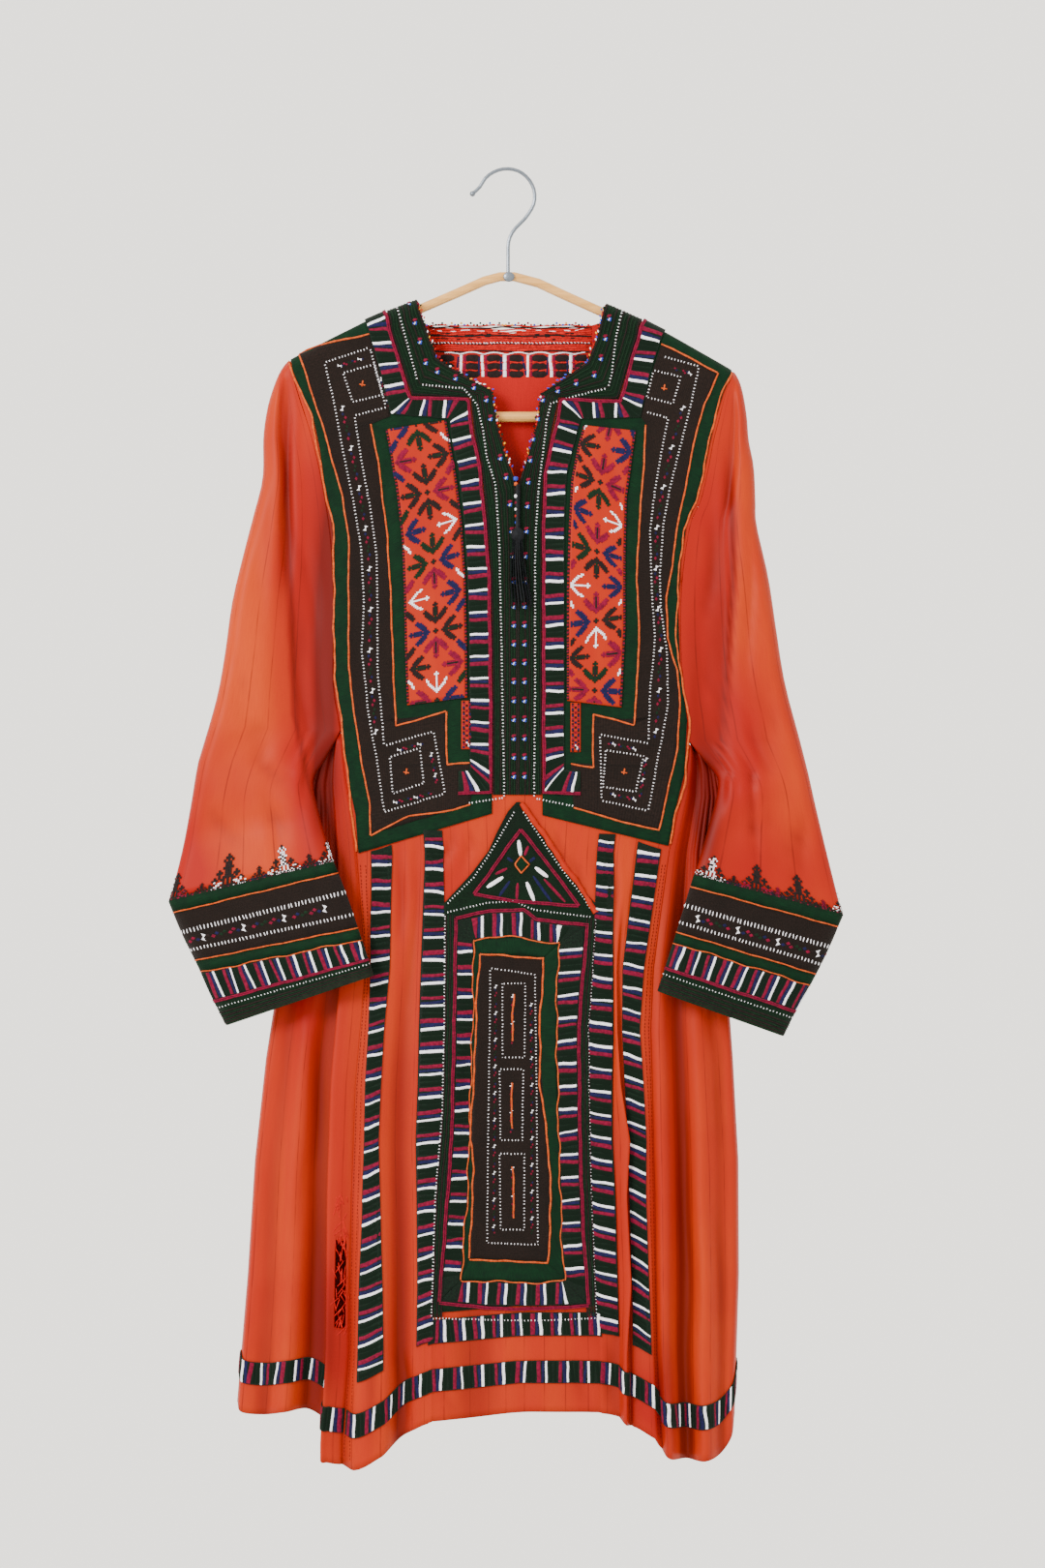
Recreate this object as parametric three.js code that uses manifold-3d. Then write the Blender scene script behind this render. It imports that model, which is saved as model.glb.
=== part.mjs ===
// Embroidered dress on a wooden hanger. Millimetres, +Z up, front towards -Y, +X to the viewer's right.
// The origin is the inside top of the hanger's hook.
import * as THREE from "three";
import { mergeVertices } from "three/addons/utils/BufferGeometryUtils.js";
import Module from "manifold-3d";

const wasm = await Module();
wasm.setup();

// Cloth thicknesses and the clearances between pieces.
const CLOTH = 1.2;
const SEAM_GAP = 1.1;
const BAND = 0.9;
const TRIM = 0.8;
const LAYER_GAP = 0.4;
const CUFF_WALL = 2.2;
const BAND_LIFT = CLOTH / 2 + LAYER_GAP;
const TRIM_LIFT = BAND_LIFT + BAND + LAYER_GAP;

// Depths of the hanging cloth, measured from the plane of the hanger.
const SHOULDER_ROLL = 9;
const SHOULDER_GAP = 0.5;
const CHEST_DEPTH = 21;
const BACK_DEPTH = 15;
const WAIST = -620;
const MIDDLE = -880;
const HEM = -1124;
const FOLDS_START = -590;
const FOLDS_FULL = -700;
const CENTRE = 9.6;

// Bent strip, bar and hook of the hanger.
const STRIP_DEEP = 8;
const STRIP_THICK = 10;
const STRIP_ROUNDING = 3;
const STRIP_SEAT = 1.45;
const BAR_THICK = 9.5;
const BAR_HEIGHT = -224;
const WIRE = 3.3;
const HOOK_BALL = 2.7;

const COLOURS = {
  silk: 0xde7846,
  dark: 0x23302a,
  ribbon: 0x2a2a30,
  motif: 0xc8502f,
  tassel: 0x15161a,
  wood: 0xd9b98a,
  steel: 0xb9bcc0,
};

const mix = (a, b, t) => a + (b - a) * t;
const clamp01 = (t) => Math.min(1, Math.max(0, t));
const ease = (t) => clamp01(t) ** 2 * (3 - 2 * clamp01(t));

// Value at a real-numbered place between the entries of a list, along straight lines.
function between(list, place) {
  const i = Math.min(list.length - 2, Math.max(0, Math.floor(place)));
  return mix(list[i], list[i + 1], place - i);
}

// The same along a smooth curve through the entries.
function smoothBetween(list, place) {
  const last = list.length - 1;
  const i = Math.min(last - 1, Math.max(0, Math.floor(place)));
  const t = place - i;
  const [p, q, r, s] = [list[Math.max(0, i - 1)], list[i], list[i + 1], list[Math.min(last, i + 2)]];
  return q + 0.5 * t * (r - p + t * (2 * p - 5 * q + 4 * r - s + t * (3 * (q - r) + s - p)));
}

// Place of a value in a falling list of heights.
function placeOf(heights, z) {
  let i = 0;
  while (i < heights.length - 2 && z < heights[i + 1]) i += 1;
  return i + clamp01((heights[i] - z) / (heights[i] - heights[i + 1]));
}

// A depth that is given at the waist, the middle of the skirt and the hem.
function depthAlong([top, middle, low], z) {
  const t = clamp01((WAIST - z) / (WAIST - HEM));
  const m = (WAIST - MIDDLE) / (WAIST - HEM);
  return z > MIDDLE ? mix(top, middle, ease(t / m)) : mix(middle, low, (t - m) / (1 - m));
}

// Lines that run down the front of the skirt: the edges of the ribbons and pocket and the folds between.
// Each has its x at the heights above, its depth at the waist, middle and hem, the height of the hem
// there, and the columns from it to the next line.
const SKIRT_HEIGHTS = [-620, -725, -780, -830, -880, -930, -1010, -1070, -1150];
const line = (name, across, depths, hem, steps) => ({ name, across, depths, hem, steps });
const SKIRT = [
  line("seam left", [-136.5, -128.6, -133, -137.4, -139, -141, -142, -142.6, -149],
    [13, 24, 33], -1171, 1),
  line("ribbon left outer", [-123.4, -123.4, -125, -127.8, -128.6, -130, -133, -134, -136],
    [14, 30, 43], -1175, 2),
  line("ribbon left inner", [-104, -106, -111, -113.8, -116, -114.6, -112, -111, -112],
    [16, 31, 46], -1162, 1),
  line("channel left", [-90, -92, -95, -98, -99, -98, -97, -97, -97],
    [17, 23, 32], -1148, 2),
  line("border left outer", [-74.4, -78, -79.6, -80.5, -82.3, -81.4, -80.5, -81.4, -82],
    [18, 27, 37], -1139, 1),
  line("border left inner", [-61.3, -58.6, -59.5, -61.7, -63.9, -66.5, -70, -71, -71],
    [19, 29, 38], -1134, 1),
  line("pocket left", [-57.5, -56, -56.9, -58.2, -60.4, -64, -66.5, -67.4, -67.4],
    [19, 29, 38], -1132, 2),
  line("pocket valley", [-32, -32.4, -32.4, -32.4, -32.4, -32.4, -31, -30, -30],
    [20, 23, 33], -1129, 3),
  line("centre", [9.6, 9.6, 9.6, 9.6, 9.6, 9.6, 9.6, 9.6, 9.6],
    [21, 31, 37], -1124, 2),
  line("pocket swell", [45, 44, 43, 43, 43, 44, 45, 45, 45],
    [20, 31, 38], -1123.5, 2),
  line("pocket right", [81.4, 77, 73.5, 73.5, 74.4, 76.1, 79.6, 82.3, 82.3],
    [18, 28, 36], -1124, 1),
  line("border right inner", [86, 81.4, 78.5, 78, 78.4, 80, 84, 86, 86],
    [18, 28, 36], -1125, 1),
  line("border right outer", [96, 96, 96.3, 95.4, 95.4, 98, 100.2, 101.5, 101.5],
    [17, 27, 37], -1128, 2),
  line("fold crest right", [105, 98.8, 99.2, 102.5, 111, 108, 112, 107.5, 107],
    [16, 34, 45], -1134, 1),
  line("fold tuck right", [111, 100, 99, 101, 104, 105, 107.5, 109.5, 110.5],
    [15, 25, 35], -1136, 1),
  line("ribbon right inner", [117, 104.5, 104, 106.5, 109.5, 110.5, 113, 113.5, 114.5],
    [15, 26, 36], -1137, 2),
  line("ribbon right outer", [139, 124, 120, 123.4, 126, 125.5, 128.6, 130.4, 133],
    [13, 28, 40], -1147, 1),
  line("seam right", [147, 133, 130.4, 131.7, 132.6, 133.9, 134.8, 135.6, 140],
    [12, 23, 35], -1157, 0),
];
const lineIndex = (name) => SKIRT.findIndex((l) => l.name === name);
const CENTRE_LINE = lineIndex("centre");
const LAST_LINE = SKIRT.length - 1;

const skirtX = (s, z) =>
  between(SKIRT.map((l) => between(l.across, placeOf(SKIRT_HEIGHTS, z))), s);
const skirtHem = (s) => smoothBetween(SKIRT.map((l) => l.hem), s);
const skirtDepth = (s, z) => smoothBetween(SKIRT.map((l) => depthAlong(l.depths, z)), s);

// Place among the lines of a point x across the front at height z.
function lineAt(x, z) {
  const level = Math.min(z, WAIST);
  const xs = SKIRT.map((l) => between(l.across, placeOf(SKIRT_HEIGHTS, level)));
  let i = 0;
  while (i < LAST_LINE - 1 && x > xs[i + 1]) i += 1;
  return i + clamp01((x - xs[i]) / (xs[i + 1] - xs[i]));
}

// Shoulder seam of each half, out from the neck.
const SHOULDER_LEFT = { neckX: -81.4, neckZ: -119, armX: -197, armZ: -174 };
const SHOULDER_RIGHT = { neckX: 89.3, neckZ: -122.5, armX: 204, armZ: -183.5 };
const SHOULDER_BOW = 3.5;

function shoulderHeight(x) {
  if (x > SHOULDER_LEFT.neckX && x < SHOULDER_RIGHT.neckX) {
    const across = (x - SHOULDER_LEFT.neckX) / (SHOULDER_RIGHT.neckX - SHOULDER_LEFT.neckX);
    return mix(SHOULDER_LEFT.neckZ, SHOULDER_RIGHT.neckZ, across);
  }
  const side = x < 0 ? SHOULDER_LEFT : SHOULDER_RIGHT;
  const out = clamp01((x - side.neckX) / (side.armX - side.neckX));
  return mix(side.neckZ, side.armZ, out) + SHOULDER_BOW * 4 * out * (1 - out);
}

const rolled = (below) =>
  below < SHOULDER_ROLL ? Math.sqrt(Math.max(0, below * (2 * SHOULDER_ROLL - below))) / SHOULDER_ROLL : 1;

// Depth of the smooth upper part, which rolls over the hanger at the shoulder seam.
function upperDepth(x, z, full) {
  const below = Math.max(0, shoulderHeight(x) - z);
  const swell = mix(SHOULDER_ROLL, full, ease((-140 - z) / 380));
  const side = 1 - 0.36 * ((x - CENTRE) / 155) ** 2 * ease((-200 - z) / 200);
  return Math.max(SHOULDER_GAP, rolled(below) * swell * side);
}

function frontDepth(x, z, s) {
  const folds = ease((FOLDS_START - z) / (FOLDS_START - FOLDS_FULL));
  const smooth = upperDepth(x, Math.max(z, WAIST), CHEST_DEPTH);
  return mix(smooth, skirtDepth(s, Math.min(z, WAIST)), folds);
}

// Upper part of the front, a row for each section: the armhole or seam end and the neck or centre end.
const section = (armX, armZ, neckX, neckZ) => ({ armX, armZ, neckX, neckZ });
const FRONT_LEFT = [
  section(-196, -183, -79, -128),
  section(-189, -207, -72.5, -147),
  section(-181, -231, -64, -171.5),
  section(-176, -249, -38.5, -188),
  section(-170.6, -272, -14, -200.5),
  section(-164.5, -304.5, -8.8, -232),
  section(-160, -339.5, 8.8, -284.4),
  section(-157.5, -383, CENTRE, -339.5),
  section(-157.5, -427, CENTRE, -401),
  section(-157.5, -471, CENTRE, -462),
  section(-150.5, -512, CENTRE, -512),
  section(-147, -549.5, CENTRE, -554),
  section(-141, -584.5, CENTRE, -589),
  section(-136.5, WAIST, CENTRE, WAIST),
];
const FRONT_RIGHT = [
  section(202, -193, 86.5, -132),
  section(197.8, -206.5, 81.4, -153),
  section(192.5, -227.5, 72.6, -175),
  section(187.3, -247.6, 51.6, -190),
  section(182.9, -271.3, 31.5, -203),
  section(175.9, -301, 26.3, -234.5),
  section(166.3, -323, 11.4, -284.4),
  section(159.3, -369.3, CENTRE, -339.5),
  section(157.5, -416.5, CENTRE, -401),
  section(159.3, -466.4, CENTRE, -462),
  section(165, -522, CENTRE, -512),
  section(160.5, -559, CENTRE, -554),
  section(153, -593.3, CENTRE, -589),
  section(147, WAIST, CENTRE, WAIST),
];
const ROLL_ANGLES = [0, 22.5, 45, 67.5];

const dropAt = (degrees) => SHOULDER_ROLL * (1 - Math.cos((degrees * Math.PI) / 180));

// The sections above, led in by those of the shoulder roll.
function upperSections(table, shoulder) {
  const first = table[0];
  const roll = ROLL_ANGLES.map((degrees) => {
    const drop = dropAt(degrees);
    const t = drop / SHOULDER_ROLL;
    return section(
      mix(shoulder.armX, first.armX, t),
      shoulder.armZ - drop,
      mix(shoulder.neckX, first.neckX, t),
      shoulder.neckZ - drop,
    );
  });
  return [...roll, ...table];
}
const UPPER_LEFT = upperSections(FRONT_LEFT, SHOULDER_LEFT);
const UPPER_RIGHT = upperSections(FRONT_RIGHT, SHOULDER_RIGHT);
const WAIST_ROW = UPPER_LEFT.length - 1;

// Rows of the skirt as shares of the way from the waist to the hem.
const RIP_HEAD = 0.64;
const RIP_FOOT = 0.78;
const POCKET_FOOT = 0.81;
const BORDER_HEAD = 0.822;
const BORDER_FOOT = 0.864;
const HEM_RIBBON_HEAD = 0.908;
const HEM_RIBBON_FOOT = 0.948;
const POCKET_TOP = 0.1;
const SKIRT_ROWS = [
  0, POCKET_TOP, 0.2, 0.3, 0.4, 0.5, RIP_HEAD, RIP_FOOT, POCKET_FOOT, BORDER_HEAD, BORDER_FOOT,
  HEM_RIBBON_HEAD, HEM_RIBBON_FOOT, 1,
];
const HEM_ROW = WAIST_ROW + SKIRT_ROWS.length - 1;
const skirtRow = (share) => WAIST_ROW + SKIRT_ROWS.indexOf(share);

const WAIST_X = SKIRT.map((l) => l.across[0]);

// Point of the front's middle surface at a place among the lines and a row. Above the slit's end the
// centre line is the neck edge of one half.
function frontPoint(s, row, left = s <= CENTRE_LINE) {
  if (row >= WAIST_ROW) {
    const z = mix(WAIST, skirtHem(s), between(SKIRT_ROWS, row - WAIST_ROW));
    const x = skirtX(s, z);
    return [x, -frontDepth(x, z, s), z];
  }
  const table = left ? UPPER_LEFT : UPPER_RIGHT;
  const end = WAIST_X[left ? 0 : LAST_LINE];
  const inward = (between(WAIST_X, s) - end) / (CENTRE - end);
  const at = (key) => between(table.map((r) => r[key]), row);
  const x = mix(at("armX"), at("neckX"), inward);
  const straight = mix(at("armZ"), at("neckZ"), inward);
  const z = mix(straight, shoulderHeight(x) - shoulderDropOf(row), followsShoulder(row));
  return [x, -frontDepth(x, z, s), z];
}

// Distance of a row below the shoulder seam, and how far the row follows that seam.
const ROW_BELOW_ROLL = 22;
function shoulderDropOf(row) {
  const drops = [...ROLL_ANGLES, 90].map(dropAt);
  const past = Math.max(0, row - ROLL_ANGLES.length);
  return between(drops, Math.min(row, ROLL_ANGLES.length)) + past * ROW_BELOW_ROLL;
}
function followsShoulder(row) {
  return row <= ROLL_ANGLES.length ? 1 : clamp01(1 - row / (ROLL_ANGLES.length + 2));
}

// Point on the front's middle surface at x and z, no higher than the shoulder seam.
function onFront(x, z) {
  const height = Math.min(z, shoulderHeight(x));
  return [x, -frontDepth(x, height, lineAt(x, height)), height];
}

// A list of places among the lines from one line to another, split into their steps.
function linePlaces(from, to) {
  const places = [];
  for (let i = from; i < to; i += 1) {
    for (let k = 0; k < SKIRT[i].steps; k += 1) places.push(i + k / SKIRT[i].steps);
  }
  return [...places, to];
}

const range = (from, to) => Array.from({ length: to - from + 1 }, (_, i) => from + i);
const gridOf = (rows, columns, pointAt) => rows.map((r) => columns.map((c) => pointAt(c, r)));

// A closed wall round one or more grids of points that lie on one surface. The wall runs from one
// offset to the other along the surface's normal. Grids that share points join there. A cell that is
// open shapes the normals of its neighbours and is otherwise left out.
function shell(grids, from, to, { flip = false, open = () => false } = {}) {
  const points = [];
  const index = new Map();
  const idOf = (p) => {
    const key = p.map((v) => v.toFixed(3)).join();
    if (!index.has(key)) index.set(key, points.push(new THREE.Vector3(...p)) - 1);
    return index.get(key);
  };
  const allFaces = [];
  const addFace = (a, b, c, isOpen) => {
    if (a === b || b === c || a === c) return;
    allFaces.push({ corners: flip ? [a, c, b] : [a, b, c], isOpen });
  };
  for (const grid of grids) {
    const ids = grid.map((row) => row.map(idOf));
    for (let i = 0; i < ids.length - 1; i += 1) {
      for (let j = 0; j < ids[i].length - 1; j += 1) {
        const [a, b, c, d] = [ids[i][j], ids[i + 1][j], ids[i + 1][j + 1], ids[i][j + 1]];
        addFace(a, b, c, open(i, j));
        addFace(a, c, d, open(i, j));
      }
    }
  }
  const normals = points.map(() => new THREE.Vector3());
  for (const { corners: [a, b, c] } of allFaces) {
    const u = points[b].clone().sub(points[a]);
    const v = points[c].clone().sub(points[a]);
    const n = u.cross(v);
    for (const k of [a, b, c]) normals[k].add(n);
  }
  const faces = allFaces.filter((f) => !f.isOpen).map((f) => f.corners);
  const edges = new Map();
  for (const [a, b, c] of faces) {
    for (const [p, q] of [[a, b], [b, c], [c, a]]) {
      if (edges.has(q + "," + p)) edges.delete(q + "," + p);
      else edges.set(p + "," + q, [p, q]);
    }
  }
  const count = points.length;
  const coordinates = [];
  for (const offset of [to, from]) {
    points.forEach((p, k) => coordinates.push(...normals[k].clone().setLength(offset).add(p).toArray()));
  }
  const triangles = [];
  for (const [a, b, c] of faces) triangles.push(a, b, c, count + a, count + c, count + b);
  for (const [p, q] of edges.values()) triangles.push(q, p, count + p, q, count + p, count + q);
  const geometry = new THREE.BufferGeometry();
  geometry.setAttribute("position", new THREE.Float32BufferAttribute(coordinates, 3));
  geometry.setIndex(triangles);
  return geometry;
}

const clothShell = (grids, options) => shell(grids, -CLOTH / 2, CLOTH / 2, options);
const bandShell = (grids, options) => shell(grids, BAND_LIFT, BAND_LIFT + BAND, options);
const trimShell = (grids, options) => shell(grids, TRIM_LIFT, TRIM_LIFT + TRIM, options);

// A piece between two tables of matching points on the front, each given as [x, z].
const edge = (outerX, outerZ, innerX, innerZ) => ({ outerX, outerZ, innerX, innerZ });
function betweenEdges(table, columns, bowAt = () => 0) {
  return table.map((row, i) =>
    columns.map((t) => {
      const x = mix(row.outerX, row.innerX, t);
      const z = mix(row.outerZ, row.innerZ, t) + bowAt(i) * 4 * t * (1 - t);
      return onFront(x, z);
    }),
  );
}

// Leads a table of edges in with rows that follow the shoulder roll.
function ledIn(first, table) {
  const roll = ROLL_ANGLES.map((degrees) => {
    const drop = dropAt(degrees);
    const t = drop / SHOULDER_ROLL;
    const outerX = mix(first.outerX, table[0].outerX, t);
    const innerX = mix(first.innerX, table[0].innerX, t);
    return { outerX, innerX, drop };
  });
  return { roll, table };
}
function ledInGrid({ roll, table }, columns, bowAt) {
  const head = roll.map((row) =>
    columns.map((t) => {
      const x = mix(row.outerX, row.innerX, t);
      return onFront(x, shoulderHeight(x) - row.drop);
    }),
  );
  const end = columns.map((t) => {
    const x = mix(table[0].outerX, table[0].innerX, t);
    return onFront(x, shoulderHeight(x) - SHOULDER_ROLL);
  });
  return [...head, end, ...betweenEdges(table.slice(1), columns, bowAt)];
}

const group = new THREE.Group();
function add(name, geometry, colour, roughness = 0.75, metalness = 0) {
  const material = new THREE.MeshStandardMaterial({ color: COLOURS[colour], roughness, metalness });
  const mesh = new THREE.Mesh(geometry, material);
  mesh.name = name;
  group.add(mesh);
}

// Front panel, in two halves that join on the centre line below the neck slit.
function frontPanel() {
  const rows = range(0, HEM_ROW);
  const half = (from, to, left) =>
    gridOf(rows, linePlaces(from, to), (s, row) => frontPoint(s, row, left));
  return clothShell([half(0, CENTRE_LINE, true), half(CENTRE_LINE, LAST_LINE, false)]);
}

// Back panel. Its top edge follows the shoulder seams and dips round the neck.
const BACK_NECK = -142;
const BACK_NECK_RISE = 5;
const BACK_HEM = -1116;
const BACK_FOLDS = [
  { share: 0, depths: [9, 12, 15] },
  { share: 0.14, depths: [11, 18, 26] },
  { share: 0.3, depths: [13, 13, 16] },
  { share: 0.46, depths: [15, 21, 29] },
  { share: 0.6, depths: [15, 15, 19] },
  { share: 0.75, depths: [13, 20, 27] },
  { share: 0.88, depths: [11, 14, 18] },
  { share: 1, depths: [9, 12, 15] },
];
const BACK_SKIRT_ROWS = [0.1, 0.2, 0.3, 0.4, 0.6, 0.81, HEM_RIBBON_HEAD, HEM_RIBBON_FOOT, 1];
const BACK_NECK_SHARES = { left: 0.288, right: 0.712 };
const BACK_SHARES = [
  0, 0.07, 0.14, 0.22, 0.288, 0.315, 0.38, 0.46, 0.53, 0.6, 0.685, 0.712, 0.78, 0.88, 0.94, 1,
];

function backFoldDepth(share, z) {
  const shares = BACK_FOLDS.map((f) => f.share);
  let i = 0;
  while (i < shares.length - 2 && share > shares[i + 1]) i += 1;
  const place = i + (share - shares[i]) / (shares[i + 1] - shares[i]);
  return smoothBetween(BACK_FOLDS.map((f) => depthAlong(f.depths, Math.min(z, WAIST))), place);
}

// Side edge of the body at height z, shared by the front and the back panel.
function sideEdge(left, z) {
  const table = left ? UPPER_LEFT : UPPER_RIGHT;
  if (z > WAIST) return between(table.map((r) => r.armX), placeOf(table.map((r) => r.armZ), z));
  return skirtX(left ? 0 : LAST_LINE, z);
}

function backDepth(x, z, share) {
  const folds = ease((FOLDS_START - z) / (FOLDS_START - FOLDS_FULL));
  return mix(upperDepth(x, Math.max(z, WAIST), BACK_DEPTH), backFoldDepth(share, z), folds);
}

function backTop(share) {
  const { left, right } = BACK_NECK_SHARES;
  const x =
    share < left
      ? mix(SHOULDER_LEFT.armX, SHOULDER_LEFT.neckX, share / left)
      : share > right
        ? mix(SHOULDER_RIGHT.neckX, SHOULDER_RIGHT.armX, (share - right) / (1 - right))
        : mix(SHOULDER_LEFT.neckX, SHOULDER_RIGHT.neckX, (share - left) / (right - left));
  const inNeck = share > left && share < right;
  const across = (share - left) / (right - left);
  const neckEdge = BACK_NECK + BACK_NECK_RISE * Math.cos(2 * Math.PI * across) ** 9;
  return { x, z: inNeck ? neckEdge + SHOULDER_ROLL : shoulderHeight(x) };
}

// Point of the back's middle surface at a share across and a height below the top edge.
function backPoint(share, row) {
  const top = backTop(share);
  if (row < ROLL_ANGLES.length) {
    const drop = dropAt(ROLL_ANGLES[row]);
    const z = top.z - drop;
    const x = mix(top.x, mix(FRONT_LEFT[0].armX, FRONT_RIGHT[0].armX, share), drop / SHOULDER_ROLL);
    return [x, backDepth(x, z, share), z];
  }
  const [left, right] = [UPPER_LEFT[Math.min(row, WAIST_ROW)], UPPER_RIGHT[Math.min(row, WAIST_ROW)]];
  if (row <= WAIST_ROW) {
    const down = (side, shoulder) =>
      (shoulder.armZ - SHOULDER_ROLL - side.armZ) / (shoulder.armZ - SHOULDER_ROLL - WAIST);
    const z = mix(
      top.z - SHOULDER_ROLL,
      WAIST,
      mix(down(left, SHOULDER_LEFT), down(right, SHOULDER_RIGHT), share),
    );
    const x = mix(left.armX, right.armX, share);
    return [x, backDepth(x, z, share), z];
  }
  const z = mix(WAIST, BACK_HEM, BACK_SKIRT_ROWS[row - WAIST_ROW - 1]);
  const x = mix(sideEdge(true, z), sideEdge(false, z), share);
  return [x, backDepth(x, z, share), z];
}
const BACK_LAST_ROW = WAIST_ROW + BACK_SKIRT_ROWS.length;

function backPanel() {
  const first = BACK_SHARES.indexOf(BACK_NECK_SHARES.left);
  const last = BACK_SHARES.indexOf(BACK_NECK_SHARES.right);
  const open = (i, j) => i < ROLL_ANGLES.length && j >= first && j < last;
  return clothShell([gridOf(range(0, BACK_LAST_ROW), BACK_SHARES, backPoint)], { flip: true, open });
}

// Side panels, from the front seam round the side edge to the back seam. A share of 1 is the side
// edge, and 2 the back seam. Each fold has its share at the waist and at the hem, its y at the waist,
// middle and hem, and the height of the hem there.
const fold = (name, shareTop, shareHem, depths, hem) => ({ name, shareTop, shareHem, depths, hem });
const SIDE_LEFT = {
  heights: [-512, -535, -560, -620, -725, -808, -900, -1004, -1130],
  edges: [-156, -168, -178, -189, -206, -219, -229, -235.5, -246],
  folds: [
    fold("front seam", 0, 0, [-13, -24, -33], -1171),
    fold("rip inner", 0.05, 0.03, [-12, -25, -35], -1171),
    fold("rip outer", 0.17, 0.13, [-11, -27, -38], -1169),
    fold("crest", 0.3, 0.19, [-10, -26, -39], -1166),
    fold("tuck", 0.27, 0.12, [-5, -14, -24], -1140),
    fold("valley", 0.42, 0.33, [-3, -8, -12], -1125),
    fold("swell", 0.6, 0.55, [-6, -17, -25], -1126),
    fold("hollow", 0.78, 0.74, [-4, -9, -12], -1130),
    fold("edge front", 0.95, 0.95, [-4, -8, -11], -1128),
    fold("edge", 1, 1, [0, 0, -1], -1120),
    fold("edge back", 1.05, 1.05, [4, 8, 9], -1120),
    fold("swell back", 1.38, 1.4, [6, 15, 20], -1120),
    fold("hollow back", 1.7, 1.7, [6, 8, 9], -1118),
    fold("back seam", 2, 2, [9, 12, 15], BACK_HEM),
  ],
  steps: [1, 1, 1, 2, 2, 1, 1, 1, 1, 1, 2, 2, 1],
};
const SIDE_RIGHT = {
  heights: [-522, -545, -570, -620, -725, -808, -900, -1004, -1130],
  edges: [170, 177, 181, 187, 199, 205, 210, 210.5, 206.5],
  folds: [
    fold("front seam", 0, 0, [-12, -23, -35], -1157),
    fold("crest", 0.14, 0.1, [-12, -27, -44], -1165),
    fold("valley", 0.34, 0.34, [-4, -11, -20], -1168),
    fold("swell", 0.56, 0.58, [-7, -20, -33], -1169),
    fold("hollow", 0.76, 0.8, [-4, -10, -18], -1164),
    fold("edge front", 0.95, 0.95, [-4, -8, -14], -1150),
    fold("edge", 1, 1, [0, 0, -2], -1131),
    fold("edge back", 1.05, 1.05, [4, 8, 9], -1126),
    fold("swell back", 1.38, 1.4, [6, 15, 20], -1120),
    fold("hollow back", 1.7, 1.7, [6, 8, 9], -1118),
    fold("back seam", 2, 2, [9, 12, 15], BACK_HEM),
  ],
  steps: [2, 2, 2, 2, 1, 1, 1, 2, 2, 1],
};
const GATHER_WAVES = 4;
const GATHER_DEPTH = 1.4;
const GATHER_START = -760;
const GATHER_RUN = 160;
const SIDE_TOP_DIP = 28;
const SIDE_TOP_GAP = 3;
const SIDE_ROWS_ABOVE = 3;

// Point of a side panel's middle surface. Its rows are a few above the waist, then the skirt's.
function sidePoint(side, place, row, left) {
  const folds = side.folds;
  const topHeight = side.heights[0] - SIDE_TOP_GAP;
  const seamZ = (share) => mix(WAIST, smoothBetween(folds.map((f) => f.hem), place), share);
  const above = clamp01(1 - row / SIDE_ROWS_ABOVE);
  const shareDown = between(SKIRT_ROWS, Math.max(0, row - SIDE_ROWS_ABOVE));
  const shareTop = smoothBetween(folds.map((f) => f.shareTop), place);
  const round = Math.sin(Math.PI * clamp01(shareTop / 2));
  const z = row > SIDE_ROWS_ABOVE ? seamZ(shareDown) : mix(WAIST, topHeight - SIDE_TOP_DIP * round, above);
  const level = placeOf(side.heights, z);
  const down = clamp01((WAIST - z) / (WAIST - HEM));
  const share = smoothBetween(folds.map((f) => mix(f.shareTop, f.shareHem, down)), place);
  const seamX = sideEdge(left, z);
  const edgeX = between(side.edges, level);
  const out = share <= 1 ? share : 2 - share;
  const outward = left ? -1 : 1;
  const x = mix(seamX + outward * SEAM_GAP, edgeX, out);
  const depths = folds.map((f) => depthAlong(f.depths, z));
  depths[0] = -frontDepth(seamX, z, left ? 0 : LAST_LINE);
  depths[depths.length - 1] = backDepth(seamX, z, left ? 0 : 1);
  const underarm = ease((z - WAIST) / (topHeight - WAIST));
  const gathered = ease((z - GATHER_START) / GATHER_RUN) * (1 - underarm);
  const wave = GATHER_DEPTH * gathered * Math.sin(2 * Math.PI * GATHER_WAVES * share);
  const y = smoothBetween(depths, place) + wave * Math.sin(Math.PI * clamp01(share / 2)) ** 2;
  return [x, y, z];
}

function sidePlaces(side) {
  return side.steps.flatMap((n, i) => range(0, n - 1).map((k) => i + k / n)).concat(side.folds.length - 1);
}
const SIDE_ROWS = range(0, SIDE_ROWS_ABOVE + SKIRT_ROWS.length - 1);
const RIP_ROW = SIDE_ROWS_ABOVE + SKIRT_ROWS.indexOf(RIP_HEAD);
const RIP_COLUMN = 1;

function sidePanel(side, left) {
  const grid = gridOf(SIDE_ROWS, sidePlaces(side), (place, row) => sidePoint(side, place, row, left));
  const open = (i, j) => left && j === RIP_COLUMN && i === RIP_ROW;
  return clothShell([grid], { flip: left, open });
}

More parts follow.
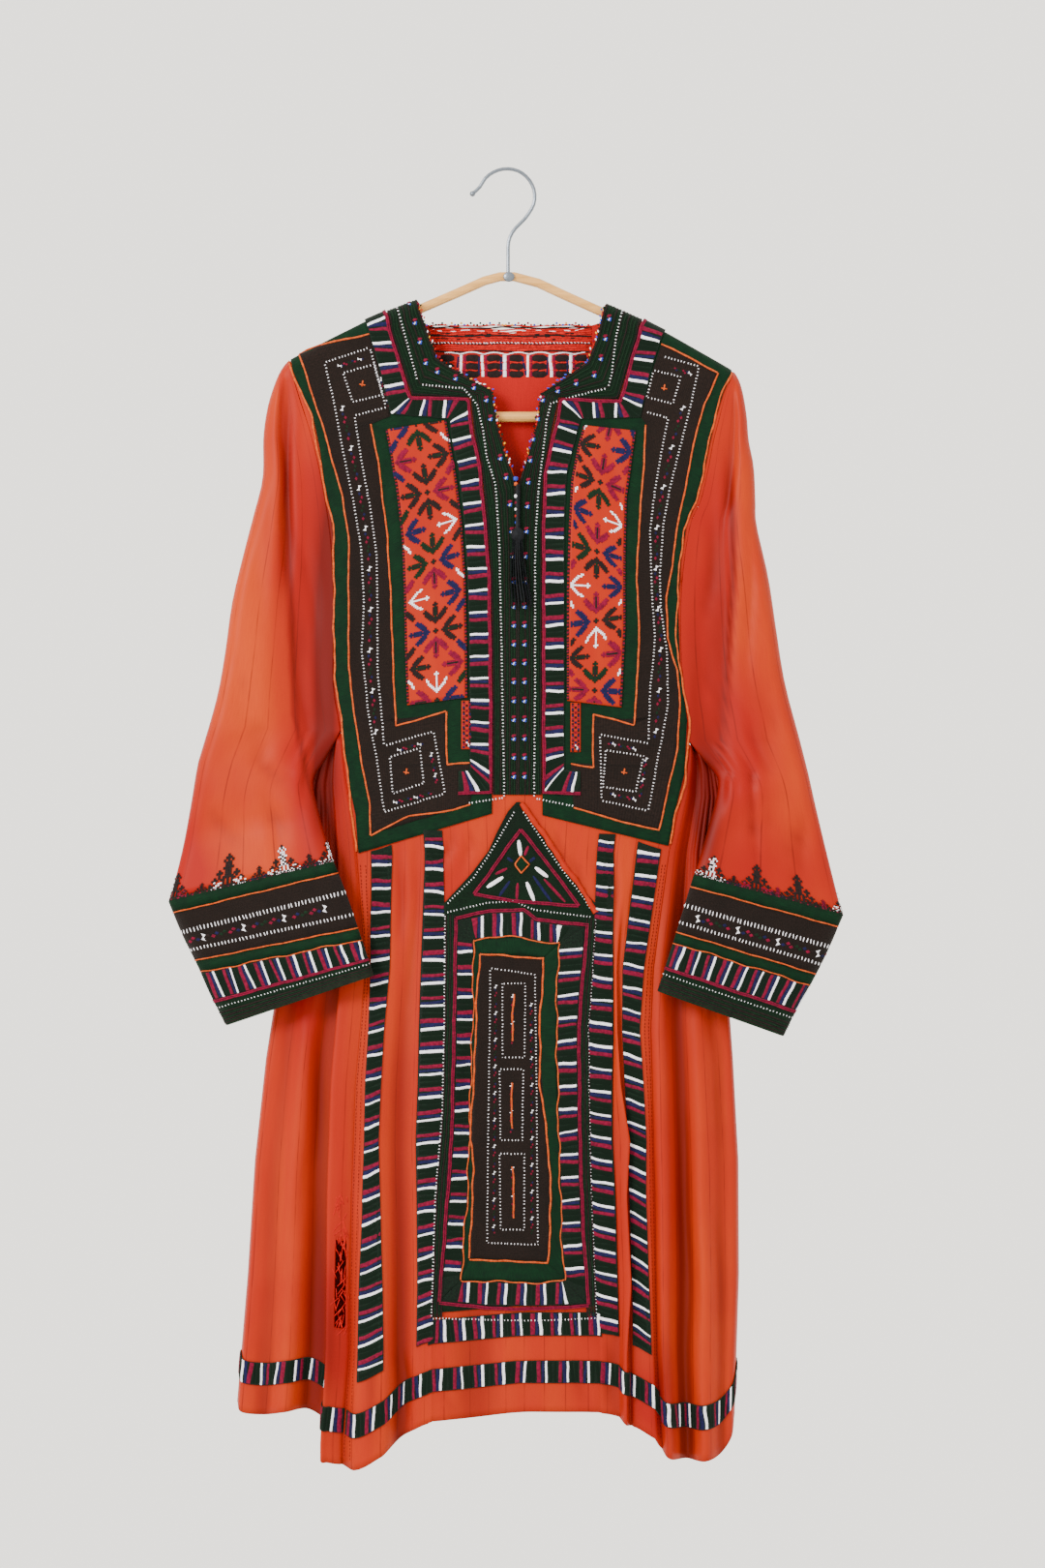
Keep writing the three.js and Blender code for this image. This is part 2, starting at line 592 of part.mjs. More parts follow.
// Sleeves, a row for each section: the outer edge, the inner edge, the middle depth at each, half the
// tube's depth, and the crest's place across. The first rows are open along the armhole.
const ring = (outerX, outerZ, innerX, innerZ, outerY, innerY, half, crest) => ({
  outerX, outerZ, innerX, innerZ, outerY, innerY, half, crest,
});
const SLEEVE_LEFT = [
  ring(-199.4, -174.3, -197, -174, 0, 0, 0.5, 0.3),
  ring(-203, -178.5, -196.6, -177, 0, 0, 6, 0.25),
  ring(-207.5, -186, -196, -183, 0, 0, 9, 0.22),
  ring(-213, -200, -191, -200, 0, 0, 9, 0.2),
  ring(-218, -218, -184, -222, 0, 0, 9, 0.22),
  ring(-221.4, -243, -178, -243, 0, 0, 9, 0.24),
  ring(-222, -280, -169, -280, -1, 0, 9.5, 0.27),
  ring(-230, -313, -163, -313, -1, 0, 10, 0.3),
  ring(-238, -344, -159.6, -344, -2, 0, 10, 0.36),
  ring(-249.4, -392, -157.8, -392, -3, 0, 10, 0.5),
  ring(-255.5, -436, -157.8, -436, -4, 0, 10, 0.58),
  ring(-262, -474, -157, -474, -5, 0, 10, 0.63),
  ring(-271, -508, -151.2, -512, -6, -1, 10, 0.7),
  ring(-280, -538, -165.5, -536, -7, -7, 9, 0.8),
  ring(-287, -580, -176, -556, -9, -14, 8, 0.88),
  ring(-294, -618, -169, -590, -12, -24, 7.5, 0.8),
  ring(-305, -664, -157.5, -628.6, -16, -31, 7, 0.75),
];
const SLEEVE_RIGHT = [
  ring(206.4, -184, 204, -183.5, 0, 0, 0.5, 0.3),
  ring(209, -188, 203.6, -186.5, 0, 0, 6, 0.25),
  ring(212, -195, 202, -193, 0, 0, 9, 0.22),
  ring(215, -207, 197.8, -206.5, 0, 0, 9, 0.2),
  ring(217.9, -226, 192.5, -227.5, 0, 0, 9, 0.2),
  ring(219.5, -246, 187.3, -247.6, 0, 0, 9, 0.22),
  ring(224, -270, 183, -271.3, -1, 0, 9.5, 0.3),
  ring(225.5, -301, 175.9, -301, -1, 0, 10, 0.38),
  ring(226.5, -323, 166.3, -323, -2, 0, 10, 0.4),
  ring(237, -370, 160, -370, -3, 0, 10, 0.42),
  ring(244, -416.5, 158.2, -416.5, -4, 0, 10, 0.45),
  ring(252, -466.4, 160, -466.4, -5, 0, 10, 0.52),
  ring(266, -520, 165.7, -522, -6, -1, 10, 0.66),
  ring(273, -548, 186, -545, -7, -7, 9, 0.78),
  ring(280, -580, 192, -560, -9, -14, 8, 0.88),
  ring(290.5, -625, 182, -600, -12, -21, 7.5, 0.8),
  ring(303, -676, 170, -640.6, -16, -27, 7, 0.75),
];
const UNDERARM_ROW = ROLL_ANGLES.length + 10;
const CREST_STEP = 6;
const CREST_RUN = 7;
const SLEEVE_ROLL = 12;
const FRONT_SHARES = [0, 0.1, 0.4, 0.8, 1];
const INNER_SHARES = [0.4, 0.8, 0.94, 1];
const BACK_SHEET = [0.06, 0.2, 0.4, 0.6, 0.8, 0.94, 1];

const ARMHOLE_EASE = 0.35;
const CREST_FADE_IN = 30;
const CREST_FADE_OUT = { start: 370, run: 40 };

const roundOff = (t) => Math.sqrt(Math.max(0, 1 - (1 - clamp01(t)) ** 2));

function sleeveRing(r, closed, shoulderZ) {
  const width = Math.abs(r.outerX - r.innerX);
  const below = shoulderZ - r.innerZ;
  const fade = ease(below / CREST_FADE_IN) * (1 - ease((below - CREST_FADE_OUT.start) / CREST_FADE_OUT.run));
  const point = (w, face) => {
    const x = mix(r.outerX, r.innerX, w);
    const z = mix(r.outerZ, r.innerZ, w);
    const fromOuter = roundOff((w * width) / SLEEVE_ROLL);
    const fromInner = closed ? roundOff(((1 - w) * width) / SLEEVE_ROLL) : 1;
    const own = mix(r.outerY, r.innerY, w) + face * r.half * fromOuter * fromInner;
    const past = ease(((w - r.crest) * width) / CREST_RUN);
    const step = face < 0 ? -CREST_STEP * fade * fromOuter * (1 - past) : 0;
    const body = face < 0 ? bodyFrontY(x, z) : bodyBackY(x, z);
    const joined = closed ? 0 : ease((w - ARMHOLE_EASE) / (1 - ARMHOLE_EASE));
    return [x, mix(own + step, body, joined), z];
  };
  const crestEnd = Math.min(0.97, r.crest + CREST_RUN / width);
  const front = [...FRONT_SHARES.map((t) => t * r.crest), mix(r.crest, crestEnd, 0.5), crestEnd];
  const inner = INNER_SHARES.map((t) => mix(crestEnd, 1, t));
  const ahead = [...front, ...inner].reverse().map((w) => point(w, -1));
  return [...ahead, ...BACK_SHEET.map((w) => point(w, 1))];
}

const bodyFrontY = (x, z) => -upperDepth(x, Math.max(z, WAIST), CHEST_DEPTH);
const bodyBackY = (x, z) => upperDepth(x, Math.max(z, WAIST), BACK_DEPTH);

// Section of the sleeve whose inner edge is at height z.
function ringAt(table, z) {
  const place = placeOf(table.map((r) => r.innerZ), z);
  const keys = Object.keys(table[0]);
  return Object.fromEntries(keys.map((key) => [key, between(table.map((r) => r[key]), place)]));
}

// Open rows lie beside the rows of the armhole, and closed rows follow below the underarm.
function sleeveGrid(table, armhole, outward) {
  const shoulderZ = armhole[0].armZ;
  const open = armhole.slice(0, UNDERARM_ROW + 1).map((r) => {
    const own = { ...ringAt(table, r.armZ), innerX: r.armX + outward * SEAM_GAP, innerZ: r.armZ };
    return sleeveRing(own, false, shoulderZ);
  });
  const underarm = armhole[UNDERARM_ROW].armZ;
  const closed = table.filter((r) => r.innerZ < underarm - 5).map((r) => sleeveRing(r, true, shoulderZ));
  return [...open, ...closed];
}

// Cuffs, flattened rings between the sleeve's end and the hand opening.
const CUFF_LEFT = [
  ring(-305.2, -664.7, -157.4, -629.4, -16, -31.4, 7.4, 0.5),
  ring(-293, -694, -146, -658, -17, -34, 7.4, 0.5),
  ring(-279, -722, -134, -693, -18, -36, 7.2, 0.5),
  ring(-266, -751, -127, -714, -19, -37, 7, 0.5),
  ring(-252.5, -776, -121.6, -731, -20, -38, 7, 0.5),
];
const CUFF_RIGHT = [
  ring(303.1, -676.8, 169.9, -641.4, -16, -27.4, 7.4, 0.5),
  ring(290, -707, 161, -670, -17, -30, 7.4, 0.5),
  ring(276.5, -734, 153, -696, -18, -31, 7.2, 0.5),
  ring(262, -760, 145, -721, -19, -32, 7, 0.5),
  ring(248.5, -785.8, 137.4, -745.5, -20, -33, 7, 0.5),
];
const CUFF_SHARES = [0, 0.02, 0.07, 0.2, 0.4, 0.6, 0.8, 0.93, 0.98, 1];

function cuffGrid(table) {
  return table.map((r) => {
    const width = Math.abs(r.outerX - r.innerX);
    const point = (w, face) => {
      const rounding = roundOff((w * width) / SLEEVE_ROLL) * roundOff(((1 - w) * width) / SLEEVE_ROLL);
      return [
        mix(r.outerX, r.innerX, w),
        mix(r.outerY, r.innerY, w) + face * r.half * rounding,
        mix(r.outerZ, r.innerZ, w),
      ];
    };
    const ahead = [...CUFF_SHARES].reverse().map((w) => point(w, -1));
    return [...ahead, ...CUFF_SHARES.slice(1).map((w) => point(w, 1))];
  });
}

// Embroidered halves of the chest panel: the armhole side and the side towards the neckband.
const YOKE_TOP_LEFT = edge(-196, 0, -109.9, 0);
const YOKE_LEFT = [
  edge(-194.5, -183, -106.4, -146),
  edge(-184.5, -208, -96.8, -175),
  edge(-176, -225, -87.2, -206.8),
  edge(-170, -254, -60.9, -207.6),
  edge(-165.6, -285, -34, -208.5),
  edge(-159.6, -311.5, -30.2, -241.5),
  edge(-156.4, -348, -24, -269.5),
  edge(-156.4, -375.5, -19.7, -313),
  edge(-156.4, -421, -15.3, -366),
  edge(-155.6, -460, -14.4, -418),
  edge(-148.6, -511, -13.6, -479.5),
  edge(-143.4, -556.5, -13.6, -540),
  edge(-137.3, -586, -13.6, -565),
  edge(-134.6, -621, -13.6, -585),
];
const YOKE_TOP_RIGHT = edge(203.5, 0, 123.4, 0);
const YOKE_RIGHT = [
  edge(201, -192, 119, -152),
  edge(196, -204, 110.8, -178),
  edge(189.8, -224, 102, -210),
  edge(183.7, -250, 74.9, -209.5),
  edge(177.6, -280, 47.8, -208.5),
  edge(170.6, -304.5, 40.8, -241.5),
  edge(162.7, -323, 33.8, -277.5),
  edge(157.4, -357, 32, -322),
  edge(154.9, -401, 32, -374.5),
  edge(156.6, -451.5, 32, -427),
  edge(163, -501, 32, -484),
  edge(160.4, -549.5, 32, -536.5),
  edge(152, -583.6, 32, -568.8),
  edge(146, -614.3, 32, -586.5),
];
const YOKE_COLUMNS = [0, 0.2, 0.45, 0.72, 1];
const YOKE_FOOT_BOW = 6;

// Neckband with the placket: its outer side, beside the chest panel, and the neck edge or centre.
const BAND_TOP_LEFT = edge(-108.9, 0, -81.6, 0);
const BAND_LEFT = [
  edge(-105.6, -149, -79.6, -128),
  edge(-96, -176, -72.8, -147),
  edge(-86.4, -206, -64.2, -171.5),
  edge(-60.2, -206.8, -38.5, -188.3),
  edge(-33.2, -207.6, -14.3, -200.8),
  edge(-29.4, -241, -9, -232),
  edge(-23.2, -269, -2, -258),
  edge(-19, -313, 8.2, -285),
  edge(-14.6, -366, CENTRE, -346),
  edge(-13.7, -418, CENTRE, -410),
  edge(-12.9, -479.5, CENTRE, -479.5),
  edge(-12.9, -535, CENTRE, -535),
  edge(-12.9, -568, CENTRE, -568),
];
const BAND_TOP_RIGHT = edge(122.4, 0, 89.5, 0);
const BAND_RIGHT = [
  edge(118.2, -154, 86.7, -132.5),
  edge(110, -179, 81.6, -153.4),
  edge(101.2, -209, 72.8, -175.4),
  edge(74.2, -208.6, 51.6, -190.4),
  edge(47, -207.6, 31.7, -203.4),
  edge(40, -241, 26.5, -234.7),
  edge(33, -277, 19, -260),
  edge(31.3, -322, 11, -285),
  edge(31.3, -374.5, CENTRE, -346),
  edge(31.3, -427, CENTRE, -410),
  edge(31.3, -484, CENTRE, -479.5),
  edge(31.3, -536.5, CENTRE, -535),
  edge(31.3, -568, CENTRE, -568),
];
const BAND_COLUMNS = [0, 0.5, 1];

// Ribbon on the chest panel, beside the neckband, turned at two corners.
const RIBBON_TOP_LEFT = edge(-128.5, 0, -110.5, 0);
const CHEST_RIBBON_LEFT = [
  edge(-126, -147, -107, -146.5),
  edge(-117, -178, -97.4, -175),
  edge(-105.9, -223, -88, -207.6),
  edge(-81, -225, -61.2, -208.3),
  edge(-53, -227.5, -35, -209.3),
  edge(-50, -250, -31, -242),
  edge(-44, -275, -24.8, -270),
  edge(-39.5, -316, -20.5, -313.5),
  edge(-36, -367, -16, -366),
  edge(-34.5, -420, -15.2, -418),
  edge(-34, -480, -14.4, -479.5),
  edge(-34, -528, -14.4, -528),
  edge(-34, -545, -14.4, -566),
  edge(-44, -546.5, -44, -567.5),
];
const RIBBON_TOP_RIGHT = edge(143, 0, 124, 0);
const CHEST_RIBBON_RIGHT = [
  edge(139, -157, 119.6, -152.5),
  edge(131, -182, 111.4, -178.5),
  edge(121, -226, 102.6, -211),
  edge(92, -227, 75.2, -210.3),
  edge(67, -227.5, 48.6, -209.3),
  edge(61, -250, 41.6, -242),
  edge(54, -279, 34.6, -278),
  edge(52, -323, 32.8, -322.5),
  edge(52, -375, 32.8, -375),
  edge(52, -427, 32.8, -427),
  edge(52, -484, 32.8, -484),
  edge(52, -528, 32.8, -528),
  edge(52, -545, 32.8, -566),
  edge(66.5, -546.5, 66.5, -567.5),
];
const RIBBON_COLUMNS = [0, 1];

// Counted-stitch panels, outer and inner edge, with the narrow tail beside the ribbon.
const MOTIF_LEFT = [
  edge(-110, -237, -55.5, -228.5),
  edge(-105, -262, -51.4, -252),
  edge(-100.6, -288, -46.4, -279),
  edge(-95, -337, -41.3, -320),
  edge(-93, -385, -37.8, -370),
  edge(-92, -435, -36.5, -425),
  edge(-90.2, -487, -36, -480),
];
const MOTIF_RIGHT = [
  edge(116.6, -238, 69.5, -233),
  edge(112.9, -264, 64, -254),
  edge(108.5, -301, 58.4, -282),
  edge(107, -345, 56, -325),
  edge(106.8, -380, 54.4, -378),
  edge(106.8, -417, 54.2, -428),
  edge(103.3, -489, 54.2, -483),
];
const MOTIF_COLUMNS = [0, 0.33, 0.67, 1];

// Ribbon down the skirt between two of its lines. Its head follows the foot of the chest panel, given
// as the shares of a row by which its first and last line start above the waist.
function skirtRibbon(fromLine, toLine, heads, footRow) {
  const places = linePlaces(lineIndex(fromLine), lineIndex(toLine));
  const rise = (k) => mix(heads[0], heads[1], k / (places.length - 1));
  const first = places.map((s, k) => frontPoint(s, WAIST_ROW - rise(k)));
  return [first, ...gridOf(range(WAIST_ROW, footRow), places, (s, row) => frontPoint(s, row))];
}

// Pocket: the pointed head, then the body between the skirt's two pocket lines.
const POCKET_HEAD = [
  edge(8.6, -574.5, 11.6, -574.5),
  edge(0.8, -583, 20, -586),
  edge(-8.8, -601, 31, -603),
  edge(-16.6, -618.6, 43, -622),
  edge(-33.3, -640.5, 59, -644),
];
const POCKET_RISE = 0.1;
const POCKET_LIFT = 1.35;
const POCKET_LIFT_START = -655;
const POCKET_LIFT_FULL = -612;

function pocketGrid() {
  const places = linePlaces(lineIndex("pocket left"), lineIndex("pocket right"));
  const top = skirtRow(POCKET_TOP);
  const rows = [top - POCKET_RISE, ...range(top, skirtRow(POCKET_FOOT))];
  const body = gridOf(rows, places, (s, row) => frontPoint(s, row));
  const first = body[0];
  const width = first[first.length - 1][0] - first[0][0];
  const shares = first.map((p) => (p[0] - first[0][0]) / width);
  const head = betweenEdges(POCKET_HEAD, shares);
  const lifted = (p) => {
    const lift = POCKET_LIFT * ease((p[2] - POCKET_LIFT_START) / (POCKET_LIFT_FULL - POCKET_LIFT_START));
    return [p[0], p[1] - lift, p[2]];
  };
  return [...head, ...body].map((row) => row.map(lifted));
}

// Border ribbon of the pocket: down each side and across its foot.
const BORDER_RISE = 0.62;
function pocketBorder() {
  const outer = [lineIndex("border left outer"), lineIndex("border right outer")];
  const inner = [lineIndex("border left inner"), lineIndex("border right inner")];
  const footRows = [skirtRow(BORDER_HEAD), skirtRow(BORDER_FOOT)];
  const sideRows = [WAIST_ROW - BORDER_RISE, ...range(WAIST_ROW, footRows[0])];
  const onGrid = (s, row) => frontPoint(s, row);
  const leftSide = gridOf(sideRows, linePlaces(outer[0], inner[0]), onGrid);
  const rightSide = gridOf(sideRows, linePlaces(inner[1], outer[1]), onGrid);
  const foot = gridOf(footRows, linePlaces(outer[0], outer[1]), onGrid);
  return [leftSide, rightSide, foot];
}

// Tassel: a stem and head with strands that fan out below.
const TASSEL = {
  x: CENTRE, top: -287, bend: -305, head: -333, length: 62, across: 7, deep: 3, strand: 0.6,
  stem: 2.2, stemRest: 3, rest: 4.6, headWide: 6.4, headDeep: 3.9, headTall: 7,
  middle: 30, uneven: 5, drift: 4,
};
// Spacing of the strands across and through the tassel at its head, middle and foot.
const TASSEL_SPREAD = { across: [1.25, 2.1, 2.9], deep: [1.5, 1.9, 2] };

function solidOf(geometry) {
  const bare = new THREE.BufferGeometry();
  bare.setAttribute("position", geometry.getAttribute("position").clone());
  if (geometry.index) bare.setIndex(geometry.index.clone());
  const merged = mergeVertices(bare, 1e-4);
  return new wasm.Manifold(
    new wasm.Mesh({
      numProp: 3,
      vertProperties: merged.attributes.position.array,
      triVerts: new Uint32Array(merged.index.array),
    }),
  );
}

function geometryOf(solid) {
  const mesh = solid.getMesh();
  const geometry = new THREE.BufferGeometry();
  geometry.setAttribute("position", new THREE.Float32BufferAttribute(mesh.vertProperties, 3));
  geometry.setIndex(new THREE.BufferAttribute(mesh.triVerts, 1));
  return geometry;
}

const circle = (radius, sides) => {
  const shape = new THREE.Shape();
  for (let k = 0; k <= sides; k += 1) {
    const angle = (2 * Math.PI * k) / sides;
    const [x, y] = [radius * Math.cos(angle), radius * Math.sin(angle)];
    if (k === 0) shape.moveTo(x, y);
    else if (k < sides) shape.lineTo(x, y);
  }
  shape.closePath();
  return shape;
};

const alongPath = (points, radius, sides, steps) =>
  new THREE.ExtrudeGeometry(circle(radius, sides), {
    extrudePath: new THREE.CatmullRomCurve3(points.map((p) => new THREE.Vector3(...p))),
    steps,
    bevelEnabled: false,
  });

function tassel() {
  const surface = (z) => -frontDepth(TASSEL.x, z, CENTRE_LINE) - CLOTH / 2 - LAYER_GAP - BAND;
  const onBand = (z, clear) => [TASSEL.x, surface(z) - clear, z];
  const head = onBand(TASSEL.head, TASSEL.rest);
  const stemPath = [onBand(TASSEL.top, TASSEL.stemRest), onBand(TASSEL.bend, TASSEL.stemRest), head];
  const headBall = new THREE.SphereGeometry(1, 10, 6);
  headBall.scale(TASSEL.headWide, TASSEL.headDeep, TASSEL.headTall);
  headBall.translate(...head);
  let solid = solidOf(alongPath(stemPath, TASSEL.stem, 8, 4)).add(solidOf(headBall));
  for (let i = 0; i < TASSEL.across; i += 1) {
    for (let j = 0; j < TASSEL.deep; j += 1) {
      const across = i - (TASSEL.across - 1) / 2;
      const deep = j - (TASSEL.deep - 1) / 2;
      const foot = TASSEL.head - TASSEL.length + TASSEL.uneven * Math.sin(3 * i + 2 * j);
      const levels = [TASSEL.head - 3, TASSEL.head - TASSEL.middle, foot];
      const path = levels.map((z, k) => [
        TASSEL.x + (k === 2 ? TASSEL.drift : 0) + TASSEL_SPREAD.across[k] * across,
        surface(z) - TASSEL.rest + TASSEL_SPREAD.deep[k] * deep,
        z,
      ]);
      solid = solid.add(solidOf(alongPath(path, TASSEL.strand, 3, 3)));
    }
  }
  return geometryOf(solid);
}

// Hanger: the bent strip follows the shoulder seams, turns down at its ends and holds the bar.
const STRIP_HEAD = [
  { x: -81, z: -122.4 },
  { x: -48, z: -108.2 },
  { x: -22, z: -96.6 },
  { x: -7, z: -92.6 },
  { x: 7, z: -92.6 },
  { x: 29.8, z: -98.6 },
  { x: 56, z: -110.8 },
  { x: 89, z: -125.6 },
];
const STRIP_END = { left: -181, right: 187, foot: -231, turn: 12, turnFall: 5, straight: 22 };
const STRIP_STARTS = { left: -100, right: 108 };
const BAR_GAP = 0.3;

function hangerArms() {
  const top = (x) => shoulderHeight(x) - CLOTH / 2 - STRIP_SEAT;
  const side = (end, from) => {
    const sign = Math.sign(end);
    const run = [0, 0.25, 0.5, 0.75, 1].map((t) => {
      const x = mix(from, end - sign * STRIP_END.turn, t);
      return [x, top(x)];
    });
    const start = run[run.length - 1];
    const bend = [25, 50, 70].map((degrees) => {
      const a = (degrees * Math.PI) / 180;
      const fall = STRIP_END.turnFall + 0.9 * STRIP_END.turn * (1 - Math.cos(a));
      return [start[0] + sign * STRIP_END.turn * Math.sin(a), start[1] - fall];
    });
    return [...run, ...bend, [end, start[1] - STRIP_END.straight], [end, STRIP_END.foot]];
  };
  const spine = [
    ...side(STRIP_END.left, STRIP_STARTS.left).reverse(),
    ...STRIP_HEAD.map((p) => [p.x, p.z]),
    ...side(STRIP_END.right, STRIP_STARTS.right),
  ];
  const offsetOf = (i) => {
    const a = spine[Math.max(0, i - 1)];
    const b = spine[Math.min(spine.length - 1, i + 1)];
    const length = Math.hypot(b[0] - a[0], b[1] - a[1]);
    return [((b[1] - a[1]) / length) * STRIP_DEEP, (-(b[0] - a[0]) / length) * STRIP_DEEP];
  };
  const under = spine.map((p, i) => [p[0] + offsetOf(i)[0], p[1] + offsetOf(i)[1]]).reverse();
  const inset = STRIP_ROUNDING;
  const shape = new THREE.Shape([...spine, ...under].map((p) => new THREE.Vector2(...p)));
  const geometry = new THREE.ExtrudeGeometry(shape, {
    depth: STRIP_THICK - 2 * inset,
    bevelThickness: inset,
    bevelSize: inset,
    bevelOffset: -inset,
    bevelSegments: 2,
  });
  geometry.rotateX(Math.PI / 2);
  geometry.translate(0, STRIP_THICK / 2 - inset, 0);
  return geometry;
}

function hangerBar() {
  const left = STRIP_END.left + STRIP_DEEP + BAR_GAP;
  const right = STRIP_END.right - STRIP_DEEP - BAR_GAP;
  const geometry = new THREE.CylinderGeometry(BAR_THICK / 2, BAR_THICK / 2, right - left, 12);
  geometry.rotateZ(Math.PI / 2);
  geometry.translate((left + right) / 2, 0, BAR_HEIGHT);
  return geometry;
}

// Hook wire, from its ball tip over the top and down to the strip.
const HOOK = [
  { x: -31.5, z: -21 },
  { x: -25, z: -15 },
  { x: -19.5, z: -6.5 },
  { x: -11, z: -0.6 },
  { x: -1, z: 1.75 },
  { x: 10, z: -0.2 },
  { x: 19, z: -7 },
  { x: 24.5, z: -17.5 },
  { x: 24.5, z: -29.5 },
  { x: 17.5, z: -42 },
  { x: 5.5, z: -55 },
  { x: 1.5, z: -64 },
  { x: 0.9, z: -78 },
  { x: 0.9, z: -92.45 },
];

function hangerHook() {
  const wire = alongPath(HOOK.map((p) => [p.x, 0, p.z]), WIRE / 2, 8, 34);
  const ball = new THREE.SphereGeometry(HOOK_BALL, 8, 6);
  ball.translate(HOOK[0].x, 0, HOOK[0].z);
  return geometryOf(solidOf(wire).add(solidOf(ball)));
}

const NUT = { wide: 5.2, deep: 1.4, tall: 4.6, x: 1.6, z: -97.5, gap: 0.35 };
function hangerNut() {
  const nut = new THREE.SphereGeometry(1, 12, 6);
  nut.scale(NUT.wide, NUT.deep, NUT.tall);
  nut.translate(NUT.x, -STRIP_THICK / 2 - NUT.deep - NUT.gap, NUT.z);
  return nut;
}

add("front", frontPanel(), "silk");
add("back", backPanel(), "silk");
add("side_left", sidePanel(SIDE_LEFT, true), "silk");
add("side_right", sidePanel(SIDE_RIGHT, false), "silk");
add("sleeve_left", clothShell([sleeveGrid(SLEEVE_LEFT, UPPER_LEFT, -1)], { flip: true }), "silk");
add("sleeve_right", clothShell([sleeveGrid(SLEEVE_RIGHT, UPPER_RIGHT, 1)]), "silk");
add("cuff_left", shell([cuffGrid(CUFF_LEFT)], -CUFF_WALL / 2, CUFF_WALL / 2, { flip: true }), "dark");
add("cuff_right", shell([cuffGrid(CUFF_RIGHT)], -CUFF_WALL / 2, CUFF_WALL / 2), "dark");

const footBow = (table) => (i) => (i === table.length - 2 ? YOKE_FOOT_BOW : 0);
const yokeLeft = ledInGrid(ledIn(YOKE_TOP_LEFT, YOKE_LEFT), YOKE_COLUMNS, footBow(YOKE_LEFT));
const yokeRight = ledInGrid(ledIn(YOKE_TOP_RIGHT, YOKE_RIGHT), YOKE_COLUMNS, footBow(YOKE_RIGHT));
add("yoke_left", bandShell([yokeLeft]), "dark");
add("yoke_right", bandShell([yokeRight], { flip: true }), "dark");

const bandLeft = ledInGrid(ledIn(BAND_TOP_LEFT, BAND_LEFT), BAND_COLUMNS);
const bandRight = ledInGrid(ledIn(BAND_TOP_RIGHT, BAND_RIGHT), BAND_COLUMNS);
add("neck_band", bandShell([bandLeft, bandRight.map((row) => [...row].reverse())]), "dark");

const chestRibbonLeft = ledInGrid(ledIn(RIBBON_TOP_LEFT, CHEST_RIBBON_LEFT), RIBBON_COLUMNS);
const chestRibbonRight = ledInGrid(ledIn(RIBBON_TOP_RIGHT, CHEST_RIBBON_RIGHT), RIBBON_COLUMNS);
add("yoke_ribbon_left", trimShell([chestRibbonLeft]), "ribbon");
add("yoke_ribbon_right", trimShell([chestRibbonRight], { flip: true }), "ribbon");
add("motif_left", trimShell([betweenEdges(MOTIF_LEFT, MOTIF_COLUMNS)]), "motif");
add("motif_right", trimShell([betweenEdges(MOTIF_RIGHT, MOTIF_COLUMNS)], { flip: true }), "motif");

const ribbonFoot = skirtRow(BORDER_FOOT);
const ribbonLeft = skirtRibbon("ribbon left outer", "ribbon left inner", [0.04, 0.25], ribbonFoot);
const ribbonRight = skirtRibbon("ribbon right inner", "ribbon right outer", [0.42, 0.16], ribbonFoot);
add("ribbon_left", bandShell([ribbonLeft]), "ribbon");
add("ribbon_right", bandShell([ribbonRight]), "ribbon");
add("pocket", bandShell([pocketGrid()]), "dark");
add("pocket_ribbon", bandShell(pocketBorder()), "ribbon");

// Ribbon round the hem: the cells of each panel between two of its rows, ended just inside the seams.
const HEM_END = 0.3;
const SIDE_HEM_END = 0.1;
const BACK_HEM_END = 0.008;
const inset = (places, first, last) => places.map((s) => Math.min(last, Math.max(first, s)));
const hemBand = (grids, firstRow, flip) => bandShell(grids, { flip, open: (i) => i !== firstRow });

function frontHem() {
  const rows = range(0, HEM_ROW);
  const half = (from, to, left) => {
    const places = inset(linePlaces(from, to), HEM_END, LAST_LINE - HEM_END);
    return gridOf(rows, places, (s, row) => frontPoint(s, row, left));
  };
  const halves = [half(0, CENTRE_LINE, true), half(CENTRE_LINE, LAST_LINE, false)];
  return hemBand(halves, skirtRow(HEM_RIBBON_HEAD), false);
}

function sideHem(side, left) {
  const last = side.folds.length - 1;
  const places = inset(sidePlaces(side), HEM_END, last - SIDE_HEM_END);
  const grid = gridOf(SIDE_ROWS, places, (place, row) => sidePoint(side, place, row, left));
  return hemBand([grid], SIDE_ROWS_ABOVE + SKIRT_ROWS.indexOf(HEM_RIBBON_HEAD), left);
}

function backHem() {
  const shares = inset(BACK_SHARES, BACK_HEM_END, 1 - BACK_HEM_END);
  const grid = gridOf(range(0, BACK_LAST_ROW), shares, backPoint);
  return hemBand([grid], WAIST_ROW + 1 + BACK_SKIRT_ROWS.indexOf(HEM_RIBBON_HEAD), true);
}
add("hem_ribbon_front", frontHem(), "ribbon");
add("hem_ribbon_left", sideHem(SIDE_LEFT, true), "ribbon");
add("hem_ribbon_right", sideHem(SIDE_RIGHT, false), "ribbon");
add("hem_ribbon_back", backHem(), "ribbon");

// Band behind the neck, on the outside of the back.
const BACK_BAND_FOOT = -192;
const BACK_BAND_SET_IN = 0.5;
function backBand() {
  const shares = BACK_SHARES.filter((s) => s >= BACK_NECK_SHARES.left && s <= BACK_NECK_SHARES.right);
  const grid = [0, 0.33, 0.67, 1].map((t) =>
    shares.map((share) => {
      const top = backPoint(share, ROLL_ANGLES.length);
      const z = mix(top[2] - BACK_BAND_SET_IN, BACK_BAND_FOOT, t);
      return [top[0], backDepth(top[0], z, share), z];
    }),
  );
  return bandShell([grid], { flip: true });
}
add("back_neck_band", backBand(), "dark");

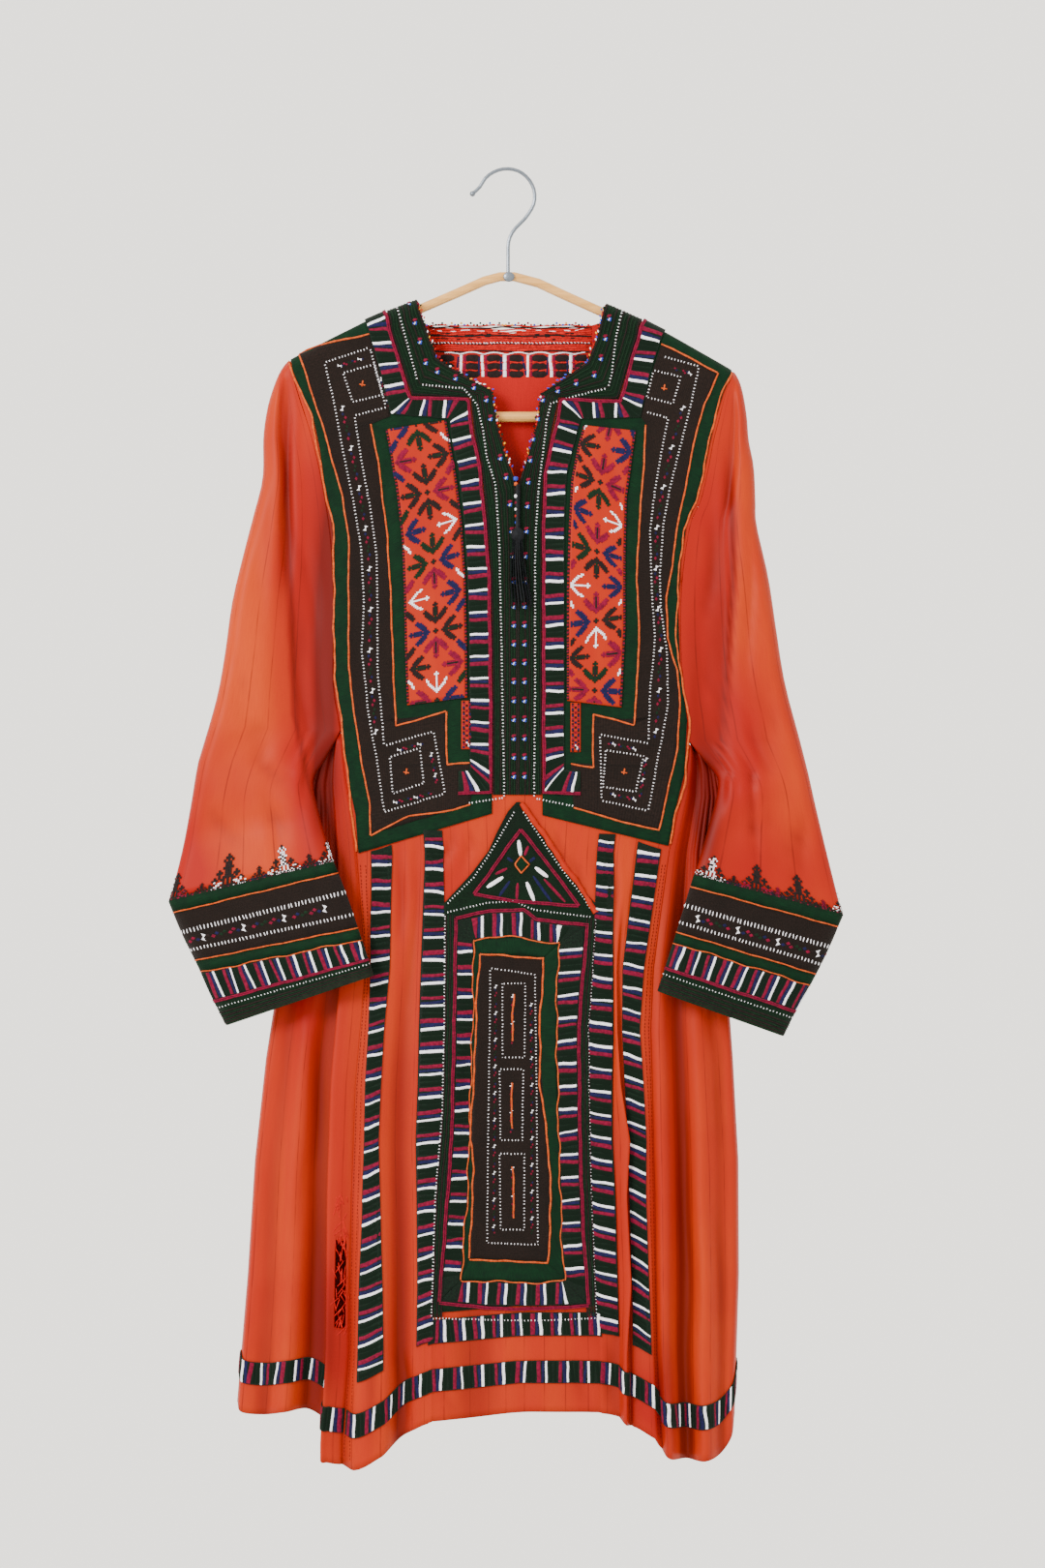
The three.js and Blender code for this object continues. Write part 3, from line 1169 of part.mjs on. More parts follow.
add("tassel", tassel(), "tassel", 0.9);
add("hanger_arms", hangerArms(), "wood", 0.5);
add("hanger_bar", hangerBar(), "wood", 0.5);
add("hanger_hook", hangerHook(), "steel", 0.25, 1);
add("hanger_nut", hangerNut(), "steel", 0.25, 1);

export default group;
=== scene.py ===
import math

import bpy
import numpy as np
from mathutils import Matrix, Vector


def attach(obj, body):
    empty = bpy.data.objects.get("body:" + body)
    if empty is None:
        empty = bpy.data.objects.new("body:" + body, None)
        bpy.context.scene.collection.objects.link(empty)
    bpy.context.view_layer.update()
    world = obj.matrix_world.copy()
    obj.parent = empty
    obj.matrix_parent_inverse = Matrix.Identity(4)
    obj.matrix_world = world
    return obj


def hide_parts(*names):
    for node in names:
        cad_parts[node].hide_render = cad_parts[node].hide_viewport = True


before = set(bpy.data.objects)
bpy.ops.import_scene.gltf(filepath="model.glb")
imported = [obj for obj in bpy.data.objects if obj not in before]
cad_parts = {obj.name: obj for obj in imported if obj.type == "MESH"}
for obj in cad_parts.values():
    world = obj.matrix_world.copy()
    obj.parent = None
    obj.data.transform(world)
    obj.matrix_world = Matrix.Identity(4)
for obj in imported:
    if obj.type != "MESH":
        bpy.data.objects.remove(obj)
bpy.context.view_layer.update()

# Sizes are in millimetres of the row frame until a mesh is made. Positions on the garment's face are
# given as (x, y) places on its elevation drawing, SCALE millimetres to a unit.
MM = 0.001
SCALE = 0.875
DRAWING_ORIGIN = (524, 172)
WAIST, MIDDLE, HEM = -620, -880, -1124
CLOTH = 1.2
BAND_LIFT, BAND = 1.0, 0.9
TRIM_LIFT, TRIM = 2.3, 0.8
SHOULDER_ROLL, SHOULDER_GAP = 9, 0.5
CHEST_DEPTH, BACK_DEPTH = 21, 15
SWELL_START, SWELL_RUN = -140, 380
SIDE_FLATTER, SIDE_START, SIDE_RUN, HALF_CHEST = 0.36, -200, 200, 155
SHOULDER_FADE = 60
FOLDS_START, FOLDS_FULL = -590, -700
CENTRE = 9.6
SEAM_GAP = 0.15
FRONT = np.array([0.0, -1.0, 0.0])
BACK = np.array([0.0, 1.0, 0.0])


def px(points):
    p = np.asarray(points, float)
    return np.stack([(p[..., 0] - DRAWING_ORIGIN[0]) * SCALE, (DRAWING_ORIGIN[1] - p[..., 1]) * SCALE], -1)


def mix(a, b, t):
    return a + (b - a) * t


def clamp01(t):
    return np.clip(t, 0, 1)


def ease(t):
    t = clamp01(t)
    return t * t * (3 - 2 * t)


def _cell(table, place):
    table = np.asarray(table, float)
    i = np.clip(np.floor(place).astype(int), 0, len(table) - 2)
    return table, i, place - i


def _pick(table, i):
    i = np.clip(i, 0, len(table) - 1)
    return table[i] if table.ndim == 1 else table[i, np.arange(table.shape[1])]


def between(table, place):
    table, i, t = _cell(table, place)
    return mix(_pick(table, i), _pick(table, i + 1), t)


def smooth_between(table, place):
    table, i, t = _cell(table, place)
    p, q, r, s = (_pick(table, i + k) for k in (-1, 0, 1, 2))
    return q + 0.5 * t * (r - p + t * (2 * p - 5 * q + 4 * r - s + t * (3 * (q - r) + s - p)))


def depth_along(depths, z):
    t = clamp01((WAIST - z) / (WAIST - HEM))
    m = (WAIST - MIDDLE) / (WAIST - HEM)
    top, middle, low = depths
    return np.where(z > MIDDLE, mix(top, middle, ease(t / m)), mix(middle, low, (t - m) / (1 - m)))


# Lines down the front of the skirt: x at each height, depth at the waist, middle and hem, hem height.
SKIRT_HEIGHTS = [-620, -725, -780, -830, -880, -930, -1010, -1070, -1150]
SKIRT = [
    ("seam left", [-136.5, -128.6, -133, -137.4, -139, -141, -142, -142.6, -149], [13, 24, 33], -1171),
    ("ribbon left outer", [-123.4, -123.4, -125, -127.8, -128.6, -130, -133, -134, -136], [14, 30, 43],
     -1175),
    ("ribbon left inner", [-104, -106, -111, -113.8, -116, -114.6, -112, -111, -112], [16, 31, 46], -1162),
    ("channel left", [-90, -92, -95, -98, -99, -98, -97, -97, -97], [17, 23, 32], -1148),
    ("border left outer", [-74.4, -78, -79.6, -80.5, -82.3, -81.4, -80.5, -81.4, -82], [18, 27, 37], -1139),
    ("border left inner", [-61.3, -58.6, -59.5, -61.7, -63.9, -66.5, -70, -71, -71], [19, 29, 38], -1134),
    ("pocket left", [-57.5, -56, -56.9, -58.2, -60.4, -64, -66.5, -67.4, -67.4], [19, 29, 38], -1132),
    ("pocket valley", [-32, -32.4, -32.4, -32.4, -32.4, -32.4, -31, -30, -30], [20, 23, 33], -1129),
    ("centre", [9.6, 9.6, 9.6, 9.6, 9.6, 9.6, 9.6, 9.6, 9.6], [21, 31, 37], -1124),
    ("pocket swell", [45, 44, 43, 43, 43, 44, 45, 45, 45], [20, 31, 38], -1123.5),
    ("pocket right", [81.4, 77, 73.5, 73.5, 74.4, 76.1, 79.6, 82.3, 82.3], [18, 28, 36], -1124),
    ("border right inner", [86, 81.4, 78.5, 78, 78.4, 80, 84, 86, 86], [18, 28, 36], -1125),
    ("border right outer", [96, 96, 96.3, 95.4, 95.4, 98, 100.2, 101.5, 101.5], [17, 27, 37], -1128),
    ("fold crest right", [105, 98.8, 99.2, 102.5, 111, 108, 112, 107.5, 107], [16, 34, 45], -1134),
    ("fold tuck right", [111, 100, 99, 101, 104, 105, 107.5, 109.5, 110.5], [15, 25, 35], -1136),
    ("ribbon right inner", [117, 104.5, 104, 106.5, 109.5, 110.5, 113, 113.5, 114.5], [15, 26, 36], -1137),
    ("ribbon right outer", [139, 124, 120, 123.4, 126, 125.5, 128.6, 130.4, 133], [13, 28, 40], -1147),
    ("seam right", [147, 133, 130.4, 131.7, 132.6, 133.9, 134.8, 135.6, 140], [12, 23, 35], -1157),
]
LINE = {line[0]: i for i, line in enumerate(SKIRT)}
CENTRE_LINE, LAST_LINE = LINE["centre"], len(SKIRT) - 1
HEMS = np.array([line[3] for line in SKIRT], float)
WAIST_X = np.array([line[1][0] for line in SKIRT], float)


def across_at(z):
    levels = -np.array(SKIRT_HEIGHTS, float)
    return np.array([np.interp(-z, levels, line[1]) for line in SKIRT])


def skirt_x(s, z):
    return between(across_at(z), s)


def skirt_hem(s):
    return smooth_between(HEMS, s)


def skirt_depth(s, z):
    return smooth_between(np.array([depth_along(line[2], z) for line in SKIRT]), s)


def line_at(x, z):
    xs = across_at(np.minimum(z, WAIST))
    i = np.clip((x[None] > xs[1:-1]).cumprod(0).sum(0), 0, LAST_LINE - 1)
    a, b = _pick(xs, i), _pick(xs, i + 1)
    return i + clamp01((x - a) / (b - a))


SHOULDER_LEFT = dict(neck_x=-81.4, neck_z=-119, arm_x=-197, arm_z=-174)
SHOULDER_RIGHT = dict(neck_x=89.3, neck_z=-122.5, arm_x=204, arm_z=-183.5)
SHOULDER_BOW = 3.5


def shoulder_height(x):
    left, right = SHOULDER_LEFT, SHOULDER_RIGHT

    def side(k):
        out = clamp01((x - k["neck_x"]) / (k["arm_x"] - k["neck_x"]))
        return mix(k["neck_z"], k["arm_z"], out) + SHOULDER_BOW * 4 * out * (1 - out)

    across = (x - left["neck_x"]) / (right["neck_x"] - left["neck_x"])
    neck = mix(left["neck_z"], right["neck_z"], across)
    return np.where((across > 0) & (across < 1), neck, np.where(x < 0, side(left), side(right)))


def rolled(below):
    inside = np.sqrt(np.maximum(0, below * (2 * SHOULDER_ROLL - below))) / SHOULDER_ROLL
    return np.where(below < SHOULDER_ROLL, inside, 1)


def upper_depth(x, z, full):
    below = np.maximum(0, shoulder_height(x) - z)
    swell = mix(SHOULDER_ROLL, full, ease((SWELL_START - z) / SWELL_RUN))
    side = 1 - SIDE_FLATTER * ((x - CENTRE) / HALF_CHEST) ** 2 * ease((SIDE_START - z) / SIDE_RUN)
    return np.maximum(SHOULDER_GAP, rolled(below) * swell * side)


# Creases, listed one by one: a line from one end to the other, how far it sinks, and its width.
CREASES_FRONT = [
    (-118, -618, -122, -720, 1.6, 4), (-96, -612, -99, -700, 1.8, 4.5), (-82, -606, -86, -760, 1.2, 4),
    (-45, -600, -70, -640, 1.6, 5), (-22, -596, -44, -634, 1.4, 4), (40, -596, 62, -640, 1.4, 4),
    (60, -600, 74, -690, 1.2, 4), (98, -604, 97, -690, 1.8, 4), (120, -610, 112, -700, 1.6, 4.5),
    (-30, -720, -34, -880, 1.4, 6), (-2, -700, 4, -800, -1.0, 7), (30, -790, 22, -900, 1.0, 7),
    (52, -900, 46, -1010, 1.2, 7), (-48, -950, -60, -1060, 1.4, 6), (10, -1060, 16, -1120, 1.6, 7),
    (-95, -1070, -90, -1130, 2.0, 6), (60, -1070, 66, -1120, 1.4, 6), (88, -1060, 96, -1120, 1.8, 6),
    (-60, -1085, -52, -1130, 1.2, 5), (120, -960, 124, -1070, 1.2, 4), (-128, -900, -126, -1000, 1.2, 5),
    (-105, -250, -112, -330, 0.8, 6), (-150, -420, -120, -470, 1.0, 7), (-146, -500, -110, -540, 1.2, 7),
    (150, -430, 120, -470, 1.0, 7), (154, -520, 116, -545, 1.2, 7), (92, -240, 104, -330, 0.8, 6),
    (-60, -560, -92, -590, 0.9, 6), (70, -560, 100, -590, 0.9, 6), (-30, -480, -22, -560, 0.7, 5),
    (44, -480, 40, -560, 0.7, 5),
]
CREASES_BACK = [
    (-150, -300, -60, -350, 1.6, 9), (150, -310, 70, -360, 1.6, 9), (-150, -520, -80, -600, 1.8, 8),
    (150, -520, 80, -610, 1.8, 8), (-40, -560, -46, -760, 1.5, 8), (30, -600, 36, -820, 1.5, 8),
    (90, -700, 96, -900, 1.6, 8), (-95, -720, -104, -930, 1.6, 8), (0, -850, 8, -1050, 1.4, 8),
    (-60, -930, -66, -1080, 1.6, 7), (60, -960, 70, -1090, 1.6, 7), (-120, -620, -110, -690, 1.4, 6),
    (118, -625, 110, -700, 1.4, 6), (-130, -190, -110, -240, 1.0, 8), (135, -200, 112, -250, 1.0, 8),
]
CREASES_SLEEVES = [
    (-262, -430, -215, -500, 2.2, 7), (-266, -470, -190, -545, 2.6, 8), (-250, -520, -176, -570, 2.0, 7),
    (-196, -250, -206, -420, 1.8, 5), (-199, -185, -198, -370, 2.2, 4), (-230, -330, -216, -410, 1.6, 7),
    (-240, -590, -180, -600, 1.4, 7), (-280, -560, -240, -620, 1.6, 8), (-190, -330, -172, -420, 1.6, 6),
    (-176, -440, -160, -500, 1.4, 6), (-215, -560, -205, -640, 1.4, 7), (196, -250, 212, -380, 1.8, 5),
    (220, -320, 218, -470, 2.2, 4), (222, -470, 224, -640, 2.4, 4), (262, -430, 214, -500, 2.0, 7),
    (268, -480, 196, -548, 2.6, 8), (252, -530, 186, -575, 2.0, 7), (240, -590, 190, -612, 1.6, 7),
    (282, -570, 246, -630, 1.6, 8), (188, -330, 176, -420, 1.6, 6), (182, -440, 166, -500, 1.4, 6),
    (264, -600, 262, -660, 1.4, 7),
]
CREASES_SIDES = [
    (-190, -640, -205, -800, 1.6, 5), (-172, -620, -182, -780, 1.8, 5), (-210, -820, -228, -1000, 1.6, 7),
    (-186, -900, -200, -1090, 1.6, 7), (-166, -760, -176, -900, 1.4, 6), (-222, -1020, -236, -1110, 1.4, 6),
    (160, -620, 168, -780, 1.6, 5), (178, -640, 186, -800, 1.8, 5), (160, -860, 168, -1060, 1.6, 7),
    (186, -880, 194, -1080, 1.6, 7), (196, -740, 200, -900, 1.4, 6), (178, -1040, 184, -1130, 1.4, 6),
]


def sunk(creases, x, z):
    """How far the creases sink a point towards the wearer, with slight slack between them."""
    total = 0.35 * np.sin(x / 23 + z / 61) * np.sin(z / 37 - x / 90 + 1.3)
    for x0, z0, x1, z1, depth, width in creases:
        ax, az = x1 - x0, z1 - z0
        t = clamp01(((x - x0) * ax + (z - z0) * az) / (ax * ax + az * az))
        wander = 0.5 * width * np.sin(5 * t + x0)
        across = (x - x0 - t * ax) * az / math.hypot(ax, az) - (z - z0 - t * az) * ax / math.hypot(ax, az)
        past = np.hypot(x - x0 - t * ax, z - z0 - t * az)
        off = np.where((t > 0) & (t < 1), np.abs(across + wander), past + 0.5 * width)
        total = total + depth * np.exp(-((off / width) ** 2)) * np.sin(np.pi * mix(0.08, 0.92, t))
        total = total - 0.45 * depth * np.exp(-(((off - 1.9 * width) / width) ** 2)) * np.sin(np.pi * t)
    return total


def front_depth(x, z, s):
    folds = ease((FOLDS_START - z) / (FOLDS_START - FOLDS_FULL))
    smooth = upper_depth(x, np.maximum(z, WAIST), CHEST_DEPTH)
    depth = mix(smooth, skirt_depth(s, np.minimum(z, WAIST)), folds)
    below = shoulder_height(x) - z
    return np.maximum(SHOULDER_GAP, depth - sunk(CREASES_FRONT, x, z) * ease(below / SHOULDER_FADE))


# Sections of the front above the waist: the armhole or seam end and the neck or centre end.
FRONT_LEFT = [
    (-196, -183, -79, -128), (-189, -207, -72.5, -147), (-181, -231, -64, -171.5), (-176, -249, -38.5, -188),
    (-170.6, -272, -14, -200.5), (-164.5, -304.5, -8.8, -232), (-160, -339.5, 8.8, -284.4),
    (-157.5, -383, CENTRE, -339.5), (-157.5, -427, CENTRE, -401), (-157.5, -471, CENTRE, -462),
    (-150.5, -512, CENTRE, -512), (-147, -549.5, CENTRE, -554), (-141, -584.5, CENTRE, -589),
    (-136.5, WAIST, CENTRE, WAIST),
]
FRONT_RIGHT = [
    (202, -193, 86.5, -132), (197.8, -206.5, 81.4, -153), (192.5, -227.5, 72.6, -175),
    (187.3, -247.6, 51.6, -190), (182.9, -271.3, 31.5, -203), (175.9, -301, 26.3, -234.5),
    (166.3, -323, 11.4, -284.4), (159.3, -369.3, CENTRE, -339.5), (157.5, -416.5, CENTRE, -401),
    (159.3, -466.4, CENTRE, -462), (165, -522, CENTRE, -512), (160.5, -559, CENTRE, -554),
    (153, -593.3, CENTRE, -589), (147, WAIST, CENTRE, WAIST),
]
ROLL_ANGLES = [0, 22.5, 45, 67.5]
ROW_BELOW_ROLL = 22


def drop_at(degrees):
    return SHOULDER_ROLL * (1 - math.cos(math.radians(degrees)))


def upper_sections(table, shoulder):
    first = table[0]
    rows = []
    for degrees in ROLL_ANGLES:
        t = drop_at(degrees) / SHOULDER_ROLL
        rows.append((
            mix(shoulder["arm_x"], first[0], t), shoulder["arm_z"] - drop_at(degrees),
            mix(shoulder["neck_x"], first[2], t), shoulder["neck_z"] - drop_at(degrees),
        ))
    return np.array(rows + table, float)


UPPER_LEFT = upper_sections(FRONT_LEFT, SHOULDER_LEFT)
UPPER_RIGHT = upper_sections(FRONT_RIGHT, SHOULDER_RIGHT)
WAIST_ROW = len(UPPER_LEFT) - 1
RIP_HEAD, RIP_FOOT, POCKET_FOOT, BORDER_HEAD, BORDER_FOOT = 0.64, 0.78, 0.81, 0.822, 0.864
HEM_RIBBON_HEAD, HEM_RIBBON_FOOT = 0.908, 0.948
SLIT_END, BORDER_STEP = 11, 0.011


def arm_curve(upper):
    """Armhole and seam edge of a half as a dense (x, z) line, shared by all that meet there."""
    rows = np.linspace(0, WAIST_ROW, WAIST_ROW * 12 + 1)
    return smooth_between(upper[:, 0], rows), smooth_between(upper[:, 1], rows)


ARM_LEFT, ARM_RIGHT = arm_curve(UPPER_LEFT), arm_curve(UPPER_RIGHT)


def side_edge(left, z):
    x, level = ARM_LEFT if left else ARM_RIGHT
    upper = np.interp(-z, -level, x)
    seam = skirt_x(np.full(z.shape, 0.0 if left else LAST_LINE), np.minimum(z, WAIST))
    return np.where(z > WAIST, upper, seam)


def front_grid(places, rows, left):
    """Points of the front's middle surface at places among the lines (columns) and at real rows.
    Rows past WAIST_ROW count the skirt's height down to the hem, as WAIST_ROW + share."""
    s, row = np.meshgrid(np.asarray(places, float), np.asarray(rows, float))
    shape = s.shape
    s, row = s.ravel(), row.ravel()
    table = UPPER_LEFT if left else UPPER_RIGHT
    end = WAIST_X[0 if left else LAST_LINE]
    inward = (between(WAIST_X, s) - end) / (CENTRE - end)
    up = np.minimum(row, WAIST_ROW)
    x = mix(smooth_between(table[:, 0], up), between(table[:, 2], up), inward)
    z = mix(smooth_between(table[:, 1], up), between(table[:, 3], up), inward)
    drops = [drop_at(a) for a in ROLL_ANGLES + [90]]
    drop = np.interp(up, range(len(drops)), drops) + np.maximum(0, up - len(ROLL_ANGLES)) * ROW_BELOW_ROLL
    follows = np.where(up <= len(ROLL_ANGLES), 1, clamp01(1 - up / (len(ROLL_ANGLES) + 2)))
    z = mix(z, shoulder_height(x) - drop, follows)
    low = mix(WAIST, skirt_hem(s), row - WAIST_ROW)
    skirt = row > WAIST_ROW
    z = np.where(skirt, low, z)
    x = np.where(skirt, skirt_x(s, np.minimum(low, WAIST)), x)
    return np.stack([x, -front_depth(x, z, s), z], -1).reshape(shape + (3,))


def on_front(xz):
    """Points of the front's middle surface at (x, z), no higher than the shoulder seam."""
    shape = xz.shape[:-1]
    x, z = xz[..., 0].ravel(), xz[..., 1].ravel()
    z = np.minimum(z, shoulder_height(x))
    y = -front_depth(x, z, line_at(x, z))
    return np.stack([x, y, z], -1).reshape(shape + (3,))


# Back panel.
BACK_NECK, BACK_NECK_RISE, BACK_HEM = -142, 5, -1116
BACK_FOLDS = [
    (0, [9, 12, 15]), (0.14, [11, 18, 26]), (0.3, [13, 13, 16]), (0.46, [15, 21, 29]), (0.6, [15, 15, 19]),
    (0.75, [13, 20, 27]), (0.88, [11, 14, 18]), (1, [9, 12, 15]),
]
NECK_SHARES = (0.288, 0.712)


def back_depth(x, z, share):
    folds = ease((FOLDS_START - z) / (FOLDS_START - FOLDS_FULL))
    place = np.interp(share, [f[0] for f in BACK_FOLDS], range(len(BACK_FOLDS)))
    low = smooth_between(np.array([depth_along(f[1], np.minimum(z, WAIST)) for f in BACK_FOLDS]), place)
    depth = mix(upper_depth(x, np.maximum(z, WAIST), BACK_DEPTH), low, folds)
    seam = np.sin(np.pi * clamp01(share)) ** 0.5
    below = shoulder_height(x) - z
    return np.maximum(SHOULDER_GAP, depth - sunk(CREASES_BACK, x, z) * seam * ease(below / SHOULDER_FADE))


def back_grid(shares, rows):
    share, row = np.meshgrid(np.asarray(shares, float), np.asarray(rows, float))
    shape = share.shape
    share, row = share.ravel(), row.ravel()
    first, last = NECK_SHARES
    left, right = SHOULDER_LEFT, SHOULDER_RIGHT
    ends = [left["arm_x"], left["neck_x"], right["neck_x"], right["arm_x"]]
    top_x = np.interp(share, [0, first, last, 1], ends)
    across = (share - first) / (last - first)
    neck = BACK_NECK + BACK_NECK_RISE * np.cos(2 * np.pi * across) ** 9 + SHOULDER_ROLL
    in_neck = (share > first + 1e-6) & (share < last - 1e-6)
    top_z = np.where(in_neck, neck, shoulder_height(top_x))
    drops = [drop_at(a) for a in ROLL_ANGLES + [90]]
    drop = np.interp(row, range(len(drops)), drops)
    arm = lambda table, col: smooth_between(table[:, col], np.minimum(row, WAIST_ROW))
    roll_x = mix(top_x, mix(UPPER_LEFT[4, 0], UPPER_RIGHT[4, 0], share), drop / SHOULDER_ROLL)
    down = mix(
        (left["arm_z"] - SHOULDER_ROLL - arm(UPPER_LEFT, 1)) / (left["arm_z"] - SHOULDER_ROLL - WAIST),
        (right["arm_z"] - SHOULDER_ROLL - arm(UPPER_RIGHT, 1)) / (right["arm_z"] - SHOULDER_ROLL - WAIST),
        share,
    )
    body_z = mix(top_z - SHOULDER_ROLL, WAIST, down)
    body_x = mix(arm(UPPER_LEFT, 0), arm(UPPER_RIGHT, 0), share)
    low_z = mix(WAIST, BACK_HEM, row - WAIST_ROW)
    low_x = mix(side_edge(True, low_z), side_edge(False, low_z), share)
    z = np.where(row > WAIST_ROW, low_z, np.where(row < len(ROLL_ANGLES), top_z - drop, body_z))
    x = np.where(row > WAIST_ROW, low_x, np.where(row < len(ROLL_ANGLES), roll_x, body_x))
    return np.stack([x, back_depth(x, z, share), z], -1).reshape(shape + (3,))


# Side panels: share at the waist and hem, y at the waist, middle and hem, and the hem's height.
SIDE_LEFT = dict(
    heights=[-512, -535, -560, -620, -725, -808, -900, -1004, -1130],
    edges=[-162, -176, -187, -193, -206, -219, -229, -235.5, -246],
    folds=[
        (0, 0, [-13, -24, -33], -1171), (0.05, 0.03, [-12, -25, -35], -1171),
        (0.17, 0.13, [-11, -27, -38], -1169), (0.3, 0.19, [-10, -26, -39], -1166),
        (0.27, 0.12, [-5, -14, -24], -1140), (0.42, 0.33, [-3, -8, -12], -1125),
        (0.6, 0.55, [-6, -17, -25], -1126), (0.78, 0.74, [-4, -9, -12], -1130),
        (0.95, 0.95, [-4, -8, -11], -1128), (1, 1, [0, 0, -1], -1120), (1.05, 1.05, [4, 8, 9], -1120),
        (1.38, 1.4, [6, 15, 20], -1120), (1.7, 1.7, [6, 8, 9], -1118), (2, 2, [9, 12, 15], BACK_HEM),
    ],
)
SIDE_RIGHT = dict(
    heights=[-522, -545, -570, -620, -725, -808, -900, -1004, -1130],
    edges=[178, 191, 196, 193, 199, 205, 210, 210.5, 206.5],
    folds=[
        (0, 0, [-12, -23, -35], -1157), (0.14, 0.1, [-12, -27, -44], -1165),
        (0.34, 0.34, [-4, -11, -20], -1168), (0.56, 0.58, [-7, -20, -33], -1169),
        (0.76, 0.8, [-4, -10, -18], -1164), (0.95, 0.95, [-4, -8, -14], -1150), (1, 1, [0, 0, -2], -1131),
        (1.05, 1.05, [4, 8, 9], -1126), (1.38, 1.4, [6, 15, 20], -1120), (1.7, 1.7, [6, 8, 9], -1118),
        (2, 2, [9, 12, 15], BACK_HEM),
    ],
)
GATHER_WAVES, GATHER_DEPTH, GATHER_START, GATHER_RUN = 9, 1.7, -800, 190
SIDE_TOP_DIP = 7


def side_grid(side, places, rows, left):
    """Points of a side panel. Rows below 0 lie above the waist, down to -1 at its top edge."""
    place, row = np.meshgrid(np.asarray(places, float), np.asarray(rows, float))
    shape = place.shape
    place, row = place.ravel(), row.ravel()
    folds = side["folds"]
    top = side["heights"][0]
    column = lambda values: smooth_between(np.array(values, float), place)
    waist_share, hem_share = column([f[0] for f in folds]), column([f[1] for f in folds])
    round_top = np.sin(np.pi * clamp01(waist_share / 2))
    upper = mix(WAIST, top - SIDE_TOP_DIP * round_top, clamp01(-row))
    z = np.where(row > 0, mix(WAIST, column([f[3] for f in folds]), np.maximum(row, 0)), upper)
    down = clamp01((WAIST - z) / (WAIST - HEM))
    share = mix(waist_share, hem_share, down)
    seam_x = side_edge(left, z)
    edge_x = np.interp(-z, -np.array(side["heights"], float), side["edges"])
    x = mix(seam_x + (-SEAM_GAP if left else SEAM_GAP), edge_x, np.where(share <= 1, share, 2 - share))
    depths = np.array([depth_along(f[2], z) for f in folds])
    depths[0] = -front_depth(seam_x, z, np.full(z.shape, 0.0 if left else LAST_LINE))
    depths[-1] = back_depth(seam_x, z, np.full(z.shape, 0.0 if left else 1.0))
    underarm = ease((z - WAIST) / (top - WAIST))
    gathered = ease((z - GATHER_START) / GATHER_RUN) * (1 - underarm)
    wave = GATHER_DEPTH * gathered * np.sin(2 * np.pi * GATHER_WAVES * share + 0.8 * np.sin(7 * share))
    y = smooth_between(depths, place) + wave * np.sin(np.pi * clamp01(share / 2)) ** 2
    inset = np.sin(np.pi * clamp01(np.where(share <= 1, share, 2 - share))) ** 0.7
    y = y + np.where(share < 1, 1, -1) * sunk(CREASES_SIDES, x, z) * inset
    return np.stack([x, y, z], -1).reshape(shape + (3,))


# Sleeves and cuffs: outer edge, inner edge, middle depth at each, half the depth, crest's place.
SLEEVE_LEFT = np.array([
    (-199.4, -174.3, -197, -174, 0, 0, 0.5, 0.3), (-203, -178.5, -196.6, -177, 0, 0, 6, 0.25),
    (-207.5, -186, -196, -183, 0, 0, 9, 0.22), (-213, -200, -191, -200, 0, 0, 9, 0.2),
    (-218, -218, -184, -222, 0, 0, 9, 0.22), (-221.4, -243, -178, -243, 0, 0, 9, 0.24),
    (-222, -280, -169, -280, -1, 0, 9.5, 0.27), (-230, -313, -163, -313, -1, 0, 10, 0.3),
    (-238, -344, -159.6, -344, -2, 0, 10, 0.36), (-249.4, -392, -157.8, -392, -3, 0, 10, 0.5),
    (-255.5, -436, -157.8, -436, -4, 0, 10, 0.58), (-262, -474, -157, -474, -5, 0, 10, 0.63),
    (-271, -508, -151.2, -512, -6, -1, 10, 0.7), (-280, -538, -165.5, -536, -7, -7, 9, 0.8),
    (-287, -580, -176, -556, -9, -14, 8, 0.88), (-294, -618, -169, -590, -12, -24, 7.5, 0.8),
    (-305, -664, -157.5, -628.6, -16, -31, 7, 0.75),
])
SLEEVE_RIGHT = np.array([
    (206.4, -184, 204, -183.5, 0, 0, 0.5, 0.3), (209, -188, 203.6, -186.5, 0, 0, 6, 0.25),
    (212, -195, 202, -193, 0, 0, 9, 0.22), (215, -207, 197.8, -206.5, 0, 0, 9, 0.2),
    (217.9, -226, 192.5, -227.5, 0, 0, 9, 0.2), (219.5, -246, 187.3, -247.6, 0, 0, 9, 0.22),
    (224, -270, 183, -271.3, -1, 0, 9.5, 0.3), (225.5, -301, 175.9, -301, -1, 0, 10, 0.38),
    (226.5, -323, 166.3, -323, -2, 0, 10, 0.4), (237, -370, 160, -370, -3, 0, 10, 0.42),
    (244, -416.5, 158.2, -416.5, -4, 0, 10, 0.45), (252, -466.4, 160, -466.4, -5, 0, 10, 0.52),
    (266, -520, 165.7, -522, -6, -1, 10, 0.66), (273, -548, 186, -545, -7, -7, 9, 0.78),
    (280, -580, 192, -560, -9, -14, 8, 0.88), (290.5, -625, 182, -600, -12, -21, 7.5, 0.8),
    (303, -676, 170, -640.6, -16, -27, 7, 0.75),
])
CUFF_LEFT = np.array([
    (-305.2, -664.7, -157.4, -629.4, -16, -31.4, 7.4), (-293, -694, -146, -658, -17, -34, 7.4),
    (-279, -722, -134, -693, -18, -36, 7.2), (-266, -751, -127, -714, -19, -37, 7),
    (-252.5, -776, -121.6, -731, -20, -38, 7),
])
CUFF_RIGHT = np.array([
    (303.1, -676.8, 169.9, -641.4, -16, -27.4, 7.4), (290, -707, 161, -670, -17, -30, 7.4),
    (276.5, -734, 153, -696, -18, -31, 7.2), (262, -760, 145, -721, -19, -32, 7),
    (248.5, -785.8, 137.4, -745.5, -20, -33, 7),
])
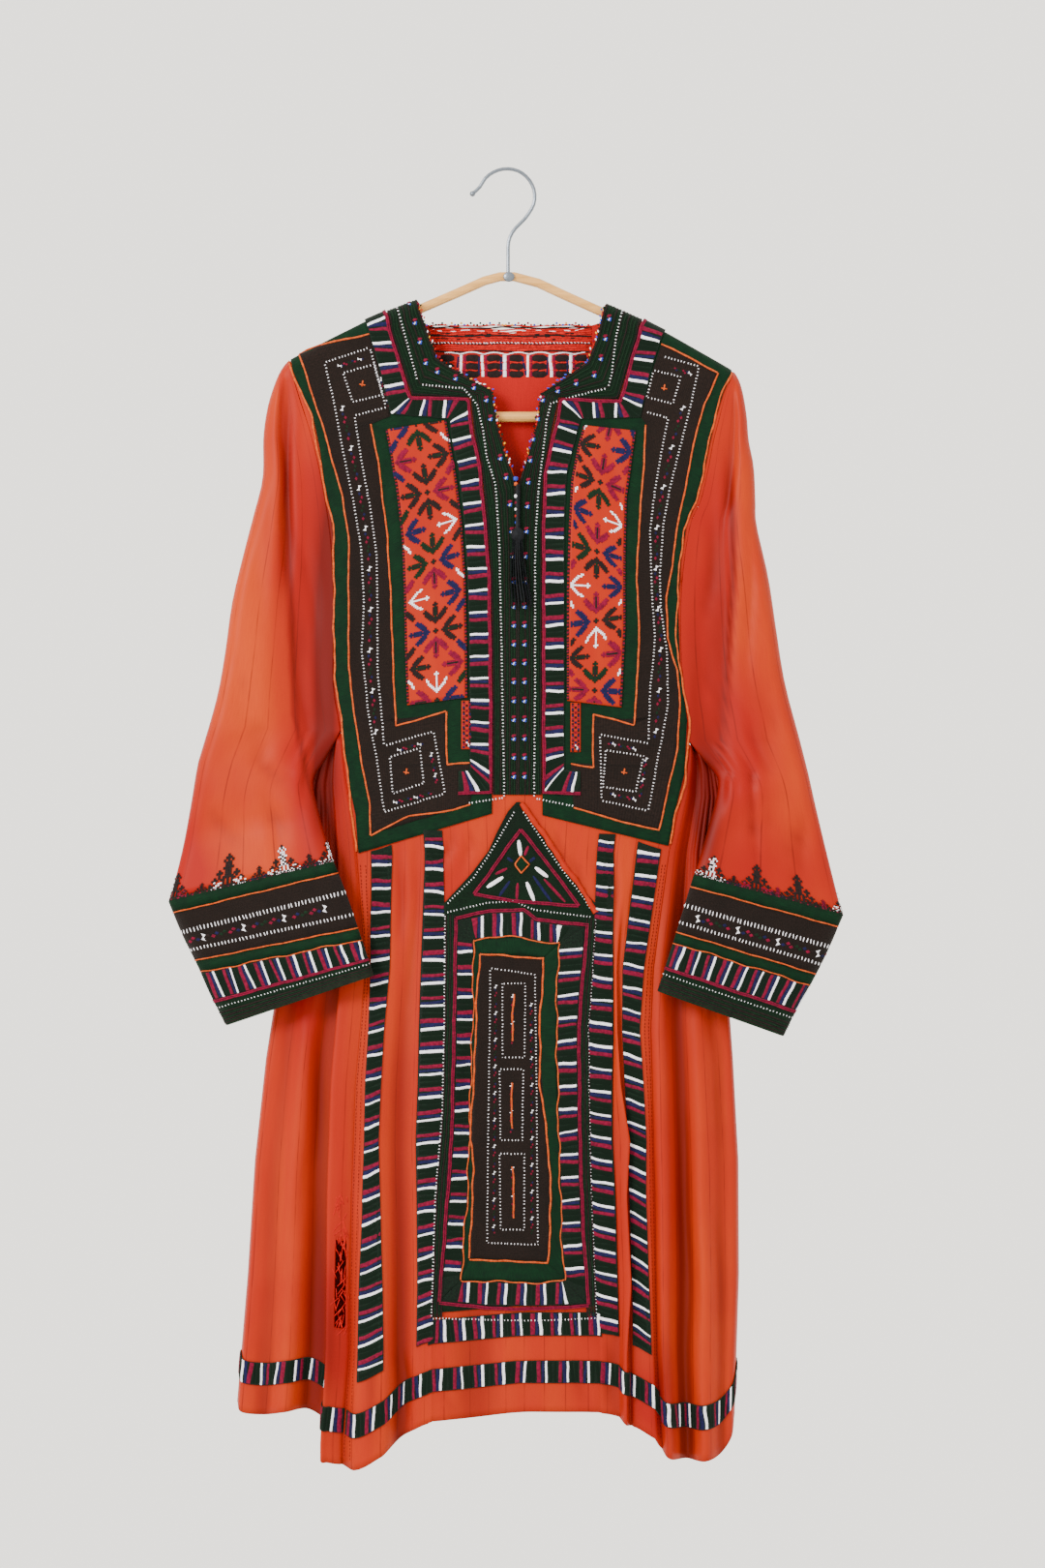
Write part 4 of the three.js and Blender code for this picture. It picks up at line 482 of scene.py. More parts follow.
UNDERARM_ROW = len(ROLL_ANGLES) + 10
CREST_STEP, CREST_RUN, SLEEVE_TURN = 6, 7, 12
CREST_START, CREST_END, CREST_FADE = 30, 370, 40
ARMHOLE_STEP, RING_STEP = 0.34, 0.25
OPEN_SHARES = 46
RING_HALF = 44


def round_off(t):
    return np.sqrt(np.maximum(0, 1 - (1 - clamp01(t)) ** 2))


def ring_points(r, shares, face, closed, shoulder_z):
    """One side of a flattened sleeve section: face -1 is the front, 1 the back."""
    width = abs(r[0] - r[2])
    below = shoulder_z - r[3]
    fade = ease(below / CREST_START) * (1 - ease((below - CREST_END) / CREST_FADE))
    x, z = mix(r[0], r[2], shares), mix(r[1], r[3], shares)
    from_outer = round_off(shares * width / SLEEVE_TURN)
    from_inner = round_off((1 - shares) * width / SLEEVE_TURN) if closed else 1
    own = mix(r[4], r[5], shares) + face * r[6] * from_outer * from_inner
    past = ease((shares - r[7]) * width / CREST_RUN)
    step = -CREST_STEP * fade * from_outer * (1 - past) if face < 0 else 0
    body = upper_depth(x, np.maximum(z, WAIST), CHEST_DEPTH if face < 0 else BACK_DEPTH) * face
    joined = 0 if closed else ease((shares - 0.35) / 0.65)
    inner = 1 if closed else 1 - ease((shares - 0.8) / 0.2)
    soft = from_outer * from_inner * inner * ease(below / SHOULDER_FADE)
    y = mix(own + step, body, joined) - face * sunk(CREASES_SLEEVES, x, z) * soft
    return np.stack([x, y, z], -1)


def spread(n, power=1.0):
    """Shares from 0 to 1, closer together towards both ends."""
    t = np.linspace(0, 1, n)
    return mix(t, 0.5 - 0.5 * np.cos(np.pi * t), power)


def section(table, place):
    """A sleeve's or cuff's section at a place among the rows of its table."""
    return np.array([smooth_between(table[:, k], np.array([place]))[0] for k in range(table.shape[1])])


def sleeve_grid(table, armhole, outward):
    """The sleeve's middle surface: rows open to the body down to the underarm, then closed rings."""
    shoulder_z = armhole[0][1]
    shares = spread(OPEN_SHARES, 0.8)

    def ring(r, closed):
        ahead = ring_points(r, shares, -1, closed, shoulder_z)[::-1]
        return np.concatenate([ahead, ring_points(r, shares, 1, closed, shoulder_z)[1:]])

    open_rows = []
    for row in np.arange(0, UNDERARM_ROW + 1e-6, ARMHOLE_STEP):
        arm_x, arm_z = section(armhole, row)[:2]
        r = section(table, np.interp(-arm_z, -table[:, 3], range(len(table))))
        r[2], r[3] = arm_x + outward * SEAM_GAP, arm_z
        open_rows.append(ring(r, False))
    first = int(np.argmax(table[:, 3] < armhole[UNDERARM_ROW][1] - 5))
    closed_rows = [ring(section(table, k), True) for k in np.arange(first, len(table) - 1 + 1e-6, RING_STEP)]
    lead = [mix(open_rows[-1], closed_rows[0], t) for t in (0.25, 0.5, 0.75)]
    return np.array(open_rows + lead + closed_rows)


def cuff_grid(table):
    """The cuff's middle surface: rows down the sleeve, columns once round from the inner edge."""
    shares = spread(RING_HALF, 0.85)
    rows = []
    for place in np.arange(0, len(table) - 1 + 1e-6, RING_STEP):
        r = section(table, place)
        width = abs(r[0] - r[2])
        turn = round_off(shares * width / SLEEVE_TURN) * round_off((1 - shares) * width / SLEEVE_TURN)
        x, z, y = mix(r[0], r[2], shares), mix(r[1], r[3], shares), mix(r[4], r[5], shares)
        ahead = np.stack([x, y - r[6] * turn, z], -1)[::-1]
        behind = np.stack([x, y + r[6] * turn, z], -1)[1:]
        rows.append(np.concatenate([ahead, behind]))
    return np.array(rows)


# Materials.
def rgb(code):
    c = np.array([int(code[i:i + 2], 16) / 255 for i in (1, 3, 5)])
    linear = np.where(c <= 0.04045, c / 12.92, ((c + 0.055) / 1.055) ** 2.4)
    return (*linear.tolist(), 1.0)


class Shade:
    """Builds a material's nodes."""

    def __init__(self, name, roughness=0.8, sheen=0.0, metallic=0.0):
        self.material = bpy.data.materials.new(name)
        self.material.use_nodes = True
        self.tree = self.material.node_tree
        self.surface = self.tree.nodes["Principled BSDF"]
        self.surface.inputs["Roughness"].default_value = roughness
        self.surface.inputs["Metallic"].default_value = metallic
        self.surface.inputs["Sheen Weight"].default_value = sheen
        self.surface.inputs["Sheen Roughness"].default_value = 0.45
        self.surface.inputs["Specular IOR Level"].default_value = 0.08
        self.cache = {}

    def node(self, kind, **sockets):
        n = self.tree.nodes.new(kind)
        for key, value in sockets.items():
            self.put(n.inputs[key.replace("_", " ")], value)
        return n

    def put(self, socket, value):
        if isinstance(value, bpy.types.NodeSocket):
            self.tree.links.new(value, socket)
        else:
            socket.default_value = value

    def math(self, op, a, b=0.0):
        n = self.tree.nodes.new("ShaderNodeMath")
        n.operation = op
        self.put(n.inputs[0], a)
        self.put(n.inputs[1], b)
        return n.outputs[0]

    def uv(self):
        if "uv" not in self.cache:
            n = self.tree.nodes.new("ShaderNodeSeparateXYZ")
            self.tree.links.new(self.node("ShaderNodeUVMap").outputs[0], n.inputs[0])
            self.cache["uv"] = n.outputs
        return self.cache["uv"]

    def cloth_place(self, across, along):
        """A texture place in cloth millimetres, scaled across and along."""
        u, v, _ = self.uv()
        n = self.tree.nodes.new("ShaderNodeCombineXYZ")
        self.put(n.inputs[0], self.math("MULTIPLY", u, 1000 * across))
        self.put(n.inputs[1], self.math("MULTIPLY", v, 1000 * along))
        return n.outputs[0]

    def noise(self, vector, scale, detail=2.0, rough=0.55):
        n = self.node("ShaderNodeTexNoise", Vector=vector, Scale=scale, Detail=detail, Roughness=rough)
        return n.outputs["Fac"]

    def object_place(self):
        return self.node("ShaderNodeTexCoord").outputs["Object"]

    def ramp(self, value, low, high):
        n = self.node("ShaderNodeMapRange", Value=value, From_Min=low, From_Max=high)
        n.clamp = True
        return n.outputs[0]

    def blend(self, factor, a, b):
        n = self.tree.nodes.new("ShaderNodeMix")
        n.data_type = "RGBA"
        self.put(n.inputs[0], factor)
        self.put(n.inputs[6], a)
        self.put(n.inputs[7], b)
        return n.outputs[2]

    def attribute(self, name):
        n = self.tree.nodes.new("ShaderNodeAttribute")
        n.attribute_name = name
        return n.outputs["Fac"]

    def colour(self, value):
        self.put(self.surface.inputs["Base Color"], value)

    def bump(self, height, strength, distance):
        n = self.node("ShaderNodeBump", Height=height)
        n.inputs["Strength"].default_value = strength
        n.inputs["Distance"].default_value = distance * MM
        self.put(self.surface.inputs["Normal"], n.outputs[0])


STRIPE_PITCH, STRIPE_HALF = 17, 0.024
# Painted shade in folds and painted shadows: its strongest share and its colour.
FOLD_SHADE_LIMIT, FOLD_SHADE_COLOUR = 0.88, "#4a0502"
GROOVE_SHADE_COLOUR = "#0a0b0a"


def silk(name, ground, deep, pale, stripe, stripes=True):
    """Shot silk: a ground that shifts between two colours, with painted shade in its folds, painted light
    where it is lit, and fine dark stripes.
    """
    m = Shade(name, roughness=0.5, sheen=0.02)
    m.surface.inputs["Sheen Tint"].default_value = rgb("#ff7a3a")
    m.surface.inputs["Specular IOR Level"].default_value = 0.1
    streak = m.noise(m.cloth_place(0.045, 0.004), 1.0, 3.0, 0.5)
    cloud = m.noise(m.object_place(), 5.0, 3.0)
    fine = m.noise(m.cloth_place(1.3, 0.06), 1.0, 2.0)
    base = m.blend(m.math("MULTIPLY", m.ramp(streak, 0.4, 0.8), 0.45), rgb(ground), rgb(pale))
    # Painted light: paler where the pale attribute is set.
    base = m.blend(m.math("MULTIPLY", m.attribute("pale"), 0.85), base, rgb(pale))
    # Redder where the red attribute is set: partly the silk's shot colour, partly painted shade on inner
    # sides.
    reds_and_shade = m.math("ADD", m.attribute("red"), m.math("MULTIPLY", m.ramp(cloud, 0.45, 0.75), 0.6))
    base = m.blend(m.math("MINIMUM", reds_and_shade, 1.0), base, rgb(deep))
    base = m.blend(m.math("MULTIPLY", m.ramp(fine, 0.35, 0.9), 0.3), base, rgb(deep))
    # Painted shade: darker in fold hollows and painted shadows, from the fold attribute.
    base = m.blend(m.math("MINIMUM", m.attribute("fold"), FOLD_SHADE_LIMIT), base, rgb(FOLD_SHADE_COLOUR))
    if stripes:
        turn = m.math("FRACT", m.math("MULTIPLY", m.uv()[0], 1000 / STRIPE_PITCH))
        line = m.math("LESS_THAN", m.math("ABSOLUTE", m.math("SUBTRACT", turn, 0.5)), STRIPE_HALF)
        broken = m.ramp(m.noise(m.cloth_place(0.02, 0.03), 1.0), 0.3, 0.6)
        base = m.blend(m.math("MULTIPLY", m.math("MULTIPLY", line, broken), 0.5), base, rgb(stripe))
    m.colour(base)
    warp = m.noise(m.cloth_place(2.2, 0.12), 1.0, 2.0)
    slub = m.noise(m.cloth_place(0.15, 1.4), 1.0, 2.0)
    m.bump(m.math("ADD", warp, m.math("MULTIPLY", slub, 0.6)), 0.35, 0.1)
    return m.material


def stitched(name, ground, shade, row, link=2.2):
    """Ground packed with rows of chain stitch that run along the piece."""
    m = Shade(name, roughness=0.85, sheen=0.03)
    u, v, _ = m.uv()
    wander = m.math("MULTIPLY", m.noise(m.cloth_place(0.05, 0.05), 1.0), 1.6)
    rows = m.math("SINE", m.math("ADD", m.math("MULTIPLY", u, 2000 * math.pi / row), wander))
    links = m.math("SINE", m.math("ADD", m.math("MULTIPLY", v, 2000 * math.pi / link), wander))
    height = m.math("ADD", m.math("ABSOLUTE", rows), m.math("MULTIPLY", links, 0.22))
    speck = m.noise(m.cloth_place(0.9, 0.5), 1.0, 3.0, 0.7)
    patch = m.noise(m.cloth_place(0.05, 0.035), 1.0, 3.0)
    base = m.blend(m.ramp(speck, 0.35, 0.72), rgb(ground), rgb(shade))
    base = m.blend(m.math("MULTIPLY", m.ramp(patch, 0.45, 0.7), 0.5), base, rgb(shade))
    # Painted shade in the grooves between rows of stitches.
    groove_shade = m.math("MULTIPLY", m.ramp(m.math("ABSOLUTE", rows), 0.45, 0.0), 0.35)
    m.colour(m.blend(groove_shade, base, rgb(GROOVE_SHADE_COLOUR)))
    m.bump(height, 0.9, 0.35)
    return m.material


def satin(name, ground, shade):
    """Satin stitch: fine glossy threads across the band."""
    m = Shade(name, roughness=0.75, sheen=0.02)
    threads = m.noise(m.cloth_place(0.12, 2.4), 1.0, 2.0)
    patch = m.noise(m.cloth_place(0.08, 0.06), 1.0, 3.0, 0.65)
    base = m.blend(m.ramp(threads, 0.3, 0.75), rgb(ground), rgb(shade))
    m.colour(m.blend(m.math("MULTIPLY", m.ramp(patch, 0.4, 0.7), 0.6), base, rgb(shade)))
    m.bump(threads, 0.8, 0.3)
    return m.material


def thread(name, ground, shade, roughness=0.7):
    m = Shade(name, roughness=roughness, sheen=0.03)
    wear = m.noise(m.object_place(), 420.0, 3.0)
    twist = m.noise(m.object_place(), 1500.0, 1.0)
    m.colour(m.blend(m.ramp(wear, 0.35, 0.7), rgb(ground), rgb(shade)))
    m.bump(twist, 0.6, 0.2)
    return m.material


MATERIALS = {
    "silk": silk("silk", "#932003", "#840c03", "#a83a07", "#4c0a06"),
    "silk_inside": silk("silk_inside", "#960603", "#6c0402", "#a41004", "#4c0806", stripes=False),
    "silk_patch": silk("silk_patch", "#8e1a02", "#7e0a02", "#9a2a05", "#4c0a06", stripes=False),
    "green": satin("green_satin", "#02240f", "#011008"),
    "brown": stitched("brown_chain", "#1c1310", "#0f0b09", row=1.6),
    "dark": stitched("dark_green_chain", "#050e08", "#07200f", row=1.7),
    "black": stitched("ribbon_black", "#0a0e0c", "#0f2216", row=1.9, link=5.0),
    "white": thread("white_thread", "#e4e4ea", "#c4c1ca"),
    "magenta": thread("magenta_thread", "#6c0428", "#48041a"),
    "navy": thread("navy_thread", "#12123a", "#0b0c26"),
    "brown_thread": thread("brown_thread", "#1c1211", "#100b0b"),
    "green_thread": thread("green_thread", "#08200f", "#05140a"),
    "piping": thread("orange_piping", "#b44c1a", "#8a2e0e"),
    "block": stitched("ribbon_block", "#040a06", "#05170b", row=1.9, link=5.0),
    "seam_thread": thread("seam_thread", "#5a0a06", "#3c0604"),
    "tassel": thread("black_thread", "#08090b", "#101217", 0.5),
    "red_thread": thread("red_thread", "#b0140e", "#780c0a"),
    "yellow": thread("yellow_bead", "#d79a28", "#a86a1a", 0.35),
    "blue": thread("blue_bead", "#2b3fae", "#1a2878", 0.3),
}


def wood_material():
    m = Shade("beech", roughness=0.42)
    m.surface.inputs["Coat Weight"].default_value = 0.25
    m.surface.inputs["Coat Roughness"].default_value = 0.3
    place = m.node("ShaderNodeMapping", Vector=m.object_place())
    place.inputs["Scale"].default_value = (9, 160, 160)
    grain = m.noise(place.outputs[0], 2.2, 6.0, 0.6)
    pore = m.noise(place.outputs[0], 9.0, 2.0)
    base = m.blend(m.ramp(grain, 0.3, 0.75), rgb("#c99858"), rgb("#a87838"))
    m.colour(m.blend(m.math("MULTIPLY", m.ramp(pore, 0.6, 0.8), 0.3), base, rgb("#8a6236")))
    m.bump(grain, 0.25, 0.15)
    return m.material


def steel_material():
    m = Shade("hook_steel", roughness=0.24, metallic=1.0)
    place = m.node("ShaderNodeMapping", Vector=m.object_place())
    place.inputs["Scale"].default_value = (500, 500, 60)
    drawn = m.noise(place.outputs[0], 1.0, 3.0)
    m.colour(m.blend(drawn, rgb("#7c838c"), rgb("#565d66")))
    m.put(m.surface.inputs["Roughness"], m.ramp(drawn, -1.2, 3.2))
    m.bump(drawn, 0.15, 0.05)
    return m.material


# Geometry.
def grid_normals(p, outward):
    du, dv = np.gradient(p, axis=0), np.gradient(p, axis=1)
    n = np.cross(du, dv)
    n /= np.maximum(np.linalg.norm(n, axis=-1, keepdims=True), 1e-9)
    if callable(outward):
        outward = outward(p)
    return n if (n * outward).sum() > 0 else -n


def from_middle(p):
    """Directions away from the middle of each row of a tube."""
    return p - p.mean(axis=1, keepdims=True)


def new_object(name, verts, faces, materials, face_material=None, uv=None, attributes=None):
    data = bpy.data.meshes.new(name)
    faces = faces if isinstance(faces, list) else faces.tolist()
    data.from_pydata((np.asarray(verts) * MM).tolist(), [], faces)
    for m in materials:
        data.materials.append(MATERIALS[m] if isinstance(m, str) else m)
    if face_material is not None:
        data.polygons.foreach_set("material_index", np.asarray(face_material, np.int32))
    data.polygons.foreach_set("use_smooth", np.ones(len(data.polygons), bool))
    if uv is not None:
        layer = data.uv_layers.new(name="UVMap")
        corner = np.zeros(len(data.loops), np.int32)
        data.loops.foreach_get("vertex_index", corner)
        layer.data.foreach_set("uv", (np.asarray(uv) * MM)[corner].astype(np.float32).ravel())
    for key, values in (attributes or {}).items():
        data.attributes.new(key, "FLOAT", "POINT").data.foreach_set("value", np.asarray(values, np.float32))
    obj = bpy.data.objects.new(name, data)
    bpy.context.scene.collection.objects.link(obj)
    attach(obj, "root")
    return obj


def shell(
    name, p, low, high, outer, inner=None, outward=FRONT, ring=False, closed_cells=None, attributes=None
):
    """A closed wall round a grid of middle points, from one offset to the other along its normal."""
    rows, cols = p.shape[:2]
    if ring:
        p = p[:, :-1] if np.allclose(p[:, 0], p[:, -1], atol=0.3) else p
        cols = p.shape[1]
        q = np.concatenate([p[:, -1:], p, p[:, :1]], 1)
        n = grid_normals(q, from_middle)[:, 1:-1]
    else:
        n = grid_normals(p, outward)
    along = np.concatenate([[0], np.cumsum(np.linalg.norm(np.diff(p.mean(1), axis=0), axis=-1))])
    middle = p[rows // 2]
    across = np.concatenate([[0], np.cumsum(np.linalg.norm(np.diff(middle, axis=0), axis=-1))])
    uv = np.stack(np.meshgrid(across, along), -1)
    verts = np.concatenate([(p + n * high).reshape(-1, 3), (p + n * low).reshape(-1, 3)])
    count = rows * cols
    keep = np.ones((rows - 1, cols if ring else cols - 1), bool) if closed_cells is None else closed_cells
    i, j = np.nonzero(keep)
    k = (j + 1) % cols
    a, b, c, d = i * cols + j, (i + 1) * cols + j, (i + 1) * cols + k, i * cols + k
    quads = np.stack([a, b, c, d], 1)
    u, v, w = verts[a[0]], verts[b[0]], verts[d[0]]
    facing = np.dot(np.cross(v - u, w - u), n.reshape(-1, 3)[a[0]])
    if facing < 0:
        quads = quads[:, ::-1]
    edges = {}
    for q in quads.tolist():
        for e, f in zip(q, q[1:] + q[:1]):
            if (f, e) in edges:
                del edges[(f, e)]
            else:
                edges[(e, f)] = True
    walls = np.array([[f, e, e + count, f + count] for e, f in edges], int)
    faces = np.concatenate([quads, quads[:, ::-1] + count, walls])
    slots = np.concatenate([np.zeros(len(quads)), np.ones(len(quads)), np.zeros(len(walls))])
    extra = {k: np.concatenate([v.ravel(), v.ravel()]) for k, v in (attributes or {}).items()}
    return new_object(
        name, verts, faces, [outer, inner or outer], slots, np.concatenate([uv.reshape(-1, 2)] * 2), extra
    )


class Strip:
    """A surface to sew on: places are (length down it, distance across from its middle, height)."""

    def __init__(self, points, outward, lift):
        self.normal = grid_normals(points, outward)
        self.points = points + self.normal * lift
        mid = points[:, points.shape[1] // 2]
        self.at = np.concatenate([[0], np.cumsum(np.linalg.norm(np.diff(mid, axis=0), axis=-1))])
        self.width = np.linalg.norm(np.diff(points, axis=1), axis=-1).sum(1)
        self.length = self.at[-1]

    def width_at(self, length):
        return np.interp(length, self.at, self.width)

    def place(self, length, across, height):
        rows, cols = self.points.shape[:2]
        row = np.interp(length, self.at, np.arange(rows))
        col = (0.5 + across / self.width_at(length)) * (cols - 1)
        i = np.clip(np.floor(row).astype(int), 0, rows - 2)
        j = np.clip(np.floor(col).astype(int), 0, cols - 2)
        s, t = (row - i)[..., None], (col - j)[..., None]

        def blend(g):
            return mix(mix(g[i, j], g[i + 1, j], s), mix(g[i, j + 1], g[i + 1, j + 1], s), t)

        n = blend(self.normal)
        n = n / np.linalg.norm(n, axis=-1, keepdims=True)
        return blend(self.points) + n * np.asarray(height)[..., None]


class Sewing:
    """Small raised shapes gathered into one object per thread colour."""

    def __init__(self, name):
        self.name = name
        self.parts = {}

    def add(self, colour, verts, faces):
        bucket = self.parts.setdefault(colour, [[], [], 0])
        bucket[0].append(verts.reshape(-1, 3))
        bucket[1].append(faces + bucket[2])
        bucket[2] += len(verts.reshape(-1, 3))

    def shapes(self, colour, strip, length, across, outline, faces, turn=0.0):
        """Copies of a shape, given as rows of (down, across, height), at places on a strip."""
        length, across = np.broadcast_arrays(np.asarray(length, float), np.asarray(across, float))
        length, across = length.ravel(), across.ravel()
        if not len(length):
            return
        turn = np.broadcast_to(np.asarray(turn, float), length.shape)
        o = np.asarray(outline, float)
        if o.ndim == 2:
            o = np.broadcast_to(o, (len(length),) + o.shape)
        c, s = np.cos(turn)[:, None], np.sin(turn)[:, None]
        down = length[:, None] + o[..., 0] * c - o[..., 1] * s
        side = across[:, None] + o[..., 0] * s + o[..., 1] * c
        verts = strip.place(down, side, o[..., 2])
        f = np.asarray(faces)
        firsts = np.arange(len(length))[:, None, None] * o.shape[1]
        self.add(colour, verts, (f[None] + firsts).reshape(-1, f.shape[1]))

    def stitches(self, colour, strip, length, across, long, wide, tall=0.45, turn=0.0):
        """Single stitches, long along the strip, with rounded backs."""
        h, w = long / 2, wide / 2
        outline = [
            (-h, -w * 0.5, -0.1), (-h, w * 0.5, -0.1), (h, w * 0.5, -0.1), (h, -w * 0.5, -0.1),
            (-h * 0.55, -w, 0), (-h * 0.55, w, 0), (h * 0.55, w, 0), (h * 0.55, -w, 0), (-h * 0.5, 0, tall),
            (h * 0.5, 0, tall),
        ]
        faces = [
            (4, 7, 9, 8), (8, 9, 6, 5), (0, 4, 8, 8), (1, 8, 5, 5), (0, 8, 1, 1), (3, 9, 7, 7), (2, 6, 9, 9),
            (3, 2, 9, 9),
        ]
        self.shapes(colour, strip, length, across, outline, faces, turn)

    def line(self, colour, strip, across, gap, long, wide, tall, seed, turn=0.0):
        """A row of stitches along a strip at a distance across."""
        rng = np.random.default_rng(seed)
        at = np.arange(gap / 2, strip.length, gap)
        at = at + rng.normal(0, gap * 0.06, len(at))
        side = across + rng.normal(0, 0.12, len(at))
        self.stitches(colour, strip, at, side, long, wide, tall, turn + rng.normal(0, 0.1, len(at)))

    def cord(self, colour, strip, across, radius, start=0.0, end=None, sides=6, height=0.0, step=2.0,
             wander=0.25, seed=3):
        """A round cord along a strip."""
        end = strip.length if end is None else end
        rng = np.random.default_rng(seed)
        n = max(3, int((end - start) / step) + 1)
        at = np.linspace(start, end, n)
        drift = wander * (np.sin(at / 9 + rng.uniform(0, 6)) + 0.5 * np.sin(at / 3.7 + rng.uniform(0, 6)))
        side = (across(at) if callable(across) else np.full(n, float(across))) + drift
        thick = radius * (1 + 0.12 * np.sin(at * 2.6 + rng.uniform(0, 6)))
        angle = np.linspace(0, 2 * np.pi, sides, endpoint=False)
        down = np.broadcast_to(at[:, None], (n, sides))
        thick = thick[:, None]
        verts = strip.place(down, side[:, None] + thick * np.cos(angle), height + thick * np.sin(angle))
        i, j = np.meshgrid(np.arange(n - 1), np.arange(sides), indexing="ij")
        k = (j + 1) % sides
        faces = np.stack([i * sides + j, (i + 1) * sides + j, (i + 1) * sides + k, i * sides + k], -1)
        self.add(colour, verts, faces.reshape(-1, 4))

    def bars(self, colour, strip, at, wide, margin, tall, seed, slant=0.0):
        """Raised bars right across a strip, each a few laid threads."""
        rng = np.random.default_rng(seed)
        at = np.asarray(at, float)
        at = at[(at > wide / 2) & (at < strip.length - wide / 2)]
        if not len(at):
            return
        share = np.linspace(margin - 0.5, 0.5 - margin, 5)
        rise = np.array([0.45, 0.9, 1.0, 0.9, 0.45])
        shape = [
            (d, w, r * h) for d, h in ((-1, 0.0), (-0.55, 0.8), (0, 1.0), (0.55, 0.8), (1, 0.0))
            for w, r in zip(share, rise)
        ]
        o = np.broadcast_to(np.array(shape), (len(at), 25, 3)).copy()
        full = strip.width_at(at)[:, None]
        half = wide / 2 * rng.uniform(0.72, 1.15, (len(at), 1))
        bend = rng.normal(0, 0.5, (len(at), 1)) + slant * full * 0.5
        wave = rng.uniform(-0.5, 0.5, (len(at), 1))
        o[..., 0] = o[..., 0] * half + bend * 2 * o[..., 1] + wave * np.sin(6 * o[..., 1])
        o[..., 1] = o[..., 1] * full * rng.uniform(0.96, 1.02, (len(at), 1))
        o[..., 2] = o[..., 2] * tall - 0.05
        faces = [(k * 5 + m, k * 5 + m + 1, k * 5 + m + 6, k * 5 + m + 5) for k in range(4) for m in range(4)]
        self.shapes(colour, strip, at, np.zeros(len(at)), o, faces)

    def finish(self):
        for colour, (verts, faces, _) in self.parts.items():
            cleaned = [tuple(dict.fromkeys(f)) for part in faces for f in part.tolist()]
            obj = new_object(f"{self.name}_{colour}", np.concatenate(verts), cleaned, [colour])


def fine(table, step):
    """A table of matching edge places, made dense along its length."""
    t = np.asarray(table, float)
    rows = []
    for a, b in zip(t[:-1], t[1:]):
        n = max(1, int(math.ceil(max(np.hypot(*(b[:2] - a[:2])), np.hypot(*(b[2:] - a[2:]))) / step)))
        rows += [mix(a, b, k / n) for k in range(n)]
    return np.array(rows + [t[-1]])


CLOTH_STEP, LINE_STEP = 4.0, 2.5


def laid(table, step=CLOTH_STEP):
    """Points on the front between the two edges of a table of (outer x, outer z, inner x, inner z)."""
    rows = fine(table, step)
    wide = np.hypot(rows[:, 0] - rows[:, 2], rows[:, 1] - rows[:, 3]).max()
    t = np.linspace(0, 1, max(2, int(wide / CLOTH_STEP) + 2))[None, :, None]
    return on_front(mix(rows[:, None, :2], rows[:, None, 2:], t))


def along(line, width):
    """A narrow strip on the front along a line of (x, z) places."""
    p = np.asarray(line, float)
    dense = [p[0]]
    for a, b in zip(p[:-1], p[1:]):
        n = max(1, int(math.ceil(np.hypot(*(b - a)) / LINE_STEP)))
        dense += [mix(a, b, (k + 1) / n) for k in range(n)]
    d = np.array(dense)
    t = np.gradient(d, axis=0)
    t /= np.linalg.norm(t, axis=1, keepdims=True)
    side = np.stack([t[:, 1], -t[:, 0]], 1) * width / 2
    return on_front(np.stack([d - side, d, d + side], 1))


# The cloth of the garment.
def places_between(first, last, each):
    return np.arange(first, last + 1e-6, 1 / each)


UPPER_ROWS = np.concatenate([np.arange(0, 4, 0.5), np.arange(4, WAIST_ROW, 0.34)])
SKIRT_SHARES = np.linspace(0, 1, 78)

# Silk painted redder (shot colour and painted shade), paler (painted light) or with painted shadow: x, z,
# reach across and down, how much.
RED_AND_SHADE_PATCHES = [
    (-172, -455, 26, 120, 0.95), (-205, -330, 10, 120, 0.5), (-165, -560, 26, 60, 0.5),
    (-300, -640, 60, 30, 0.45), (-250, -560, 30, 60, 0.35), (-292, -600, 16, 60, 0.5),
    (-196, -250, 7, 60, 0.6), (-180, -700, 14, 120, 0.7), (176, -430, 22, 150, 0.9), (196, -520, 26, 50, 0.7),
    (222, -560, 14, 130, 0.35), (262, -640, 50, 40, 0.75), (205, -300, 8, 80, 0.4),
    (150, -760, 30, 120, 0.25), (190, -640, 26, 60, 0.4), (-150, -900, 8, 220, 0.6),
    (-235, -960, 14, 140, 0.45), (-160, -1040, 14, 60, 0.8), (-60, -650, 22, 50, 0.5),
    (100, -1090, 40, 40, 0.3), (132, -1120, 16, 30, 0.9), (-190, -760, 20, 60, 0.4),
    (-97, -760, 5, 200, 0.35), (-97, -1000, 6, 160, 0.3), (206, -900, 10, 220, 0.25),
    (30, -640, 60, 20, 0.15),
]
